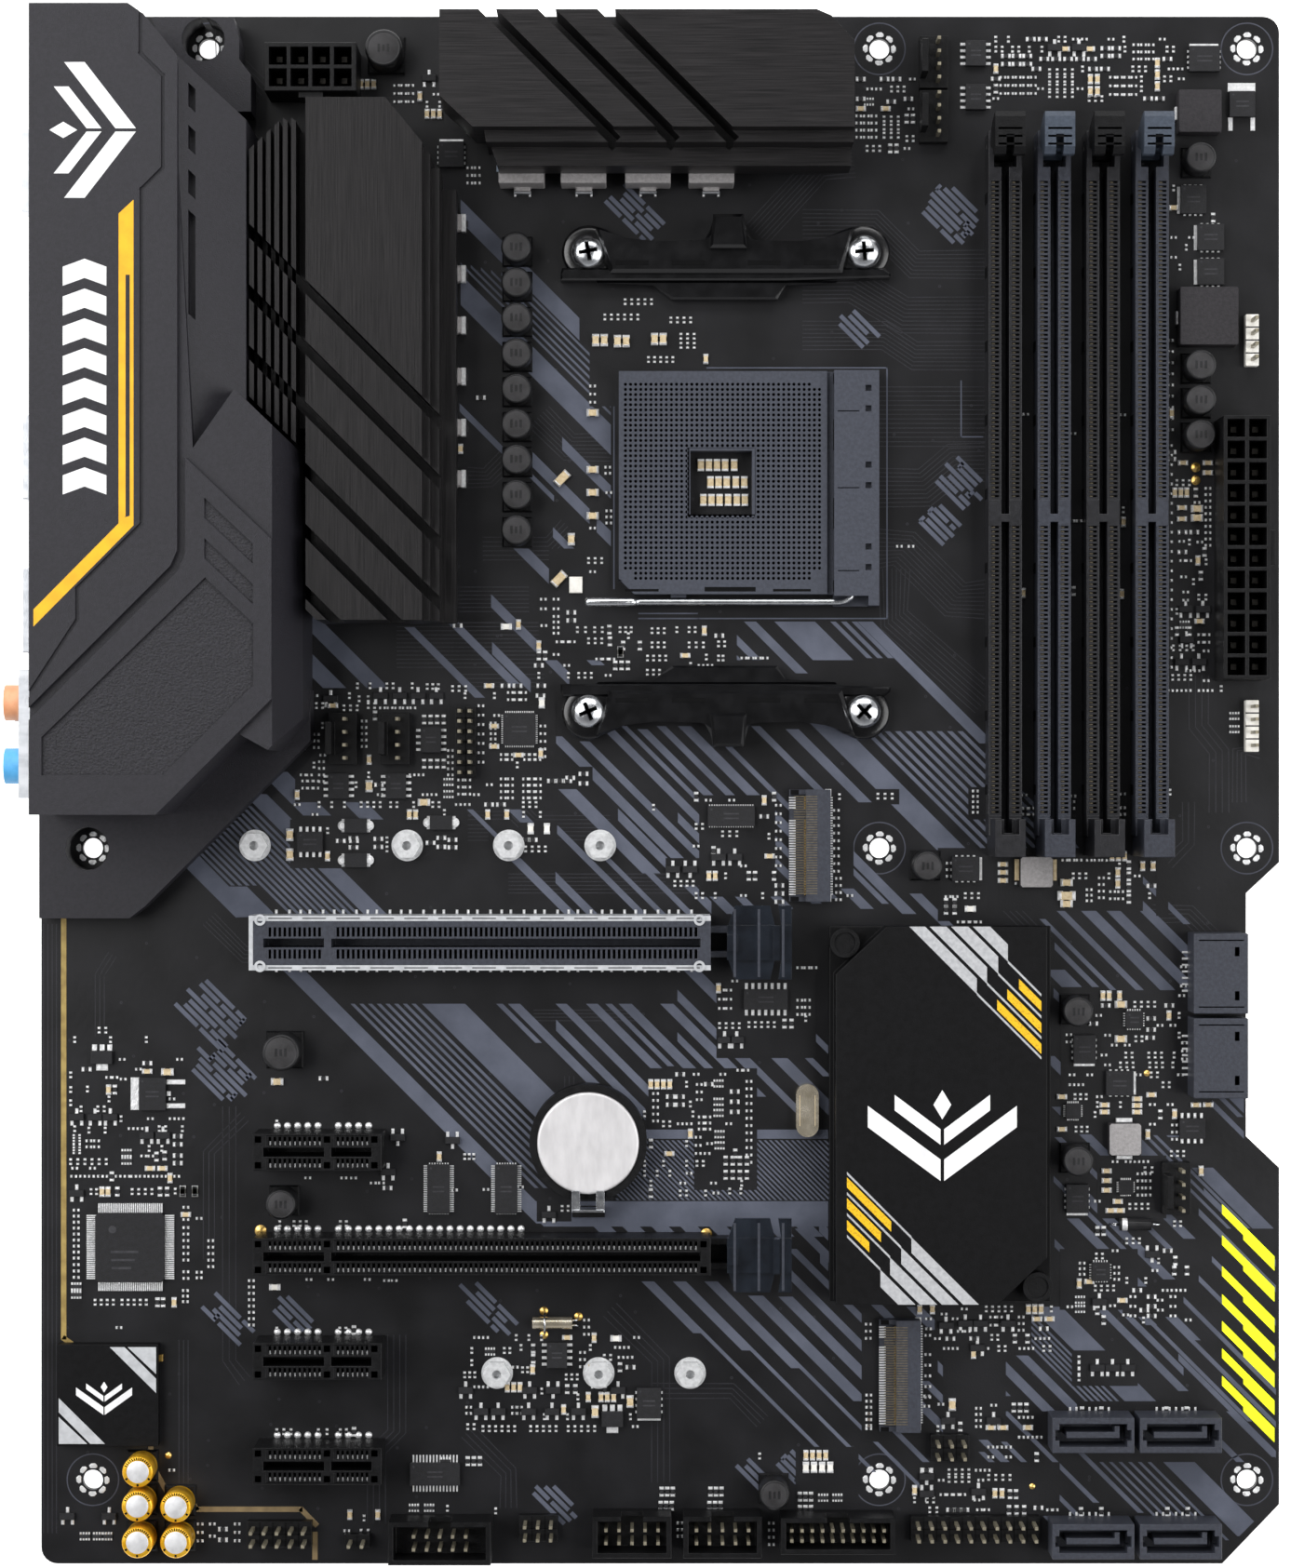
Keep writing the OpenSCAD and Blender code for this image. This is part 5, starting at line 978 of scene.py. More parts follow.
for low, high in islands("chip_packages"):
    cx, cy = (low[0] + high[0]) / 2, (low[1] + high[1]) / 2
    w, l, top = high[0] - low[0], high[1] - low[1], high[2]
    if near(cx, cy, EIGHT_SIDE):
        gull_wings(cx, cy, w, l, 4, "x", 1.1, 0.55)
    elif near(cx, cy, EIGHT_UPRIGHT):
        gull_wings(cx, cy, w, l, 4, "y", 1.1, 0.55)
    elif near(cx, cy, [(142.7, 111.2)]):
        gull_wings(cx, cy, w, l, 7, "y", 1.3, 0.6)
    elif near(cx, cy, [(77.6, 17.8)]):
        gull_wings(cx, cy, w, l, 14, "y", 1.5)
    elif near(cx, cy, TABS):
        power_pads(cx, cy, w, l, [t for p, t in TABS.items() if near(cx, cy, [p])][0])
    elif near(cx, cy, END_TABS):
        for s in (-1, 1):
            leads.prism([(cx + s * (w / 2 - 0.2) + u, cy + v) for u, v in circle(s * 0.55, 0, 1.0, 20)], 0.0, 1.1, TIN, 0.3)
            leads.bar(cx + s * (w / 2 + 0.1), cy, 1.0, 2.6, 0.0, 0.9, TIN, 0, 0.3)
    elif near(cx, cy, FINE):
        if w > l:
            for k in range(19):
                for s in (-1, 1):
                    leads.bar(cx - w / 2 + 0.35 + k * (w - 0.7) / 18, cy + s * (l / 2 + 0.1), 0.22, 0.35, 0.0, 0.2, TIN)
        else:
            for k in range(22):
                for s in (-1, 1):
                    leads.bar(cx + s * (w / 2 + 0.35), cy - l / 2 + 0.35 + k * (l - 0.7) / 21, 0.85, 0.22, 0.0, 0.25, TIN)
            for k in range(8):
                for s in (-1, 1):
                    leads.bar(cx - w / 2 + 0.4 + k * (w - 0.8) / 7, cy + s * (l / 2 + 0.1), 0.22, 0.35, 0.0, 0.2, TIN)
    elif near(cx, cy, LEADLESS):
        quad_pads(cx, cy, w, 14 if w > 6 else 6, 0.3)
    elif near(cx, cy, [(22, 92.6)]):
        leads.bar(cx - w / 2 - 0.9, cy, 1.7, 6.4, 0.0, 0.5, TIN, 0, 0.1)
        for dy in (2.3, -2.4):
            leads.bar(cx + w / 2 + 1.9, cy + dy, 3.7, 0.95, 0.0, 0.35, TIN, 0, 0.1)
        leads.bar(cx + w / 2 + 0.5, cy, 0.8, 0.9, 0.0, 0.35, TIN, 0, 0.1)
    elif near(cx, cy, [(236.4, 287.4)]):
        leads.bar(cx, cy + l / 2 + 0.9, 5.4, 1.7, 0.0, 0.5, TIN, 0, 0.1)
        for dx in (-2.2, 2.2):
            leads.bar(cx + dx, cy - l / 2 - 1.3, 0.9, 2.6, 0.0, 0.35, TIN, 0, 0.1)
    elif near(cx, cy, [(12, 99.8), (112.5, 28.6)]):
        up = 1 if cx < 50 else 1
        for dx in (-1.5, 0, 1.5):
            leads.bar(cx + dx, cy + up * (l / 2 + 0.55), 0.95, 1.3, 0.0, 0.35, TIN, 0, 0.1)
        leads.bar(cx, cy - l / 2 - 0.6, 2.3, 1.5, 0.0, 0.5, TIN, 0, 0.15)
    if top > 1.3 and min(w, l) > 3:
        leads.sheet(circle(cx - w / 2 + 0.7, cy + l / 2 - 0.7, 0.22, 12), top + 0.004, CHIP_MARK)
        for k in range(2):
            leads.bar(cx, cy + 0.45 - 0.9 * k, min(w, 6) * 0.5, 0.28, top - 0.01, top + 0.004, CHIP_MARK)

low, high = node_box("super_io_chip")
cx, cy = (low[0] + high[0]) / 2, (low[1] + high[1]) / 2
control = Piece("flat_pack_chip", "board", "chip_black")
control.prism([(cx - 6.2, cy - 6.8), (cx + 6.2, cy - 6.8), (cx + 6.8, cy - 6.2), (cx + 6.8, cy + 6.2), (cx + 6.2, cy + 6.8),
               (cx - 6.2, cy + 6.8), (cx - 6.8, cy + 6.2), (cx - 6.8, cy - 6.2)], low[2] + 0.1, high[2], CHIP, 0.12)
for k in range(32):
    t = (k - 15.5) * 0.4
    for s in (-1, 1):
        control.bar(cx + s * 7.7, cy + t, 1.85, 0.24, low[2], low[2] + 0.5, TIN, 0, 0.05)
        control.bar(cx + t, cy + s * 7.7, 0.24, 1.85, low[2], low[2] + 0.5, TIN, 0, 0.05)
control.sheet(circle(cx - 3.4, cy + 3.6, 0.75, 20), high[2] + 0.004, CHIP_MARK)
for k in range(3):
    control.bar(cx - 1 - 0.3 * k, cy - 0.8 - 1.6 * k, 5.4 - 0.8 * k, 0.45, high[2] - 0.01, high[2] + 0.004, CHIP_MARK)
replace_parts(control.make(), "super_io_chip")

for low, high in islands("power_inductors"):
    cx, cy = (low[0] + high[0]) / 2, (low[1] + high[1]) / 2
    w, l, top = high[0] - low[0], high[1] - low[1], high[2]
    small = w < 7
    leads.prism([(cx - w / 2 + 0.5, cy - l / 2 + 0.1), (cx + w / 2 - 0.5, cy - l / 2 + 0.1), (cx + w / 2 - 0.1, cy - l / 2 + 0.5),
                 (cx + w / 2 - 0.1, cy + l / 2 - 0.5), (cx + w / 2 - 0.5, cy + l / 2 - 0.1),
                 (cx - w / 2 + 0.5, cy + l / 2 - 0.1), (cx - w / 2 + 0.1, cy + l / 2 - 0.5),
                 (cx - w / 2 + 0.1, cy - l / 2 + 0.5)], top - 0.05, top + 0.01, CHOKE if small else CHOKE_DARK, 0.02)
    for s in (-1, 1):
        if cx < 200:
            leads.bar(cx + s * (w / 2 + 0.4), cy + 0.4, 0.9, 4.2, 0.0, 1.2, CERAMIC if cx < 200 else TIN, 0, 0.15)
        elif small:
            leads.bar(cx, cy + s * (l / 2 + 0.4), 3.2, 0.9, 0.0, 1.2, TIN, 0, 0.15)
        else:
            leads.bar(cx + s * (w / 2 + 0.1), cy, 0.5, 2.6, 0.0, 1.6, TIN, 0, 0.1)

for low, high in islands("vrm_chokes"):
    cx, cy = (low[0] + high[0]) / 2, (low[1] + high[1]) / 2
    w, l, top = high[0] - low[0], high[1] - low[1], high[2]
    if top < 5:
        continue
    if cx < 84:
        leads.bar(cx + w / 2 + 0.45, cy, 0.9, 3.4, 0.0, 2.4, TIN, 0, 0.15)
        leads.bar(cx + w / 2 + 1.0, cy, 0.5, 1.2, 0.0, 0.6, CHOKE_DARK)
    else:
        leads.bar(cx, cy - l / 2 - 0.1, 3.4, 0.6, 0.0, 1.8, NICKEL, 0, 0.12)
        for s in (-1, 1):
            leads.bar(cx + s * 1.45, cy - l / 2 - 0.35, 0.45, 0.8, 0.0, 0.8, TIN, 0, 0.08)
leads.make()

# ---------------------------------------------------------------- small soldered parts

small = Piece("small_parts", "board", "chip_black")
PATCH = finish("mask_patch", "#0a0a0c", "#131316", 0.4, scale=90, detail=6, bump=0.1, specular=0.3)
SIZES = {"r": (1.0, 0.5, 0.35), "c": (1.0, 0.55, 0.5), "R": (1.6, 0.8, 0.45), "C": (1.7, 0.9, 0.8), "D": (2.1, 1.3, 1.1),
         "E": (3.2, 1.7, 1.3), "W": (1.9, 1.15, 0.6)}


def two_ended(kind, x, y, upright):
    """A two-terminal part: solder at both ends and a film or ceramic body between them."""
    long_side, wide, tall = SIZES[kind]
    body = {"r": RESISTOR, "c": CERAMIC_DARK, "R": RESISTOR, "C": CERAMIC, "D": CERAMIC, "E": CERAMIC, "W": WHITE}[kind]
    turn = math.pi / 2 if upright else 0.0
    c, s = math.cos(turn), math.sin(turn)
    end = long_side * (0.32 if kind in "rc" else 0.27)
    small.bar(x, y, long_side - end, wide * 0.94, 0.0, tall * 0.94, body, turn, 0.04)
    for side in (-1, 1):
        d = side * (long_side / 2 - end / 2 + 0.08)
        small.bar(x + d * c, y + d * s, end + 0.16, wide * 1.08, 0.0, tall, TIN, turn, min(wide, tall) * 0.28)


def three_leg(x, y, turn=0):
    """A three-leg package with one leg above and two below, turned by quarter turns."""
    c, s = math.cos(turn * math.pi / 2), math.sin(turn * math.pi / 2)

    def at(u, v):
        return x + u * c - v * s, y + u * s + v * c

    px, py = at(0, 0)
    small.bar(px, py, 2.9 if turn % 2 == 0 else 1.35, 1.35 if turn % 2 == 0 else 2.9, 0.1, 1.0, CHIP, 0, 0.12)
    for u, v in ((0, 1.15), (-0.95, -1.15), (0.95, -1.15)):
        px, py = at(u, v)
        small.bar(px, py, 0.62 if turn % 2 == 0 else 1.1, 1.1 if turn % 2 == 0 else 0.62, 0.0, 0.32, TIN, 0, 0.12)


def array(x, y, upright):
    """Four resistors in one body."""
    for k in range(4):
        t = (k - 1.5) * 0.55
        for s in (-1, 1):
            if upright:
                small.bar(x + s * 0.55, y + t, 0.5, 0.36, 0.0, 0.35, TIN, 0, 0.08)
            else:
                small.bar(x + t, y + s * 0.55, 0.36, 0.5, 0.0, 0.35, TIN, 0, 0.08)
    small.bar(x, y, 0.7 if upright else 2.1, 2.1 if upright else 0.7, 0.0, 0.36, RESISTOR)


def group(kind, x, y, columns=1, rows=1, dx=1.3, dy=1.3, upright=False):
    for i in range(columns):
        for j in range(rows):
            px, py = x + i * dx, y + j * dy
            if kind == "t":
                three_leg(px, py, 0)
            elif kind == "u":
                three_leg(px, py, 2)
            elif kind == "a":
                array(px, py, upright)
            else:
                two_ended(kind, px, py, upright)


def clear(x0, y0, x1, y1):
    """A patch of plain mask that interrupts the printed bands below a group of parts."""
    small.sheet([(x0, y0), (x1, y0), (x1, y1), (x0, y1)], 0.062, PATCH)


for box in ((50, 150, 80.6, 172.5), (49, 137, 70, 146.6), (73.6, 138.8, 84, 147.6), (94, 139.6, 101.6, 146),
            (84, 159, 101.4, 170.6), (76, 148.6, 100.6, 158.4), (99.4, 152.6, 108.6, 157), (129.6, 131.4, 144.6, 151.4),
            (123, 133.6, 129.6, 139), (133, 99.6, 152.6, 118.4), (119.6, 85.8, 141, 97.6), (128.6, 73.6, 141, 86),
            (97.6, 67.4, 104.4, 71.4), (117, 174.4, 137, 186), (98, 178, 117.6, 192), (100, 192, 112, 200),
            (160, 290, 170, 280), (188, 286, 225, 302), (68, 270, 80, 297), (108, 228, 131, 251),
            (219.6, 127.6, 222, 153), (176.6, 126.6, 186.4, 141), (188.6, 128.6, 217, 141), (200.8, 84.6, 209.6, 113.6),
            (208, 68, 221.6, 80.4), (209.6, 84.4, 230.6, 113), (200.6, 50, 216, 62), (213, 48.6, 225, 54.6),
            (177.6, 24.4, 190, 47), (176, 41, 195, 51), (161.6, 24, 165, 49.6), (172.8, 36, 176.6, 46),
            (173, 9.4, 200.6, 20), (203, 35, 216, 42), (204, 28.6, 228, 32), (148.6, 6.4, 161, 23),
            (182.6, 146.6, 186, 153), (156, 133, 160, 150), (163.6, 149.6, 169, 152.6), (219, 175, 232, 213)):
    clear(*box)
GROUPS = [
    # kind, x, y, columns, rows, dx, dy, upright: lower left of the board
    ("r", 11.4, 105.1, 2, 1, 1.3, 1, True), ("R", 20.9, 98.6), ("C", 20.9, 97), ("D", 24.9, 96.9),
    ("r", 5.8, 96.3, 1, 1, 1, 1, True), ("r", 5.8, 93.4, 1, 1, 1, 1, True), ("r", 5.8, 90.8, 1, 1, 1, 1, True),
    ("C", 13.3, 93.4, 1, 1, 1, 1, True), ("R", 14.5, 93.4, 1, 1, 1, 1, True), ("r", 13.3, 95.8, 2, 1, 1.2, 1),
    ("t", 7, 88), ("t", 10.6, 88), ("t", 13.6, 88), ("a", 7, 83.6, 1, 2, 1, -1.9, True), ("r", 9.4, 83.3, 2, 2, 1.5, -1.2),
    ("r", 9.4, 85.4, 2, 1, 3.2, 1, True), ("r", 5.8, 79.2, 6, 1, 1.4, 1, True), ("a", 16.8, 80.9, 1, 1),
    ("a", 16.8, 79.4), ("r", 20.2, 80.3, 2, 1, 1.4, 1), ("R", 22.7, 80.2, 1, 1, 1, 1, True), ("t", 20.8, 84.4), ("t", 24, 84.4),
    ("R", 26.9, 84.2, 1, 2, 1, -1.6), ("R", 26.9, 80.4, 1, 2, 1, -1.5), ("R", 24.3, 80.4, 1, 1, 1, 1, True),
    ("r", 6.4, 76.3, 7, 1, 1.75, 1), ("r", 18.2, 76.3, 6, 1, 1.7, 1), ("R", 13.9, 76.3, 1, 1, 1, 1, True),
    ("C", 25.4, 76, 1, 1, 1, 1, True), ("t", 7, 73), ("r", 9.8, 73.3, 2, 1, 1.1, 1, True), ("C", 12, 73.3, 2, 1, 1.2, 1, True),
    ("R", 15, 73.3, 1, 1, 1, 1, True), ("r", 17.9, 73.3, 4, 1, 1.3, 1, True), ("R", 23.4, 73.3, 2, 1, 1.4, 1, True),
    ("r", 26.4, 73.4, 1, 1, 1, 1, True), ("W", 27.9, 73.4, 2, 1, 2.4, 1, True), ("W", 27.9, 73.4, 2, 1, 2.4, 1, True),
    ("r", 6.9, 60.2, 1, 9, 1, 1.18), ("r", 6.9, 56.4, 1, 3, 1, 1.25), ("a", 6.9, 54.6), ("a", 6.9, 53),
    ("r", 28.5, 59.8, 1, 6, 1, 1.28), ("C", 28.5, 68.8), ("r", 28.5, 70.2), ("r", 28.5, 67.8), ("r", 28.5, 56.2, 1, 2, 1, 1.3),
    ("r", 33.4, 58.5, 1, 5, 1, 1.28), ("r", 31.1, 56.3, 1, 2, 1, 1.1), ("r", 31.1, 68), ("r", 28.4, 51.6, 1, 3, 1, 1.1),
    ("r", 10.6, 51.5, 4, 1, 1.2, 1, True), ("r", 15.9, 51.5, 5, 1, 1.2, 1, True), ("R", 22.9, 51.5, 2, 1, 1.1, 1, True),
    ("C", 26.2, 51.5, 1, 1, 1, 1, True), ("r", 15.3, 46.5), ("r", 25.7, 18.4), ("t", 5.2, 9.4), ("t", 13.4, 9.4),
    ("a", 8.6, 5.4, 2, 1, 2.6, 1), ("a", 13, 5.4), ("r", 31.3, 7.8, 1, 3, 1, -1.65), ("r", 33.7, 7.8, 1, 2, 1, -2.4),
    ("R", 35.8, 6.8, 1, 2, 1, -2.1), ("r", 38.6, 7.8, 1, 3, 1, -1.65), ("D", 46.5, 95, 1, 1, 1, 1, False),
    ("r", 47, 67, 1, 1, 1, 1, True), ("r", 49.8, 67, 3, 1, 1.2, 1, True), ("r", 58.9, 67, 2, 1, 1.2, 1, True),
    ("R", 71.6, 67, 1, 1, 1, 1, True), ("r", 52.7, 56, 1, 1), ("r", 57, 56, 1, 1), ("r", 64.2, 56), ("r", 68, 55.8, 2, 1, 1.5, 1),
    ("W", 46, 54.5), ("r", 46.4, 46, 1, 1, 1, 1, True), ("r", 58.8, 46, 2, 1, 1.2, 1, True), ("R", 61.6, 46, 1, 1, 1, 1, True),
    ("r", 46.4, 26, 3, 1, 1.4, 1, True), ("r", 54.6, 26, 2, 1, 1.7, 1, True), ("r", 58.9, 26, 2, 1, 1.2, 1, True),
    ("R", 61.6, 26, 1, 1, 1, 1, True), ("r", 41.4, 47, 1, 8, 1, 1.25), ("C", 60.8, 9.7, 2, 1, 5.5, 1, True),
    ("r", 60.2, 6.5, 1, 1), ("r", 63, 6.2, 2, 1, 1.4, 1, True), ("r", 63.6, 9, 1, 1, 1, 1, True), ("r", 46.4, 86.8, 1, 1, 1, 1, True),
    ("r", 52.5, 76), ("r", 59.6, 76, 2, 1, 1.9, 1), ("t", 68.3, 77.2), ("r", 65.4, 75, 2, 1, 1.6, 1), ("R", 68.2, 74, 1, 1),
    ("u", 70.2, 84, 1, 1), ("a", 73.4, 11, 2, 1, 3, 1), ("a", 79.6, 20.2), ("R", 84, 20.2, 3, 1, 1.2, 1, True),
    ("r", 80, 10.9, 1, 1, 1, 1, True), ("r", 89.5, 10.4, 1, 1, 1, 1, True), ("R", 55.6, 95.6),
    # above the first long slot
    ("D", 49, 143.6, 1, 2, 1, -3.9, True), ("r", 56.4, 144.4, 1, 1, 1, 1, True), ("C", 56.4, 139.4, 1, 1, 1, 1, True),
    ("R", 59, 142.4, 2, 1, 2.6, 1), ("R", 61.5, 142.9, 1, 2, 1, -1.8), ("R", 66.4, 142.8, 1, 2, 1, -1.6),
    ("r", 68.1, 142.6, 1, 2, 1, -1.8, True), ("r", 51.9, 152.8, 3, 2, 1.1, 1.4), ("r", 51.6, 155.4, 2, 1, 1.2, 1),
    ("D", 64.6, 153.2, 1, 1, 1, 1, True), ("R", 76.7, 142, 1, 1), ("R", 78.8, 143, 1, 2, 1, -1.8), ("R", 81, 142.6, 1, 2, 1, -1.5),
    ("R", 95.4, 142.6, 2, 1, 1.4, 1), ("r", 95.4, 140.8, 4, 1, 1.3, 1, True), ("W", 96.4, 144.8, 2, 1, 3.2, 1, True),
    ("r", 63.6, 166, 1, 5, 1, -1.25), ("r", 64.4, 170.4, 1, 1, 1, 1, True), ("r", 62.6, 170.4, 1, 1, 1, 1, True),
    ("r", 55.2, 158, 1, 4, 1, -1.3), ("r", 54.2, 163.4, 1, 3, 1, -1.3), ("C", 64.6, 158.4, 1, 1, 1, 1, True),
    ("t", 57, 170.4), ("r", 59.6, 168.6, 3, 1, 1.3, 1, True), ("t", 66.8, 171), ("t", 70.6, 171), ("t", 74.2, 171),
    ("r", 67.2, 168.6, 5, 1, 1.5, 1), ("t", 77.8, 171), ("R", 75.4, 166.3, 4, 1, 1.3, 1, True), ("R", 75.4, 157.6, 4, 1, 1.3, 1, True),
    ("r", 76, 172.8, 3, 1, 1.1, 1, True), ("r", 81, 172.4, 3, 1, 1.3, 1, True), ("r", 80.6, 160.2, 1, 5, 1, -1.2),
    ("r", 86.6, 169, 1, 7, 1, -1.85), ("r", 89, 165.6, 1, 5, 1, -1.05), ("C", 89.2, 161, 1, 2, 1, 4),
    ("r", 92.4, 171.6, 3, 2, 1.3, -1.4), ("W", 98.6, 169.6, 1, 1, 1, 1, True), ("r", 98.8, 165, 1, 5, 1, -1.5),
    ("C", 98.4, 159.6, 1, 1, 1, 1, True), ("r", 91, 159.4, 2, 2, 1.3, -1), ("r", 95.6, 159.4, 3, 2, 1.1, -1),
    ("r", 91, 154.6, 2, 4, 1.4, -1.25), ("r", 95.4, 154.6, 3, 4, 1.25, -1.25), ("a", 80.2, 154), ("a", 80.2, 151.6),
    ("r", 82.6, 154.4, 2, 3, 1.4, -1.4), ("D", 75.4, 150), ("R", 100.6, 154.2, 3, 1, 1.5, 1), ("R", 104.2, 154.8), ("R", 106.8, 155.6, 1, 2, 1, -1.9),
    ("r", 79.4, 148, 1, 1, 1, 1, True),
    # round the processor socket
    ("D", 108.6, 226.7), ("D", 108.6, 215.5), ("D", 108.6, 211), ("D", 108.6, 206.4), ("r", 108.6, 232, 1, 3, 1, -1.6),
    ("r", 111.6, 216, 1, 1), ("r", 111.6, 214.8), ("r", 111.8, 211, 1, 1), ("r", 111.8, 207.4, 1, 3, 1, -1.2), ("r", 108.6, 204, 1, 1),
    ("D", 104.4, 201.8, 1, 1, 1, 1, True), ("r", 107.8, 197.6, 3, 1, 1.3, 1, True), ("r", 108.6, 195.4, 1, 1),
    ("r", 98.9, 190, 2, 2, 2.5, -1.9), ("r", 101.4, 186.6, 1, 4, 1, -1.1), ("r", 99, 184.8, 1, 1), ("R", 104.4, 187.4, 1, 2, 1, -1.6),
    ("r", 105.6, 184, 2, 1, 1.6, 1, True), ("r", 109, 184, 2, 1, 1.5, 1, True), ("R", 111.9, 184, 1, 1, 1, 1, True),
    ("r", 114, 184, 3, 1, 1.1, 1, True), ("r", 107.8, 181.8, 3, 1, 1.3, 1, True), ("R", 112, 181.7, 1, 1, 1, 1, True),
    ("r", 102, 181.6, 3, 1, 1.3, 1), ("r", 101.4, 179.1, 1, 1), ("r", 109.8, 178.2, 3, 1, 1.3, 1), ("W", 114.1, 179.6, 1, 2, 1, 0, True),
    ("r", 120.3, 183.8, 3, 1, 1.2, 1, True), ("r", 120.3, 181, 3, 1, 1.2, 1, True), ("r", 119.4, 178.4, 4, 1, 1.2, 1, True),
    ("r", 119.4, 175.6, 3, 1, 1.2, 1, True), ("r", 125.2, 184, 1, 1, 1, 1, True), ("r", 127.6, 184, 2, 1, 1.2, 1, True),
    ("C", 130.6, 183.8, 1, 1, 1, 1, True), ("r", 127.6, 181, 3, 1, 1.4, 1, True), ("r", 133.4, 181.2, 2, 1, 1.2, 1, True),
    ("r", 131, 178.6, 1, 1, 1, 1, True), ("r", 133.4, 178.4, 2, 1, 0.9, 1, True), ("r", 138.4, 178.4, 4, 1, 1.4, 1),
    ("R", 82, 184.8, 1, 1), ("W", 91.6, 184.6, 1, 1), ("C", 94, 185, 1, 1, 1, 1, True), ("C", 82.6, 219.6, 1, 1, 1, 1, True),
    ("R", 86.6, 229.7), ("r", 119.6, 237.2, 5, 1, 1.2, 1, True), ("D", 109.2, 241, 2, 1, 1.7, 1, True),
    ("D", 113.5, 240.8, 2, 1, 1.7, 1, True), ("D", 120.8, 241.2, 2, 1, 1.7, 1, True), ("C", 130.9, 237.3, 1, 1, 1, 1, True),
    ("r", 126, 240, 3, 2, 1.3, 1.8, True), ("r", 111, 245.6, 6, 1, 1.3, 1, True), ("r", 115, 248.6, 5, 1, 1.3, 1, True),
    ("r", 124, 245, 4, 1, 1.3, 1, True), ("r", 69.6, 273, 3, 5, 1.4, 1.7), ("C", 74.6, 289, 1, 1, 1, 1, True),
    ("r", 70, 288, 3, 3, 1.4, 1.6), ("t", 76.4, 292.6), ("r", 84.4, 272, 2, 3, 1.5, 1.5),
    # upper edge and beside the memory slots
    ("r", 161, 281, 3, 4, 1.5, 1.4), ("r", 166, 281.4, 3, 3, 1.4, 1.6, True), ("a", 163, 288), ("R", 167.4, 288, 1, 1),
    ("r", 189.4, 289.6, 5, 3, 1.5, 1.6), ("R", 190, 295.4, 3, 2, 2.1, 1.6), ("r", 198.6, 289.4, 4, 4, 1.5, 1.5, True),
    ("C", 206.6, 290, 2, 2, 1.4, 2.4, True), ("r", 211, 289.4, 4, 3, 1.4, 1.7), ("t", 199.6, 298.6), ("t", 204.4, 298.6),
    ("R", 209.6, 297, 2, 2, 2.1, 1.5), ("r", 215.6, 296.4, 3, 3, 1.5, 1.4), ("C", 219.8, 291, 1, 3, 1, 2.3, True),
    ("r", 222.3, 152, 1, 1, 1, 1, True), ("r", 222.2, 176.6, 1, 24, 1, 1.9), ("r", 222.4, 223.4, 1, 9, 1, 2.2),
    ("C", 222.6, 226.6, 1, 1, 1, 1, True), ("R", 222.6, 219, 1, 2, 1, -1.4), ("C", 223.2, 211, 3, 1, 1.2, 1, True),
    ("D", 227.6, 207.8, 1, 2, 1, -1.8), ("C", 224.6, 208, 1, 2, 1, -2.2), ("r", 229.8, 200.6, 1, 10, 1, 1.25),
    ("r", 224.6, 201.4, 1, 1), ("C", 227.8, 197.6, 1, 1, 1, 1, True), ("r", 224.8, 197.6, 2, 1, 1.2, 1), ("r", 225, 194.4, 1, 1, 1, 1),
    ("R", 228.4, 194.6, 1, 1, 1, 1, True), ("r", 225.4, 191.4, 1, 2, 1, -1.6), ("r", 228, 190.4, 2, 1, 1.4, 1, True),
    ("t", 225.4, 188), ("t", 228.8, 188), ("a", 225.2, 185), ("t", 225.6, 182), ("r", 228.4, 183, 2, 2, 1.2, -1.5),
    ("r", 223, 180.4, 4, 1, 1.3, 1, True), ("t", 224.6, 177.6), ("t", 228, 177.6), ("r", 222.8, 174.6, 4, 1, 1.2, 1, True),
    ("a", 235, 167), ("a", 235, 164.4), ("r", 232.4, 172.4, 1, 1, 1, 1, True), ("r", 193.9, 226.4), ("r", 213, 226.3),
    ("r", 203.2, 222.6), ("r", 203, 205.4, 2, 1, 1.4, 1), ("r", 213.1, 207.6, 1, 1, 1, 1, True), ("C", 213.1, 205.2, 1, 1, 1, 1, True),
    ("C", 193.4, 191.2, 1, 1, 1, 1, True), ("R", 203.3, 191.6, 1, 1, 1, 1, True), ("C", 212.8, 191, 1, 1, 1, 1, True),
    ("r", 169, 200.4, 1, 1), ("r", 171.3, 200.4), ("r", 193.6, 151.4), ("r", 203.2, 151.2), ("r", 213, 151.6),
    ("r", 193.8, 147.6, 2, 2, 1.2, 1.2), ("r", 203, 148.8, 1, 2, 1, 1.3), ("r", 213, 147.6, 1, 2, 1, 1.3),
    ("r", 184, 148, 1, 5, 1, 1.05), ("r", 164.8, 151.2, 3, 1, 1.4, 1, True), ("C", 142.4, 150.4, 1, 1, 1, 1, True),
    ("r", 145.2, 149.4, 1, 8, 1, -1.7), ("R", 145.4, 133.6, 1, 3, 1, -1.6), ("r", 156.6, 148.4, 1, 9, 1, -1.5),
    ("r", 157, 135, 1, 4, 1, -1.4), ("t", 133.4, 139.2), ("t", 136.6, 139.2), ("r", 134.2, 143.8, 3, 1, 1.4, 1, True),
    ("R", 132.4, 140.4, 1, 1, 1, 1, True), ("u", 127.8, 136.8), ("t", 124.4, 136.8), ("r", 124.8, 134, 4, 1, 1.2, 1, True),
    ("r", 131.4, 150.4, 1, 1), ("r", 136, 150.4), ("r", 120.6, 149, 1, 1, 1, 1, True), ("C", 133.4, 113.4, 1, 1, 1, 1, True),
    ("r", 134, 109.4, 2, 3, 1.4, 1.8), ("r", 136.6, 114.8, 1, 1), ("r", 133.6, 106, 4, 1, 1.3, 1, True),
    ("r", 139.4, 106.2, 5, 1, 1.25, 1, True), ("R", 146.4, 106.4, 2, 1, 1.4, 1, True), ("t", 134.6, 103.2), ("t", 137, 103.2),
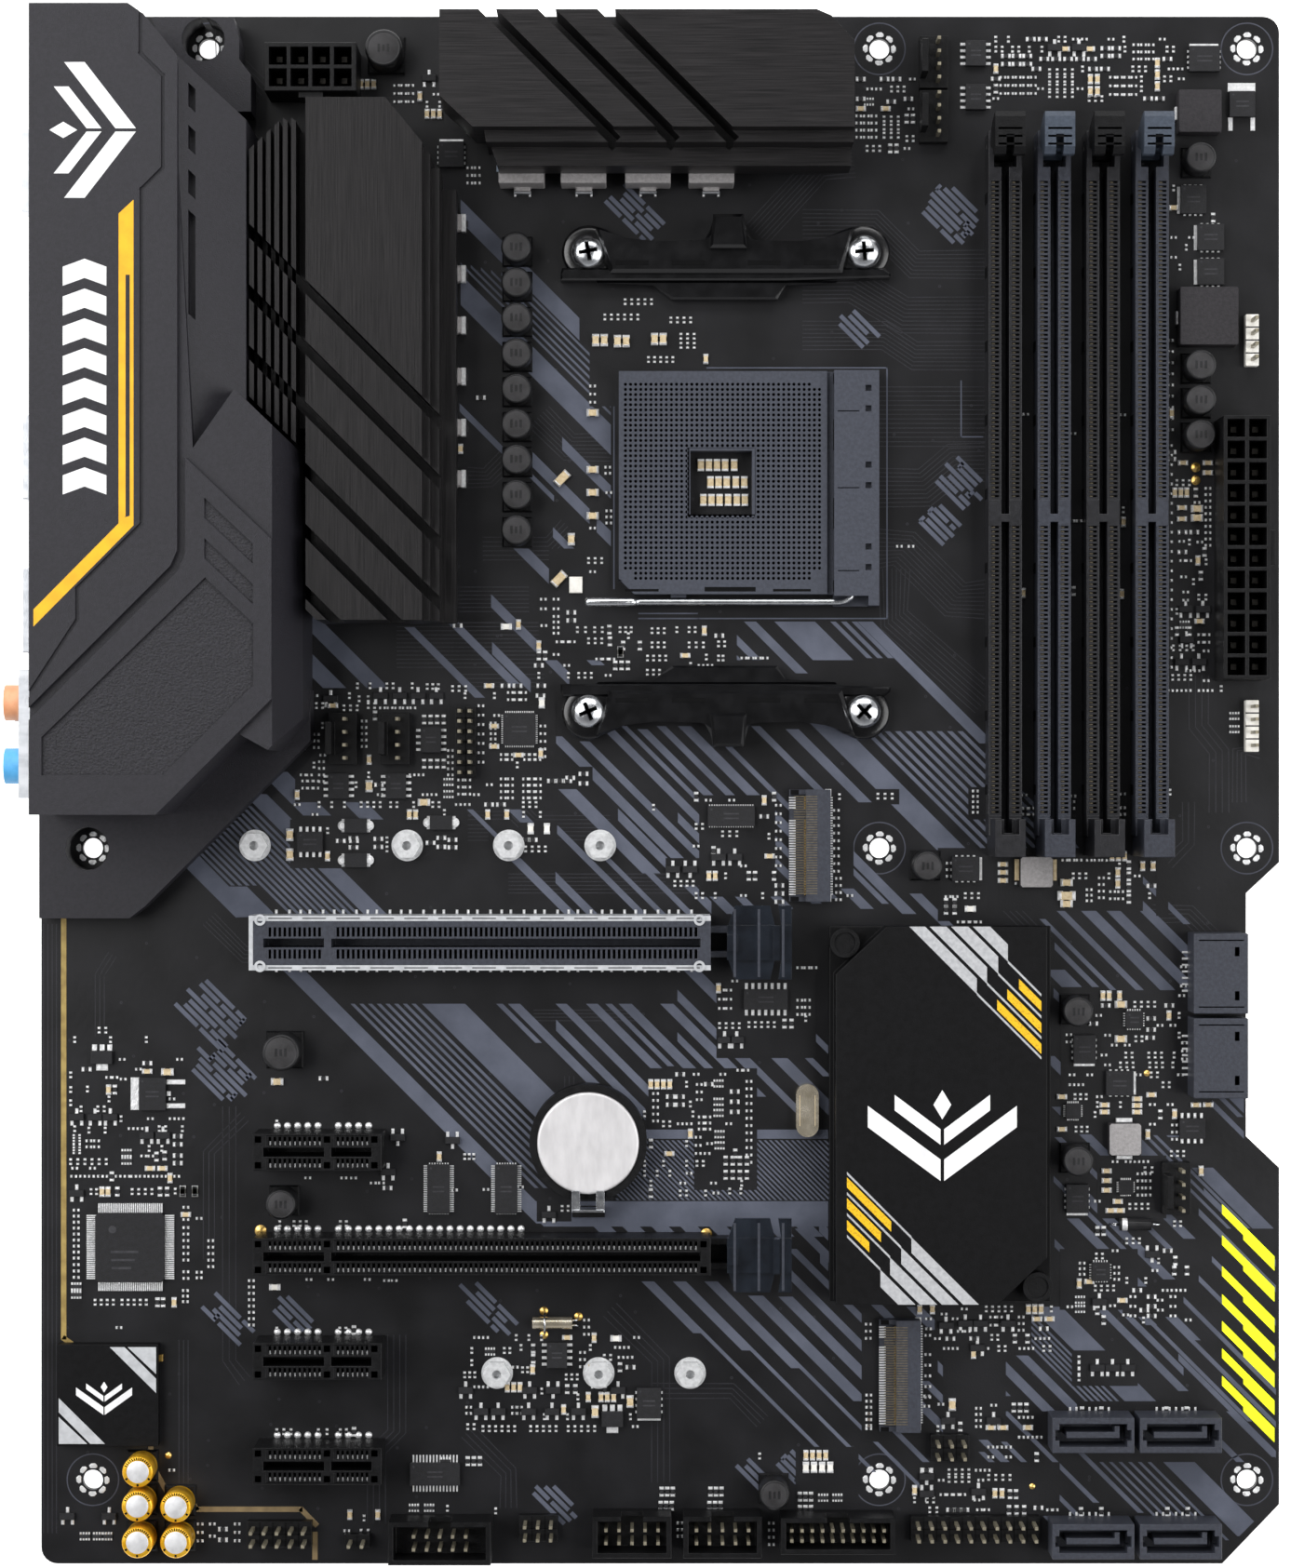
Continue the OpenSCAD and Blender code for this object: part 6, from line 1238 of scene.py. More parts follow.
    ("r", 149.4, 111, 2, 3, 1.5, -1.4), ("r", 149.4, 117.4, 3, 1, 1.4, 1), ("r", 150.6, 107.4, 1, 1, 1, 1, True),
    ("r", 137.6, 97.2, 2, 1, 1.2, 1), ("r", 121, 92.6, 1, 5, 1, -1.35), ("R", 124, 92, 2, 2, 1.8, -1.6),
    ("r", 129.6, 94.4, 1, 3, 1, -1.5), ("a", 133.4, 94.6), ("a", 133.4, 91), ("a", 133.4, 88.8), ("r", 130, 88, 2, 3, 1.3, -1.2),
    ("R", 136.6, 93, 1, 3, 1, -2), ("r", 139.4, 95, 1, 12, 1, -1.45), ("a", 133.6, 84.6), ("a", 133.6, 82.4),
    ("r", 129.4, 84, 1, 3, 1, -1.6), ("R", 134.8, 79.4, 4, 1, 1.4, 1, True), ("R", 134.8, 76.6, 4, 1, 1.4, 1, True),
    ("r", 135.6, 73.4, 2, 1, 2.2, 1, True), ("t", 100, 68.8), ("r", 102.6, 70, 2, 1, 1.2, 1, True), ("C", 78.4, 80.2, 1, 1, 1, 1, True),
    ("u", 81, 83.4), ("r", 83.4, 80.2, 3, 1, 0.9, 1, True), ("r", 81.4, 73.6), ("r", 87.6, 73.7), ("r", 94.4, 74.2),
    # lower middle
    ("r", 84.8, 42, 1, 2, 1, -2.4, True), ("a", 88.4, 41.8), ("r", 91.2, 42, 2, 1, 1.1, 1, True), ("r", 83.4, 37.2, 3, 1, 1, 1, True),
    ("t", 83.6, 34.2), ("t", 96.2, 34.2), ("u", 100.8, 34.2), ("R", 103.6, 34.4, 2, 1, 1.6, 1, True), ("r", 98.6, 34, 1, 1, 1, 1, True),
    ("t", 86.6, 30), ("t", 90, 30), ("r", 84.2, 29.6, 1, 2, 1, 1.2), ("r", 93.2, 29.6, 2, 2, 1, 1.2), ("t", 96, 30), ("t", 100.6, 30), ("C", 102.9, 30.4, 1, 1, 1, 1, True),
    ("t", 105.8, 30), ("D", 109.1, 30, 1, 1, 1, 1, True), ("r", 87, 26.6, 6, 1, 1.25, 1, True), ("r", 96.4, 26.6, 5, 1, 1.25, 1, True),
    ("r", 103.8, 26.6, 5, 1, 1.3, 1, True), ("D", 116, 32, 1, 1, 1, 1, True), ("t", 113.6, 34.2), ("R", 111, 34.2, 1, 1, 1, 1, True),
    ("C", 96.8, 38.3, 1, 1, 1, 1, True), ("r", 94.8, 38.2, 2, 1, 1, 1, True), ("R", 96.9, 42.4, 1, 2, 1, -2, True),
    ("C", 103.6, 44.6), ("r", 106.6, 41.6, 1, 3, 1, -1.4), ("r", 103.4, 36.8, 3, 1, 1.1, 1, True), ("r", 107.4, 48, 1, 3, 1, -1.4),
    ("W", 113.2, 44.4), ("R", 122.2, 14.2, 3, 1, 1.1, 1, True), ("R", 122, 11.4, 3, 1, 1.1, 1, True),
    ("R", 131.8, 14.2, 3, 1, 1.1, 1, True), ("R", 131.6, 11.4, 3, 1, 1.1, 1, True), ("R", 149.4, 13.2, 3, 1, 1.1, 1, True),
    ("R", 149.4, 10.6, 3, 1, 1.1, 1, True), ("a", 154, 13), ("a", 156.8, 13), ("r", 125.8, 8, 1, 3, 1, -1.3),
    ("r", 143.8, 8, 1, 4, 1, -1.4), ("r", 141.5, 21.2, 1, 1, 1, 1, True), ("W", 150.6, 19, 4, 1, 1.6, 1, True), ("C", 150.6, 21.4, 4, 1, 1.3, 1, True),
    # right of the chipset heatsink and the lower right
    ("r", 178.8, 138, 1, 3, 1, -1.3), ("r", 178.6, 131.4, 2, 1, 1.4, 1), ("R", 178.2, 128.8, 2, 2, 1.7, 1.4, True), ("W", 183, 129),
    ("r", 182, 131.6, 3, 1, 1.3, 1, True), ("r", 181, 126.4, 4, 1, 1.2, 1), ("C", 189.4, 134.6, 1, 3, 1, 1.6), ("r", 192.4, 134, 1, 3, 1, 1.4),
    ("E", 201.9, 131.6), ("D", 201.9, 130), ("D", 201.9, 134.2), ("r", 201.6, 138.6, 3, 1, 1.4, 1), ("r", 206.4, 138.6, 3, 1, 1.5, 1),
    ("r", 206.4, 132.8, 1, 3, 1, -1.1), ("r", 208.8, 131.2, 1, 4, 1, 1.3), ("C", 212, 136.2, 1, 2, 1, -2.2, True),
    ("R", 214.2, 137.6, 1, 4, 1, -2.2, True), ("r", 211, 131, 2, 2, 1.6, 1.4), ("D", 212.6, 110.2), ("r", 215.4, 110.2, 4, 1, 1.3, 1, True),
    ("R", 218.6, 107.4, 1, 2, 1, -2.2), ("D", 212.6, 103.4), ("r", 215.6, 103.4, 2, 1, 1.2, 1, True), ("R", 218.4, 103.6, 1, 1),
    ("r", 225, 117.6, 1, 2, 1, -3.8), ("r", 225.2, 102.6, 1, 3, 1, -1.6), ("r", 202.4, 104.2, 1, 2, 1, -1.4),
    ("R", 207.2, 106.4, 1, 1), ("C", 201, 92), ("r", 203.6, 92, 3, 1, 1.1, 1, True), ("C", 201, 85.6), ("r", 203.8, 85.6, 3, 1, 1.1, 1, True),
    ("r", 208.4, 92, 1, 1), ("C", 209.4, 89, 1, 2, 1, 1.4), ("C", 215.8, 89, 1, 3, 1, 1.3), ("C", 223.2, 88.6, 1, 1, 1, 1, True),
    ("C", 227.4, 90.4), ("r", 223.2, 86.4, 1, 3, 1, -1.4), ("r", 222.6, 80.8, 3, 1, 1.2, 1, True), ("C", 209.8, 77.4, 1, 3, 1, -1.9),
    ("C", 212, 71.4), ("C", 210.6, 69.6, 2, 1, 1.8, 1), ("r", 214.4, 70.4, 4, 1, 1.2, 1, True), ("r", 216.4, 72.6, 2, 4, 1.6, 1.4),
    ("r", 217.4, 77.6, 2, 1, 1.4, 1, True), ("C", 228.4, 77.4, 1, 1, 1, 1, True), ("r", 223.2, 67, 2, 1, 1.2, 1, True),
    ("C", 206.4, 55.6), ("C", 204.4, 55.2, 1, 1, 1, 1, True), ("r", 205, 57, 1, 3, 1, 1.1), ("r", 211.8, 56, 1, 3, 1, 1.2),
    ("r", 207.6, 54.3, 4, 1, 1.2, 1, True), ("r", 207.8, 60.6, 2, 1, 1.2, 1, True), ("a", 204.6, 52), ("a", 204.6, 50.2),
    ("t", 208.4, 51.6), ("r", 202.6, 50.6, 1, 1), ("r", 211, 50.8, 1, 1), ("r", 215, 52.6, 1, 3, 1, -1.9), ("R", 218.7, 52.6, 1, 3, 1, -1.9),
    ("r", 222.9, 52.6, 1, 3, 1, -1.9), ("r", 213.6, 49, 1, 1), ("u", 218.8, 61, 1, 1), ("r", 204.4, 36.6, 1, 4, 1, 1.25, True),
    ("t", 208, 38.6), ("t", 211, 38.6), ("t", 214, 38.6), ("R", 205, 30, 1, 1, 1, 1, True), ("R", 208.8, 30, 1, 1, 1, 1, True),
    ("R", 221.6, 30, 1, 1, 1, 1, True), ("R", 225.6, 30, 1, 1, 1, 1, True), ("R", 204.8, 10.2, 1, 1, 1, 1, True),
    ("R", 208.8, 10.2, 1, 1, 1, 1, True), ("R", 221.8, 10.2, 1, 1, 1, 1, True), ("R", 225.8, 10.2, 1, 1, 1, 1, True),
    ("r", 177.8, 49.2, 1, 1), ("t", 178.2, 47), ("t", 182, 47.4), ("t", 185, 47.4), ("r", 187.4, 48.6, 2, 2, 1.3, -1.6), ("t", 190.4, 47.4),
    ("r", 193, 48.6, 1, 3, 1, -1.3), ("r", 181, 45.8, 2, 1, 1.4, 1), ("r", 187.2, 44.6, 2, 1, 1.2, 1, True), ("t", 184.4, 42.6),
    ("C", 183.6, 41.4, 1, 1, 1, 1, True), ("r", 174.6, 45, 1, 1), ("r", 174.6, 41.2, 1, 5, 1, -2.1), ("r", 174.4, 31, 1, 2, 1, 2),
    ("r", 162.9, 47.2, 1, 3, 1, -1.4), ("r", 163, 33.2, 1, 3, 1, -1.2), ("c", 163, 29.6, 1, 3, 1, -1.2), ("r", 163, 26.6),
    ("D", 179.4, 31.4, 1, 1, 1, 1, True), ("t", 178.6, 28.2, 1, 1), ("R", 181, 27, 1, 1, 1, 1, True), ("r", 177.2, 31.4, 1, 1),
    ("r", 184.6, 27, 1, 4, 1, 1.2), ("r", 187.6, 31.2), ("t", 187.6, 28.2), ("r", 176.6, 26.6, 1, 1, 1, 1, True),
    ("u", 174.4, 17.2), ("u", 174.4, 13.8), ("r", 178.8, 16.6, 4, 2, 1.3, 1.5, True), ("r", 186.6, 17, 4, 1, 1.4, 1, True),
    ("t", 184.6, 14.2), ("r", 177.6, 13.6, 4, 1, 1.3, 1), ("C", 187.8, 13.9, 2, 1, 1.4, 1, True), ("R", 190.8, 13.7, 2, 1, 1.2, 1, True),
    ("r", 175, 10.6, 2, 1, 1.4, 1, True), ("R", 179.2, 10.6, 3, 1, 1.3, 1), ("r", 184.8, 10.6, 2, 1, 1.4, 1), ("R", 190.6, 10.6, 3, 1, 1.5, 1, True),
    ("R", 196.4, 11, 1, 1), ("r", 198.6, 10.6, 2, 1, 1.1, 1),
]
for entry in GROUPS:
    group(*entry)

blocked = [(low[0] - 1, low[1] - 1, high[0] + 1, high[1] + 1)
           for node in ("chip_packages", "power_inductors", "polymer_capacitors", "crystals", "fan_headers", "pin_headers",
                        "m2_sockets", "atx_power_socket", "dimm_slot_b2", "vrm_heatsink_top", "vrm_heatsink_rear",
                        "chipset_heatsink", "rgb_headers", "sata_sockets", "vrm_chokes", "cooler_bracket_top")
           for low, high in islands(node)]
blocked += [(e[1] - 1.4, e[2] - (1.2 if len(e) < 5 or e[4] == 1 or len(e) < 7 or e[6] > 0 else 1.2 - (e[4] - 1) * e[6]),
             e[1] + 1.4 + (0 if len(e) < 6 else (e[3] - 1) * e[5]),
             e[2] + 1.2 + (0 if len(e) < 7 or e[6] < 0 else (e[4] - 1) * e[6])) for e in GROUPS]


def scatter(x0, y0, x1, y1, share, seed, kinds="rrrrRC"):
    """Fill what is left of an area with small parts on a loose grid, in short rows of one kind."""
    pick = random.Random(seed)
    y = y0
    while y < y1:
        x = x0
        while x < x1:
            kind, upright = pick.choice(kinds), pick.random() < 0.55
            run = pick.randint(2, 5)
            step = 1.25 if upright else SIZES[kind][0] + 0.75
            for k in range(run):
                free = not any(a < x < c and b < y < d for a, b, c, d in blocked)
                if x < x1 and free and pick.random() < share:
                    two_ended(kind, x, y, upright)
                x += step
            x += 0.8
        y += 1.95


for area in ((188, 288.6, 226, 302, 0.8, 1), (161.4, 278.8, 172, 293.5, 0.8, 2), (222.4, 172, 230.6, 219, 0.7, 3),
             (63, 283.6, 69.6, 297, 0.5, 4), (76, 283.6, 89, 290.6, 0.5, 5), (202, 131.6, 219, 140, 0.6, 6),
             (173, 42.4, 199, 52, 0.6, 7), (172, 10.6, 187, 20, 0.7, 8), (187, 21, 197, 31, 0.4, 9),
             (118.8, 73, 140.6, 96.6, 0.45, 10), (50.4, 147.6, 99, 174, 0.45, 11), (129, 131.6, 160, 152, 0.35, 12),
             (203, 84.6, 232, 113, 0.4, 13), (6.6, 74, 28, 104, 0.3, 14), (98, 175, 134.6, 186, 0.4, 15),
             (84, 27, 118, 45, 0.45, 16), (208, 48, 226, 81, 0.35, 17), (223, 255.4, 232, 274, 0.3, 18)):
    scatter(*area)
for x, y, turn in ((102.6, 213.8, 0.8), (102, 194, 0.8)):
    small.bar(x, y, 3.2, 1.6, 0.0, 1.1, CERAMIC, turn, 0.1)
    for s in (-1, 1):
        small.bar(x + s * 1.35 * math.cos(turn), y + s * 1.35 * math.sin(turn), 0.6, 1.7, 0.0, 1.15, TIN, turn, 0.2)
small.bar(105.3, 192.8, 2.6, 3.2, 0.0, 0.9, WHITE, 0, 0.15)
small.make()
# ---------------------------------------------------------------- marks on the covers and heatsinks

def motif(piece, cx, cy, w, h, z, material, upright=False):
    """A plain nest of chevrons above a small diamond."""
    def laid(points):
        turned = [(-v, u) if upright else (u, v) for u, v in points]
        piece.sheet([(cx + u, cy + v) for u, v in turned], z, material)

    for reach, thick, start in ((0.5, 0.22, -0.5), (0.32, 0.16, -0.13)):
        for s in (-1, 1):
            tip = start + reach * 1.1
            laid([(s * 0.012 * w, start * h), (s * reach * w, tip * h), (s * reach * w, (tip + thick) * h),
                  (s * 0.012 * w, (start + thick) * h)])
    laid([(0, 0.13 * h), (0.06 * w, 0.28 * h), (0, 0.43 * h), (-0.06 * w, 0.28 * h)])


marks = Piece("cover_marks", "board", "shroud_plastic")
top = node_box("io_shroud")[1][2] + 0.002
stripe = [[(20.1, 260.8), (22.9, 263.4), (22.9, 249.3), (20.1, 249.3)],
          [(22.2, 249.4), (22.9, 249.4), (22.9, 203.6), (22.2, 203)],
          [(20.1, 249.4), (21.4, 249.4), (21.4, 203.9), (20.1, 202.6)],
          [(22.9, 204.2), (22.9, 202.2), (4.1, 183.2), (4.1, 186.4), (21.2, 203.7)]]
for outline in stripe:
    marks.sheet(outline, top, YELLOW)
motif(marks, 14.6, 276.5, 25.5, 17.5, top, WHITE_INK, True)
y = 208.0
for k in range(8):
    marks.sheet([(9.6, y), (13.7, y + 1.5), (17.8, y), (17.8, y + 3.6), (13.7, y + 5.1), (9.6, y + 3.6)], top, WHITE_INK)
    y += 5.6
pad = [(36.1, 192.1), (45.2, 183.6), (45.2, 172.3), (28.3, 155.4), (5.8, 155.4), (5.8, 162.3)]
marks.sheet(pad, top - 0.59, GRAIN)
for dy in (0, -7.6):
    marks.sheet([(36.3, 207 + dy), (45.2, 198.6 + dy), (45.2, 195.2 + dy), (36.3, 203.8 + dy)], top - 0.59, GRAIN)
for (ax, ay), (bx, by) in (((30.6, 190.4), (33.6, 191.2)), ((33.8, 191.0), (36.0, 189.0)), ((8.2, 163.2), (10.4, 165.6)),
                           ((8.0, 162.6), (8.0, 160.6))):
    marks.bar((ax + bx) / 2, (ay + by) / 2, math.hypot(bx - ax, by - ay), 0.45, top - 0.59, top - 0.5, SHROUD,
              math.atan2(by - ay, bx - ax))
marks.make()

block = Piece("heatsink_marks", "board", "chipset_black")
top = node_box("chipset_heatsink")[1][2] + 0.004
BLOCK_BANDS = [
    [(170.35, 125.86), (183.47, 112.73), (183.47, 115.79), (173.41, 125.86)],
    [(174.29, 125.86), (185.45, 114.71), (185.45, 117.97), (177.55, 125.86)],
    [(178.44, 125.86), (187.62, 116.68), (187.62, 120.04), (181.8, 125.86)],
    [(182.68, 125.86), (189.5, 119.05), (189.5, 122.41), (186.04, 125.86)],
]
BLOCK_LINES = [
    [(183.47, 112.54), (196.01, 100.0), (196.01, 100.54), (183.47, 113.08)],
    [(185.45, 114.51), (196.01, 103.95), (196.01, 104.49), (185.45, 115.05)],
    [(187.62, 116.39), (196.01, 108.0), (196.01, 108.54), (187.62, 116.93)],
    [(189.5, 118.76), (196.01, 112.24), (196.01, 112.78), (189.5, 119.3)],
]
BLOCK_YELLOW = [
    [(187.42, 109.67), (196.01, 101.09), (196.01, 103.06), (187.42, 111.65)],
    [(189.4, 111.75), (196.01, 105.13), (196.01, 107.11), (189.4, 113.72)],
    [(191.67, 113.72), (196.01, 109.38), (196.01, 111.35), (191.67, 115.7)],
]
for outlines, material in ((BLOCK_BANDS, BRIGHT_INK), (BLOCK_LINES, BRIGHT_INK), (BLOCK_YELLOW, YELLOW_WEAR)):
    for outline in outlines:
        block.sheet(outline, top, material)
        block.sheet([(354.22 - x, 178.18 - y) for x, y in outline], top, material)
motif(block, 176.76, 85.89, 29, 19, top, WHITE_INK)
block.make()

low, high = node_box("audio_shield")
top = high[2] + 0.004
lid = Piece("sound_cover_marks", "board", "shield_steel")
for outline in ([(17.4, 43.1), (23, 43.1), (23, 37.8)], [(13.9, 43.1), (16.8, 43.1), (23, 36.9), (23, 34.1)]):
    lid.sheet(outline, top, SHIELD)
    lid.sheet([(low[0] + high[0] - x, low[1] + high[1] - y) for x, y in outline], top, SHIELD)
motif(lid, 12.8, 33.3, 11, 7, top, WHITE_INK)
lid.bar(23.6, 40.6, 0.9, 1.3, 0.0, 1.2, GOLD, 0, 0.1)
lid.make()

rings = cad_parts["audio_jack_collars"].data
rings.materials.clear()
for material in COLLARS:
    rings.materials.append(material)
ORDER = {(0, 0): 1, (0, 1): 2, (0, 2): 0, (1, 0): 4, (1, 1): 5, (1, 2): 3}
for polygon in rings.polygons:
    x, y, z = board_point(polygon.center)
    polygon.material_index = ORDER[(int(y > 163), int(z > 12) + int(z > 23))]
# ---------------------------------------------------------------- rear ports, drive sockets and headers

USB_BLUE = finish("blue_tongue", "#1f4f86", "#28609c", 0.45, scale=900, bump=0.1, specular=0.4)


def recolour(node, boxes, material):
    """Give the faces of a CAD node that lie inside any of the boxes another finish."""
    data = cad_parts[node].data
    data.materials.append(material)
    index = len(data.materials) - 1
    for polygon in data.polygons:
        c = board_point(polygon.center)
        if any(all(low[i] <= c[i] <= high[i] for i in range(3)) for low, high in boxes):
            polygon.material_index = index


def inside_mouth(yc, zc, half_y, half_z):
    return (1.3, yc - half_y, zc - half_z), (13.2, yc + half_y, zc + half_z)


ps2_y, video_y, usb_y, lan_y = 270.0, 244.6, 215.6, 186.6
low_z, high_z = 6.0, 13.2
ports = Piece("port_contacts", "board", "pin_gold")
recolour("ps2_port", [inside_mouth(ps2_y, z, 5.7, 1.2) for z in (4.6, 5.4, 6, 11.4, 12.6, 13.2)]
         + [((1.7, ps2_y - 3.7, 17), (9, ps2_y + 3.7, 28))], BLACK)
recolour("usb_ports", [inside_mouth(usb_y, z, 5.7, 1.2) for z in (6, 14.4)], USB_BLUE)
recolour("usb_ports", [inside_mouth(usb_y, 23.6, 3.5, 0.5)], BLACK)
recolour("lan_port", [inside_mouth(lan_y, z, 5.7, 1.2) for z in (4.6, 11.4)], USB_BLUE)
recolour("lan_port", [((1.0, lan_y - 6.1, 16.2), (13.2, lan_y + 6.1, 27.2))], BLACK)
recolour("video_ports", [((1.3, video_y - 5.7, 4.7), (9.9, video_y + 5.7, 6.2)),
                         ((1.3, video_y - 5.7, 15.1), (9.9, video_y + 5.7, 16.7))], BLACK)
for yc, zc in ((usb_y, 6), (usb_y, 14.4), (lan_y, 4.6), (lan_y, 11.4)):
    for k in range(4):
        ports.block(2.0, yc - 3.9 + 2.2 * k, zc - 0.96, 7.5, yc - 2.7 + 2.2 * k, zc - 0.9, PIN)
for k in range(8):
    ports.block(2.2, lan_y - 3.8 + 1.02 * k, 22.6, 9.5, lan_y - 3.4 + 1.02 * k, 22.9, GOLD)
# Painted shade: near-black discs and a bar on the round port's face stand for the shade in its pin holes and key slot.
for k in range(6):
    a = math.pi * (0.12 + 0.152 * k) if k < 6 else 0
    ports.lathe(ps2_y + 2.5 * math.cos(a * 1.3 - 0.3), 22.6 + 2.3 * math.sin(a * 1.3 - 0.3),
                [(0.42, 1.74), (0.42, 1.79)], RECESS_SHADE_AND_PRINT, 12, "x")
ports.block(1.74, ps2_y - 0.7, 19.4, 1.79, ps2_y + 0.7, 20.4, RECESS_SHADE_AND_PRINT)
ports.make()

drives = Piece("socket_pins_and_gap_shade", "board", "grey_plastic")
for low, high in islands("sata_sockets"):
    x0, y0, x1, y1, top = low[0], low[1], high[0], high[1], high[2]
    if x1 - x0 < 12:
        # Painted shade: near-black lines and patches on the drive sockets' tops stand for the shade in their grooves
        # and openings.
        for y in (y0 + 1.3, y1 - 1.3):
            drives.block(x0 + 1, y - 0.12, top - 0.02, x1 - 0.8, y + 0.12, top + 0.0, RECESS_SHADE_AND_PRINT)
        for y in (y0 + 2.6, y1 - 4.4):
            drives.block(x1 - 2.6, y, top - 0.02, x1 - 1.7, y + 1.8, top + 0.0, RECESS_SHADE_AND_PRINT)
        for k in range(7):
            drives.bar(x0 - 0.5, y0 + 4 + 1.27 * k, 1.2, 0.42, 0.0, 0.3, TIN, 0, 0.08)
    else:
        for k in range(7):
            drives.bar(x0 + 4.4 + 1.1 * k, (y0 + y1) / 2 + 0.3, 0.45, 0.24, 3.2, 6.4, GOLD)
            drives.bar(x0 + 4.4 + 1.27 * k, y1 + 0.35, 0.42, 0.7, 0.0, 0.3, TIN, 0, 0.08)
for low, high in islands("rgb_headers"):
    cx = (low[0] + high[0]) / 2
    # Painted shade: dark lines across each white header stand for the shade in the gaps between its pin positions.
    for k in range(3):
        y = low[1] + (high[1] - low[1]) * (k + 1) / 4
        drives.block(low[0] - 0.0, y - 0.14, high[2] - 0.5, high[0], y + 0.14, high[2] + 0.005, CAN_TOP_AND_GAP_SHADE)
# Painted shade: near-black lines across the pin headers stand for the shade in the gaps between their positions.
for low, high in islands("pin_headers"):
    columns = max(int(round((high[0] - low[0]) / 2.54)), 1)
    rows = max(int(round((high[1] - low[1]) / 2.54)), 1)
    for i in range(1, columns):
        x = low[0] + (high[0] - low[0]) * i / columns
        drives.block(x - 0.12, low[1] + 0.1, high[2] - 0.4, x + 0.12, high[1] - 0.1, high[2] + 0.004, RECESS_SHADE_AND_PRINT)
    for j in range(1, rows):
        y = low[1] + (high[1] - low[1]) * j / rows
        drives.block(low[0] + 0.1, y - 0.12, high[2] - 0.4, high[0] - 0.1, y + 0.12, high[2] + 0.004, RECESS_SHADE_AND_PRINT)
drives.make()

# wire clamp over the watch crystal and the leads of the tubular diode
wires = Piece("bent_wires", "board", "steel_bright")
wires.tube([(99.2, 49.8, 0.1), (99.2, 49.4, 1.6), (99.2, 48.6, 2.6), (99.2, 47.6, 2.9), (99.2, 46.6, 2.6),
            (99.2, 45.7, 1.6), (99.2, 45.2, 0.1)], 0.22, STEEL)
for y in (47.1, 48.1):
    wires.tube([(104.6, y, 1.2), (105.4, y, 1.1), (106, y + (y - 47.6), 0.1)], 0.18, STEEL)
wires.tube([(212.3, 67, 1.6), (211.0, 67, 1.6), (210.4, 66.9, 0.1)], 0.25, STEEL)
wires.tube([(218.3, 67, 1.6), (219.8, 67, 1.6), (220.5, 66.9, 0.1)], 0.25, STEEL)
wires.lathe(67, 1.6, [(1.15, 212.6), (1.24, 212.8), (1.24, 213.6), (1.21, 213.7)], CAN_SILVER, 20, "x")
ring(wires, 150.8, 86.5, 1.75, 1.95, 3.405, CERAMIC_DARK, 32, 0.02)
low, high = (149.3, 86.5), (152.3, 92.5)
for x in (low[0], high[0]):
    wires.block(x - 0.07, 86.5, 3.36, x + 0.07, 92.5, 3.41, CERAMIC)
wires.make()
# Painted shade: the pins inside the two power sockets get a darker colour for the shade they sit in.
recolour("connector_pins", [((230.5, 173, 0), (241, 226, 13)), ((45, 286, 0), (63.2, 298, 13))], SHADED_PIN)
recolour("crystals", [((212, 65, 0), (219, 69, 3))], CAN)

# ---------------------------------------------------------------- solder joints under the board

joints = Piece("solder_joints", "board", "steel_bright")
UNDER = -1.6


def joint(x, y, r=0.5):
    joints.lathe(x, y, [(0.08, UNDER - 0.62), (r * 0.45, UNDER - 0.5), (r * 0.9, UNDER - 0.12), (r, UNDER - 0.0)], TIN, 8)


for name in ("a1", "a2", "b1", "b2"):
    low, high = node_box("dimm_slot_" + name)
    cx = (low[0] + high[0]) / 2
    for k in range(72):
        for side in (-1, 1):
            joint(cx + side * (1.9 if k % 2 else 2.9), low[1] + 6 + 1.76 * k, 0.36)
for row, (first, length) in enumerate(((0, 88.9), (1, 25), (2, 0), (3, 88.9), (4, 25), (5, 25))):
    row = {1: 2, 2: 1}.get(row, row)
    for k in range(int(length / 2)):
        for side in (-1, 1):
            joint(slot_x + 2 + 2 * k, 122.7 - 20.32 * row + side * (1.25 if k % 2 else 3.25), 0.4)
for node in ("fan_headers", "box_headers", "pin_headers", "rgb_headers", "sata_sockets"):
    for low, high in islands(node):
        columns = max(int((high[0] - low[0] - 1) / 2.54), 1)
        rows = max(int((high[1] - low[1] - 1) / 2.54), 1)
        for i in range(columns):
            for j in range(rows):
                joint((low[0] + high[0]) / 2 + (i - (columns - 1) / 2) * 2.54,
                      (low[1] + high[1]) / 2 + (j - (rows - 1) / 2) * 2.54, 0.5)
for low, high in islands("polymer_capacitors") + islands("audio_capacitors"):
    for s in (-1, 1):
        joint((low[0] + high[0]) / 2 + s * 1.2, (low[1] + high[1]) / 2, 0.6)
for node in ("usb_ports", "lan_port", "ps2_port", "video_ports", "audio_jacks"):
    low, high = node_box(node)
    for i in range(4):
        for j in range(6):
            joint(low[0] + 3 + 3 * i, low[1] + 2 + (high[1] - low[1] - 4) * j / 5, 0.5)
for cx, cy in HOLES:
    ring(joints, cx, cy, 2.05, 3.2, UNDER - 0.012, TIN)
joints.make()
# ---------------------------------------------------------------- cooler brackets

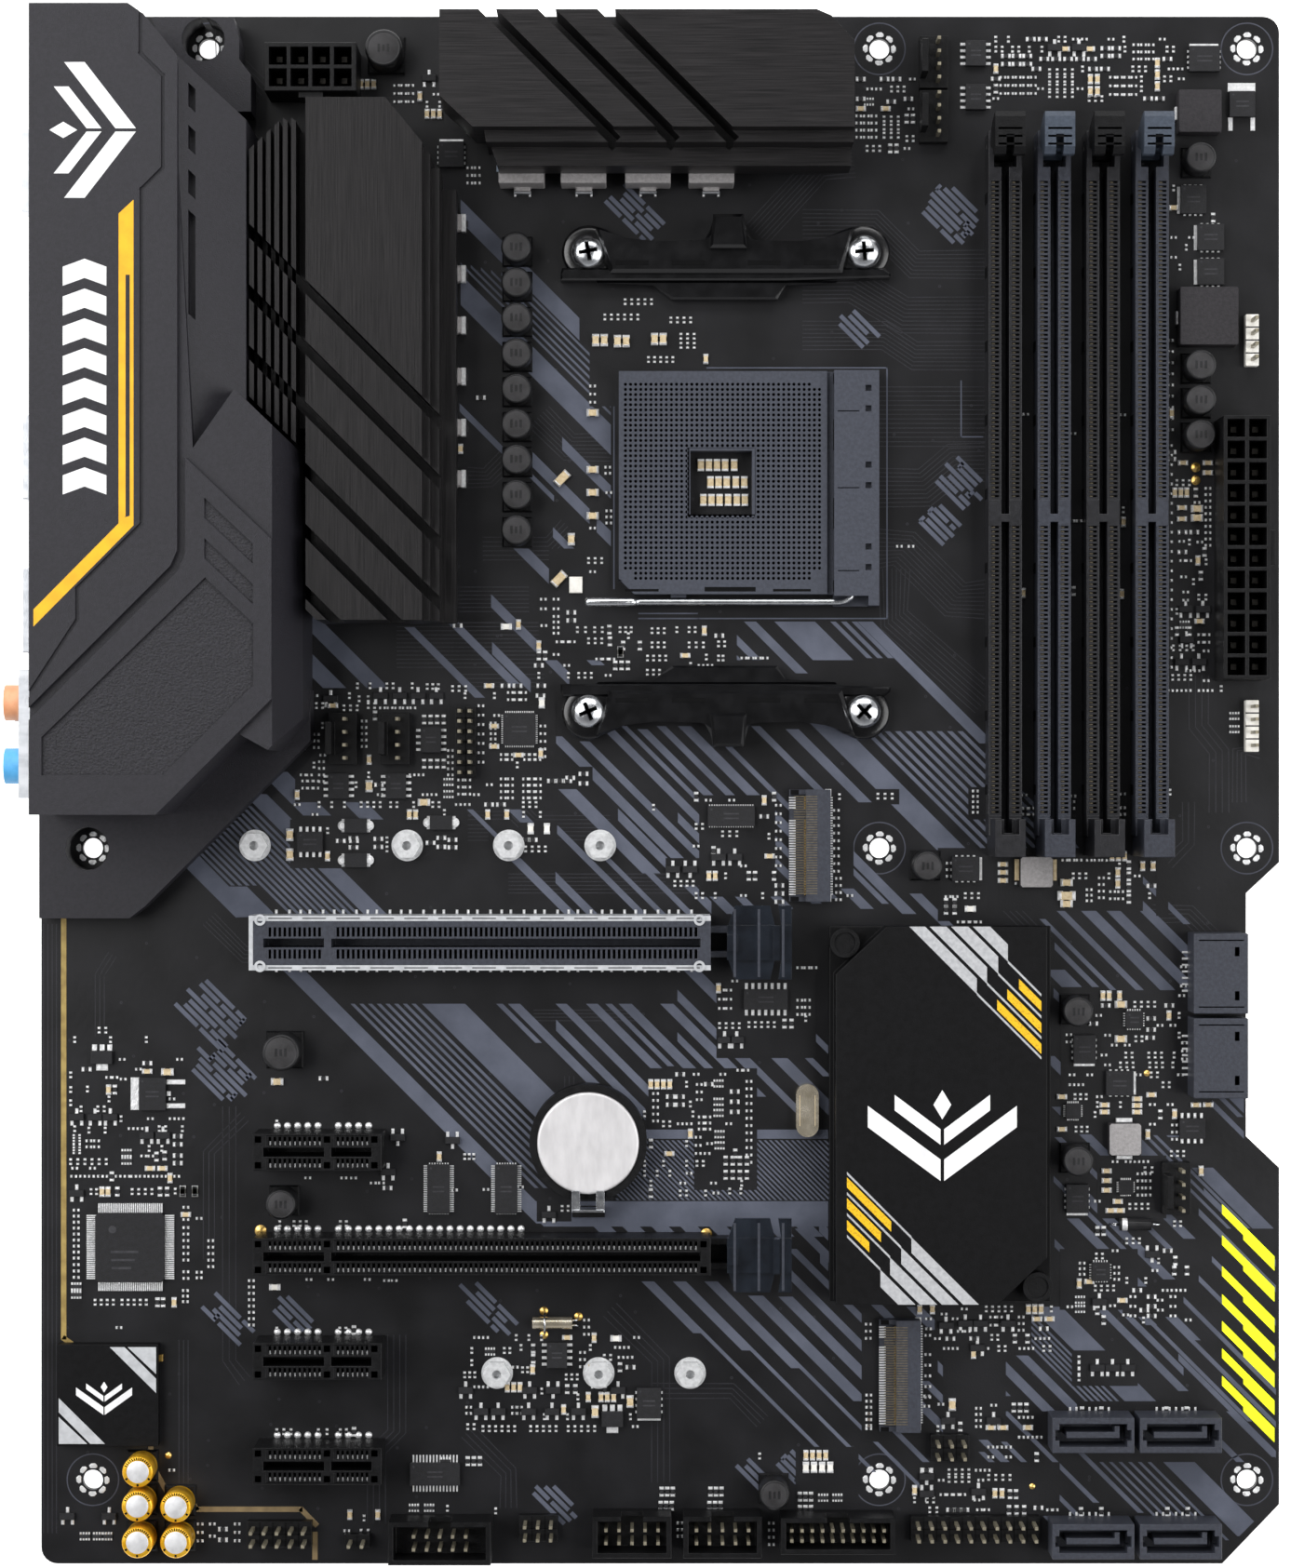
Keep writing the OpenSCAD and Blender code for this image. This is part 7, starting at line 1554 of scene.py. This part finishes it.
ARM = [(112.0, 253.6), (109.3, 262.7), (111.5, 262.0), (114.4, 260.1), (120.2, 259.0), (128.9, 259.2), (130.6, 260.1), (131.7, 262.1), (132.4, 264.9), (138.0, 264.9), (138.8, 262.1), (139.8, 260.1), (141.5, 259.2), (149.7, 259.0), (154.8, 260.1), (157.7, 262.0), (159.9, 262.7), (157.5, 253.6)]
RAIL = [(101.6, 253.8), (102.7, 254.7), (165.9, 254.7), (167.0, 253.8), (167.0, 252.9), (146.6, 252.3), (102.0, 252.3)]
STEP = [(109.3, 252.3), (120.2, 251.8), (124.2, 248.7), (144.9, 248.7), (146.8, 251.8), (156.6, 252.3)]
for node, flip in (("cooler_bracket_top", False), ("cooler_bracket_bottom", True)):
    low, high = node_box(node)
    bracket = Piece(node + "_moulding", "board", "black_plastic")
    line = 257.9 + 167.6

    def laid(points):
        placed = [(x, line - y) if flip else (x, y) for x, y in points]
        return [(min(max(x, low[0]), high[0]), min(max(y, low[1]), high[1])) for x, y in placed]

    top = high[2]
    bracket.prism(laid(ARM), 0.6, min(6.2, top), BRACKET, 0.7)
    bracket.prism(laid(RAIL), 0.0, min(4.6, top), BRACKET, 0.35)
    bracket.prism(laid(STEP), 0.6, min(3.4, top), BRACKET, 0.4)

    hook_x = [ARM[8][0], ARM[9][0]]
    bracket.prism(laid([(hook_x[0] - 0.8, ARM[6][1] - 2), (hook_x[1] + 0.8, ARM[6][1] - 2), (hook_x[1] + 0.2, ARM[8][1]),
                        (hook_x[0] - 0.2, ARM[8][1])]), 2.0, top, BRACKET, 0.6)
    for side_x in (107.9, 161.7):
        cy = line - 257.9 if flip else 257.9
        r = min(5.3, side_x - low[0] if side_x < 134 else high[0] - side_x, high[1] - cy if not flip else cy - low[1])
        bracket.lathe(side_x, cy, [(r, 0.0), (r, 3.4), (r * 0.96, 3.9), (r * 0.88, 4.1), (3.4, 4.1)], BRACKET, 48)
        # Painted shade: near-black blocks in the bracket arms stand for the shade in their recesses.
        for k in range(2):
            a = side_x + (8.5 + 11 * k) * (1 if side_x < 134 else -1)
            bracket.bar(a, cy - (2.4 if not flip else -2.4), 6.5, 1.0, 3.0, min(6.25, top), RECESS_SHADE_AND_PRINT, 0, 0.1)
    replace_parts(bracket.make(), node)
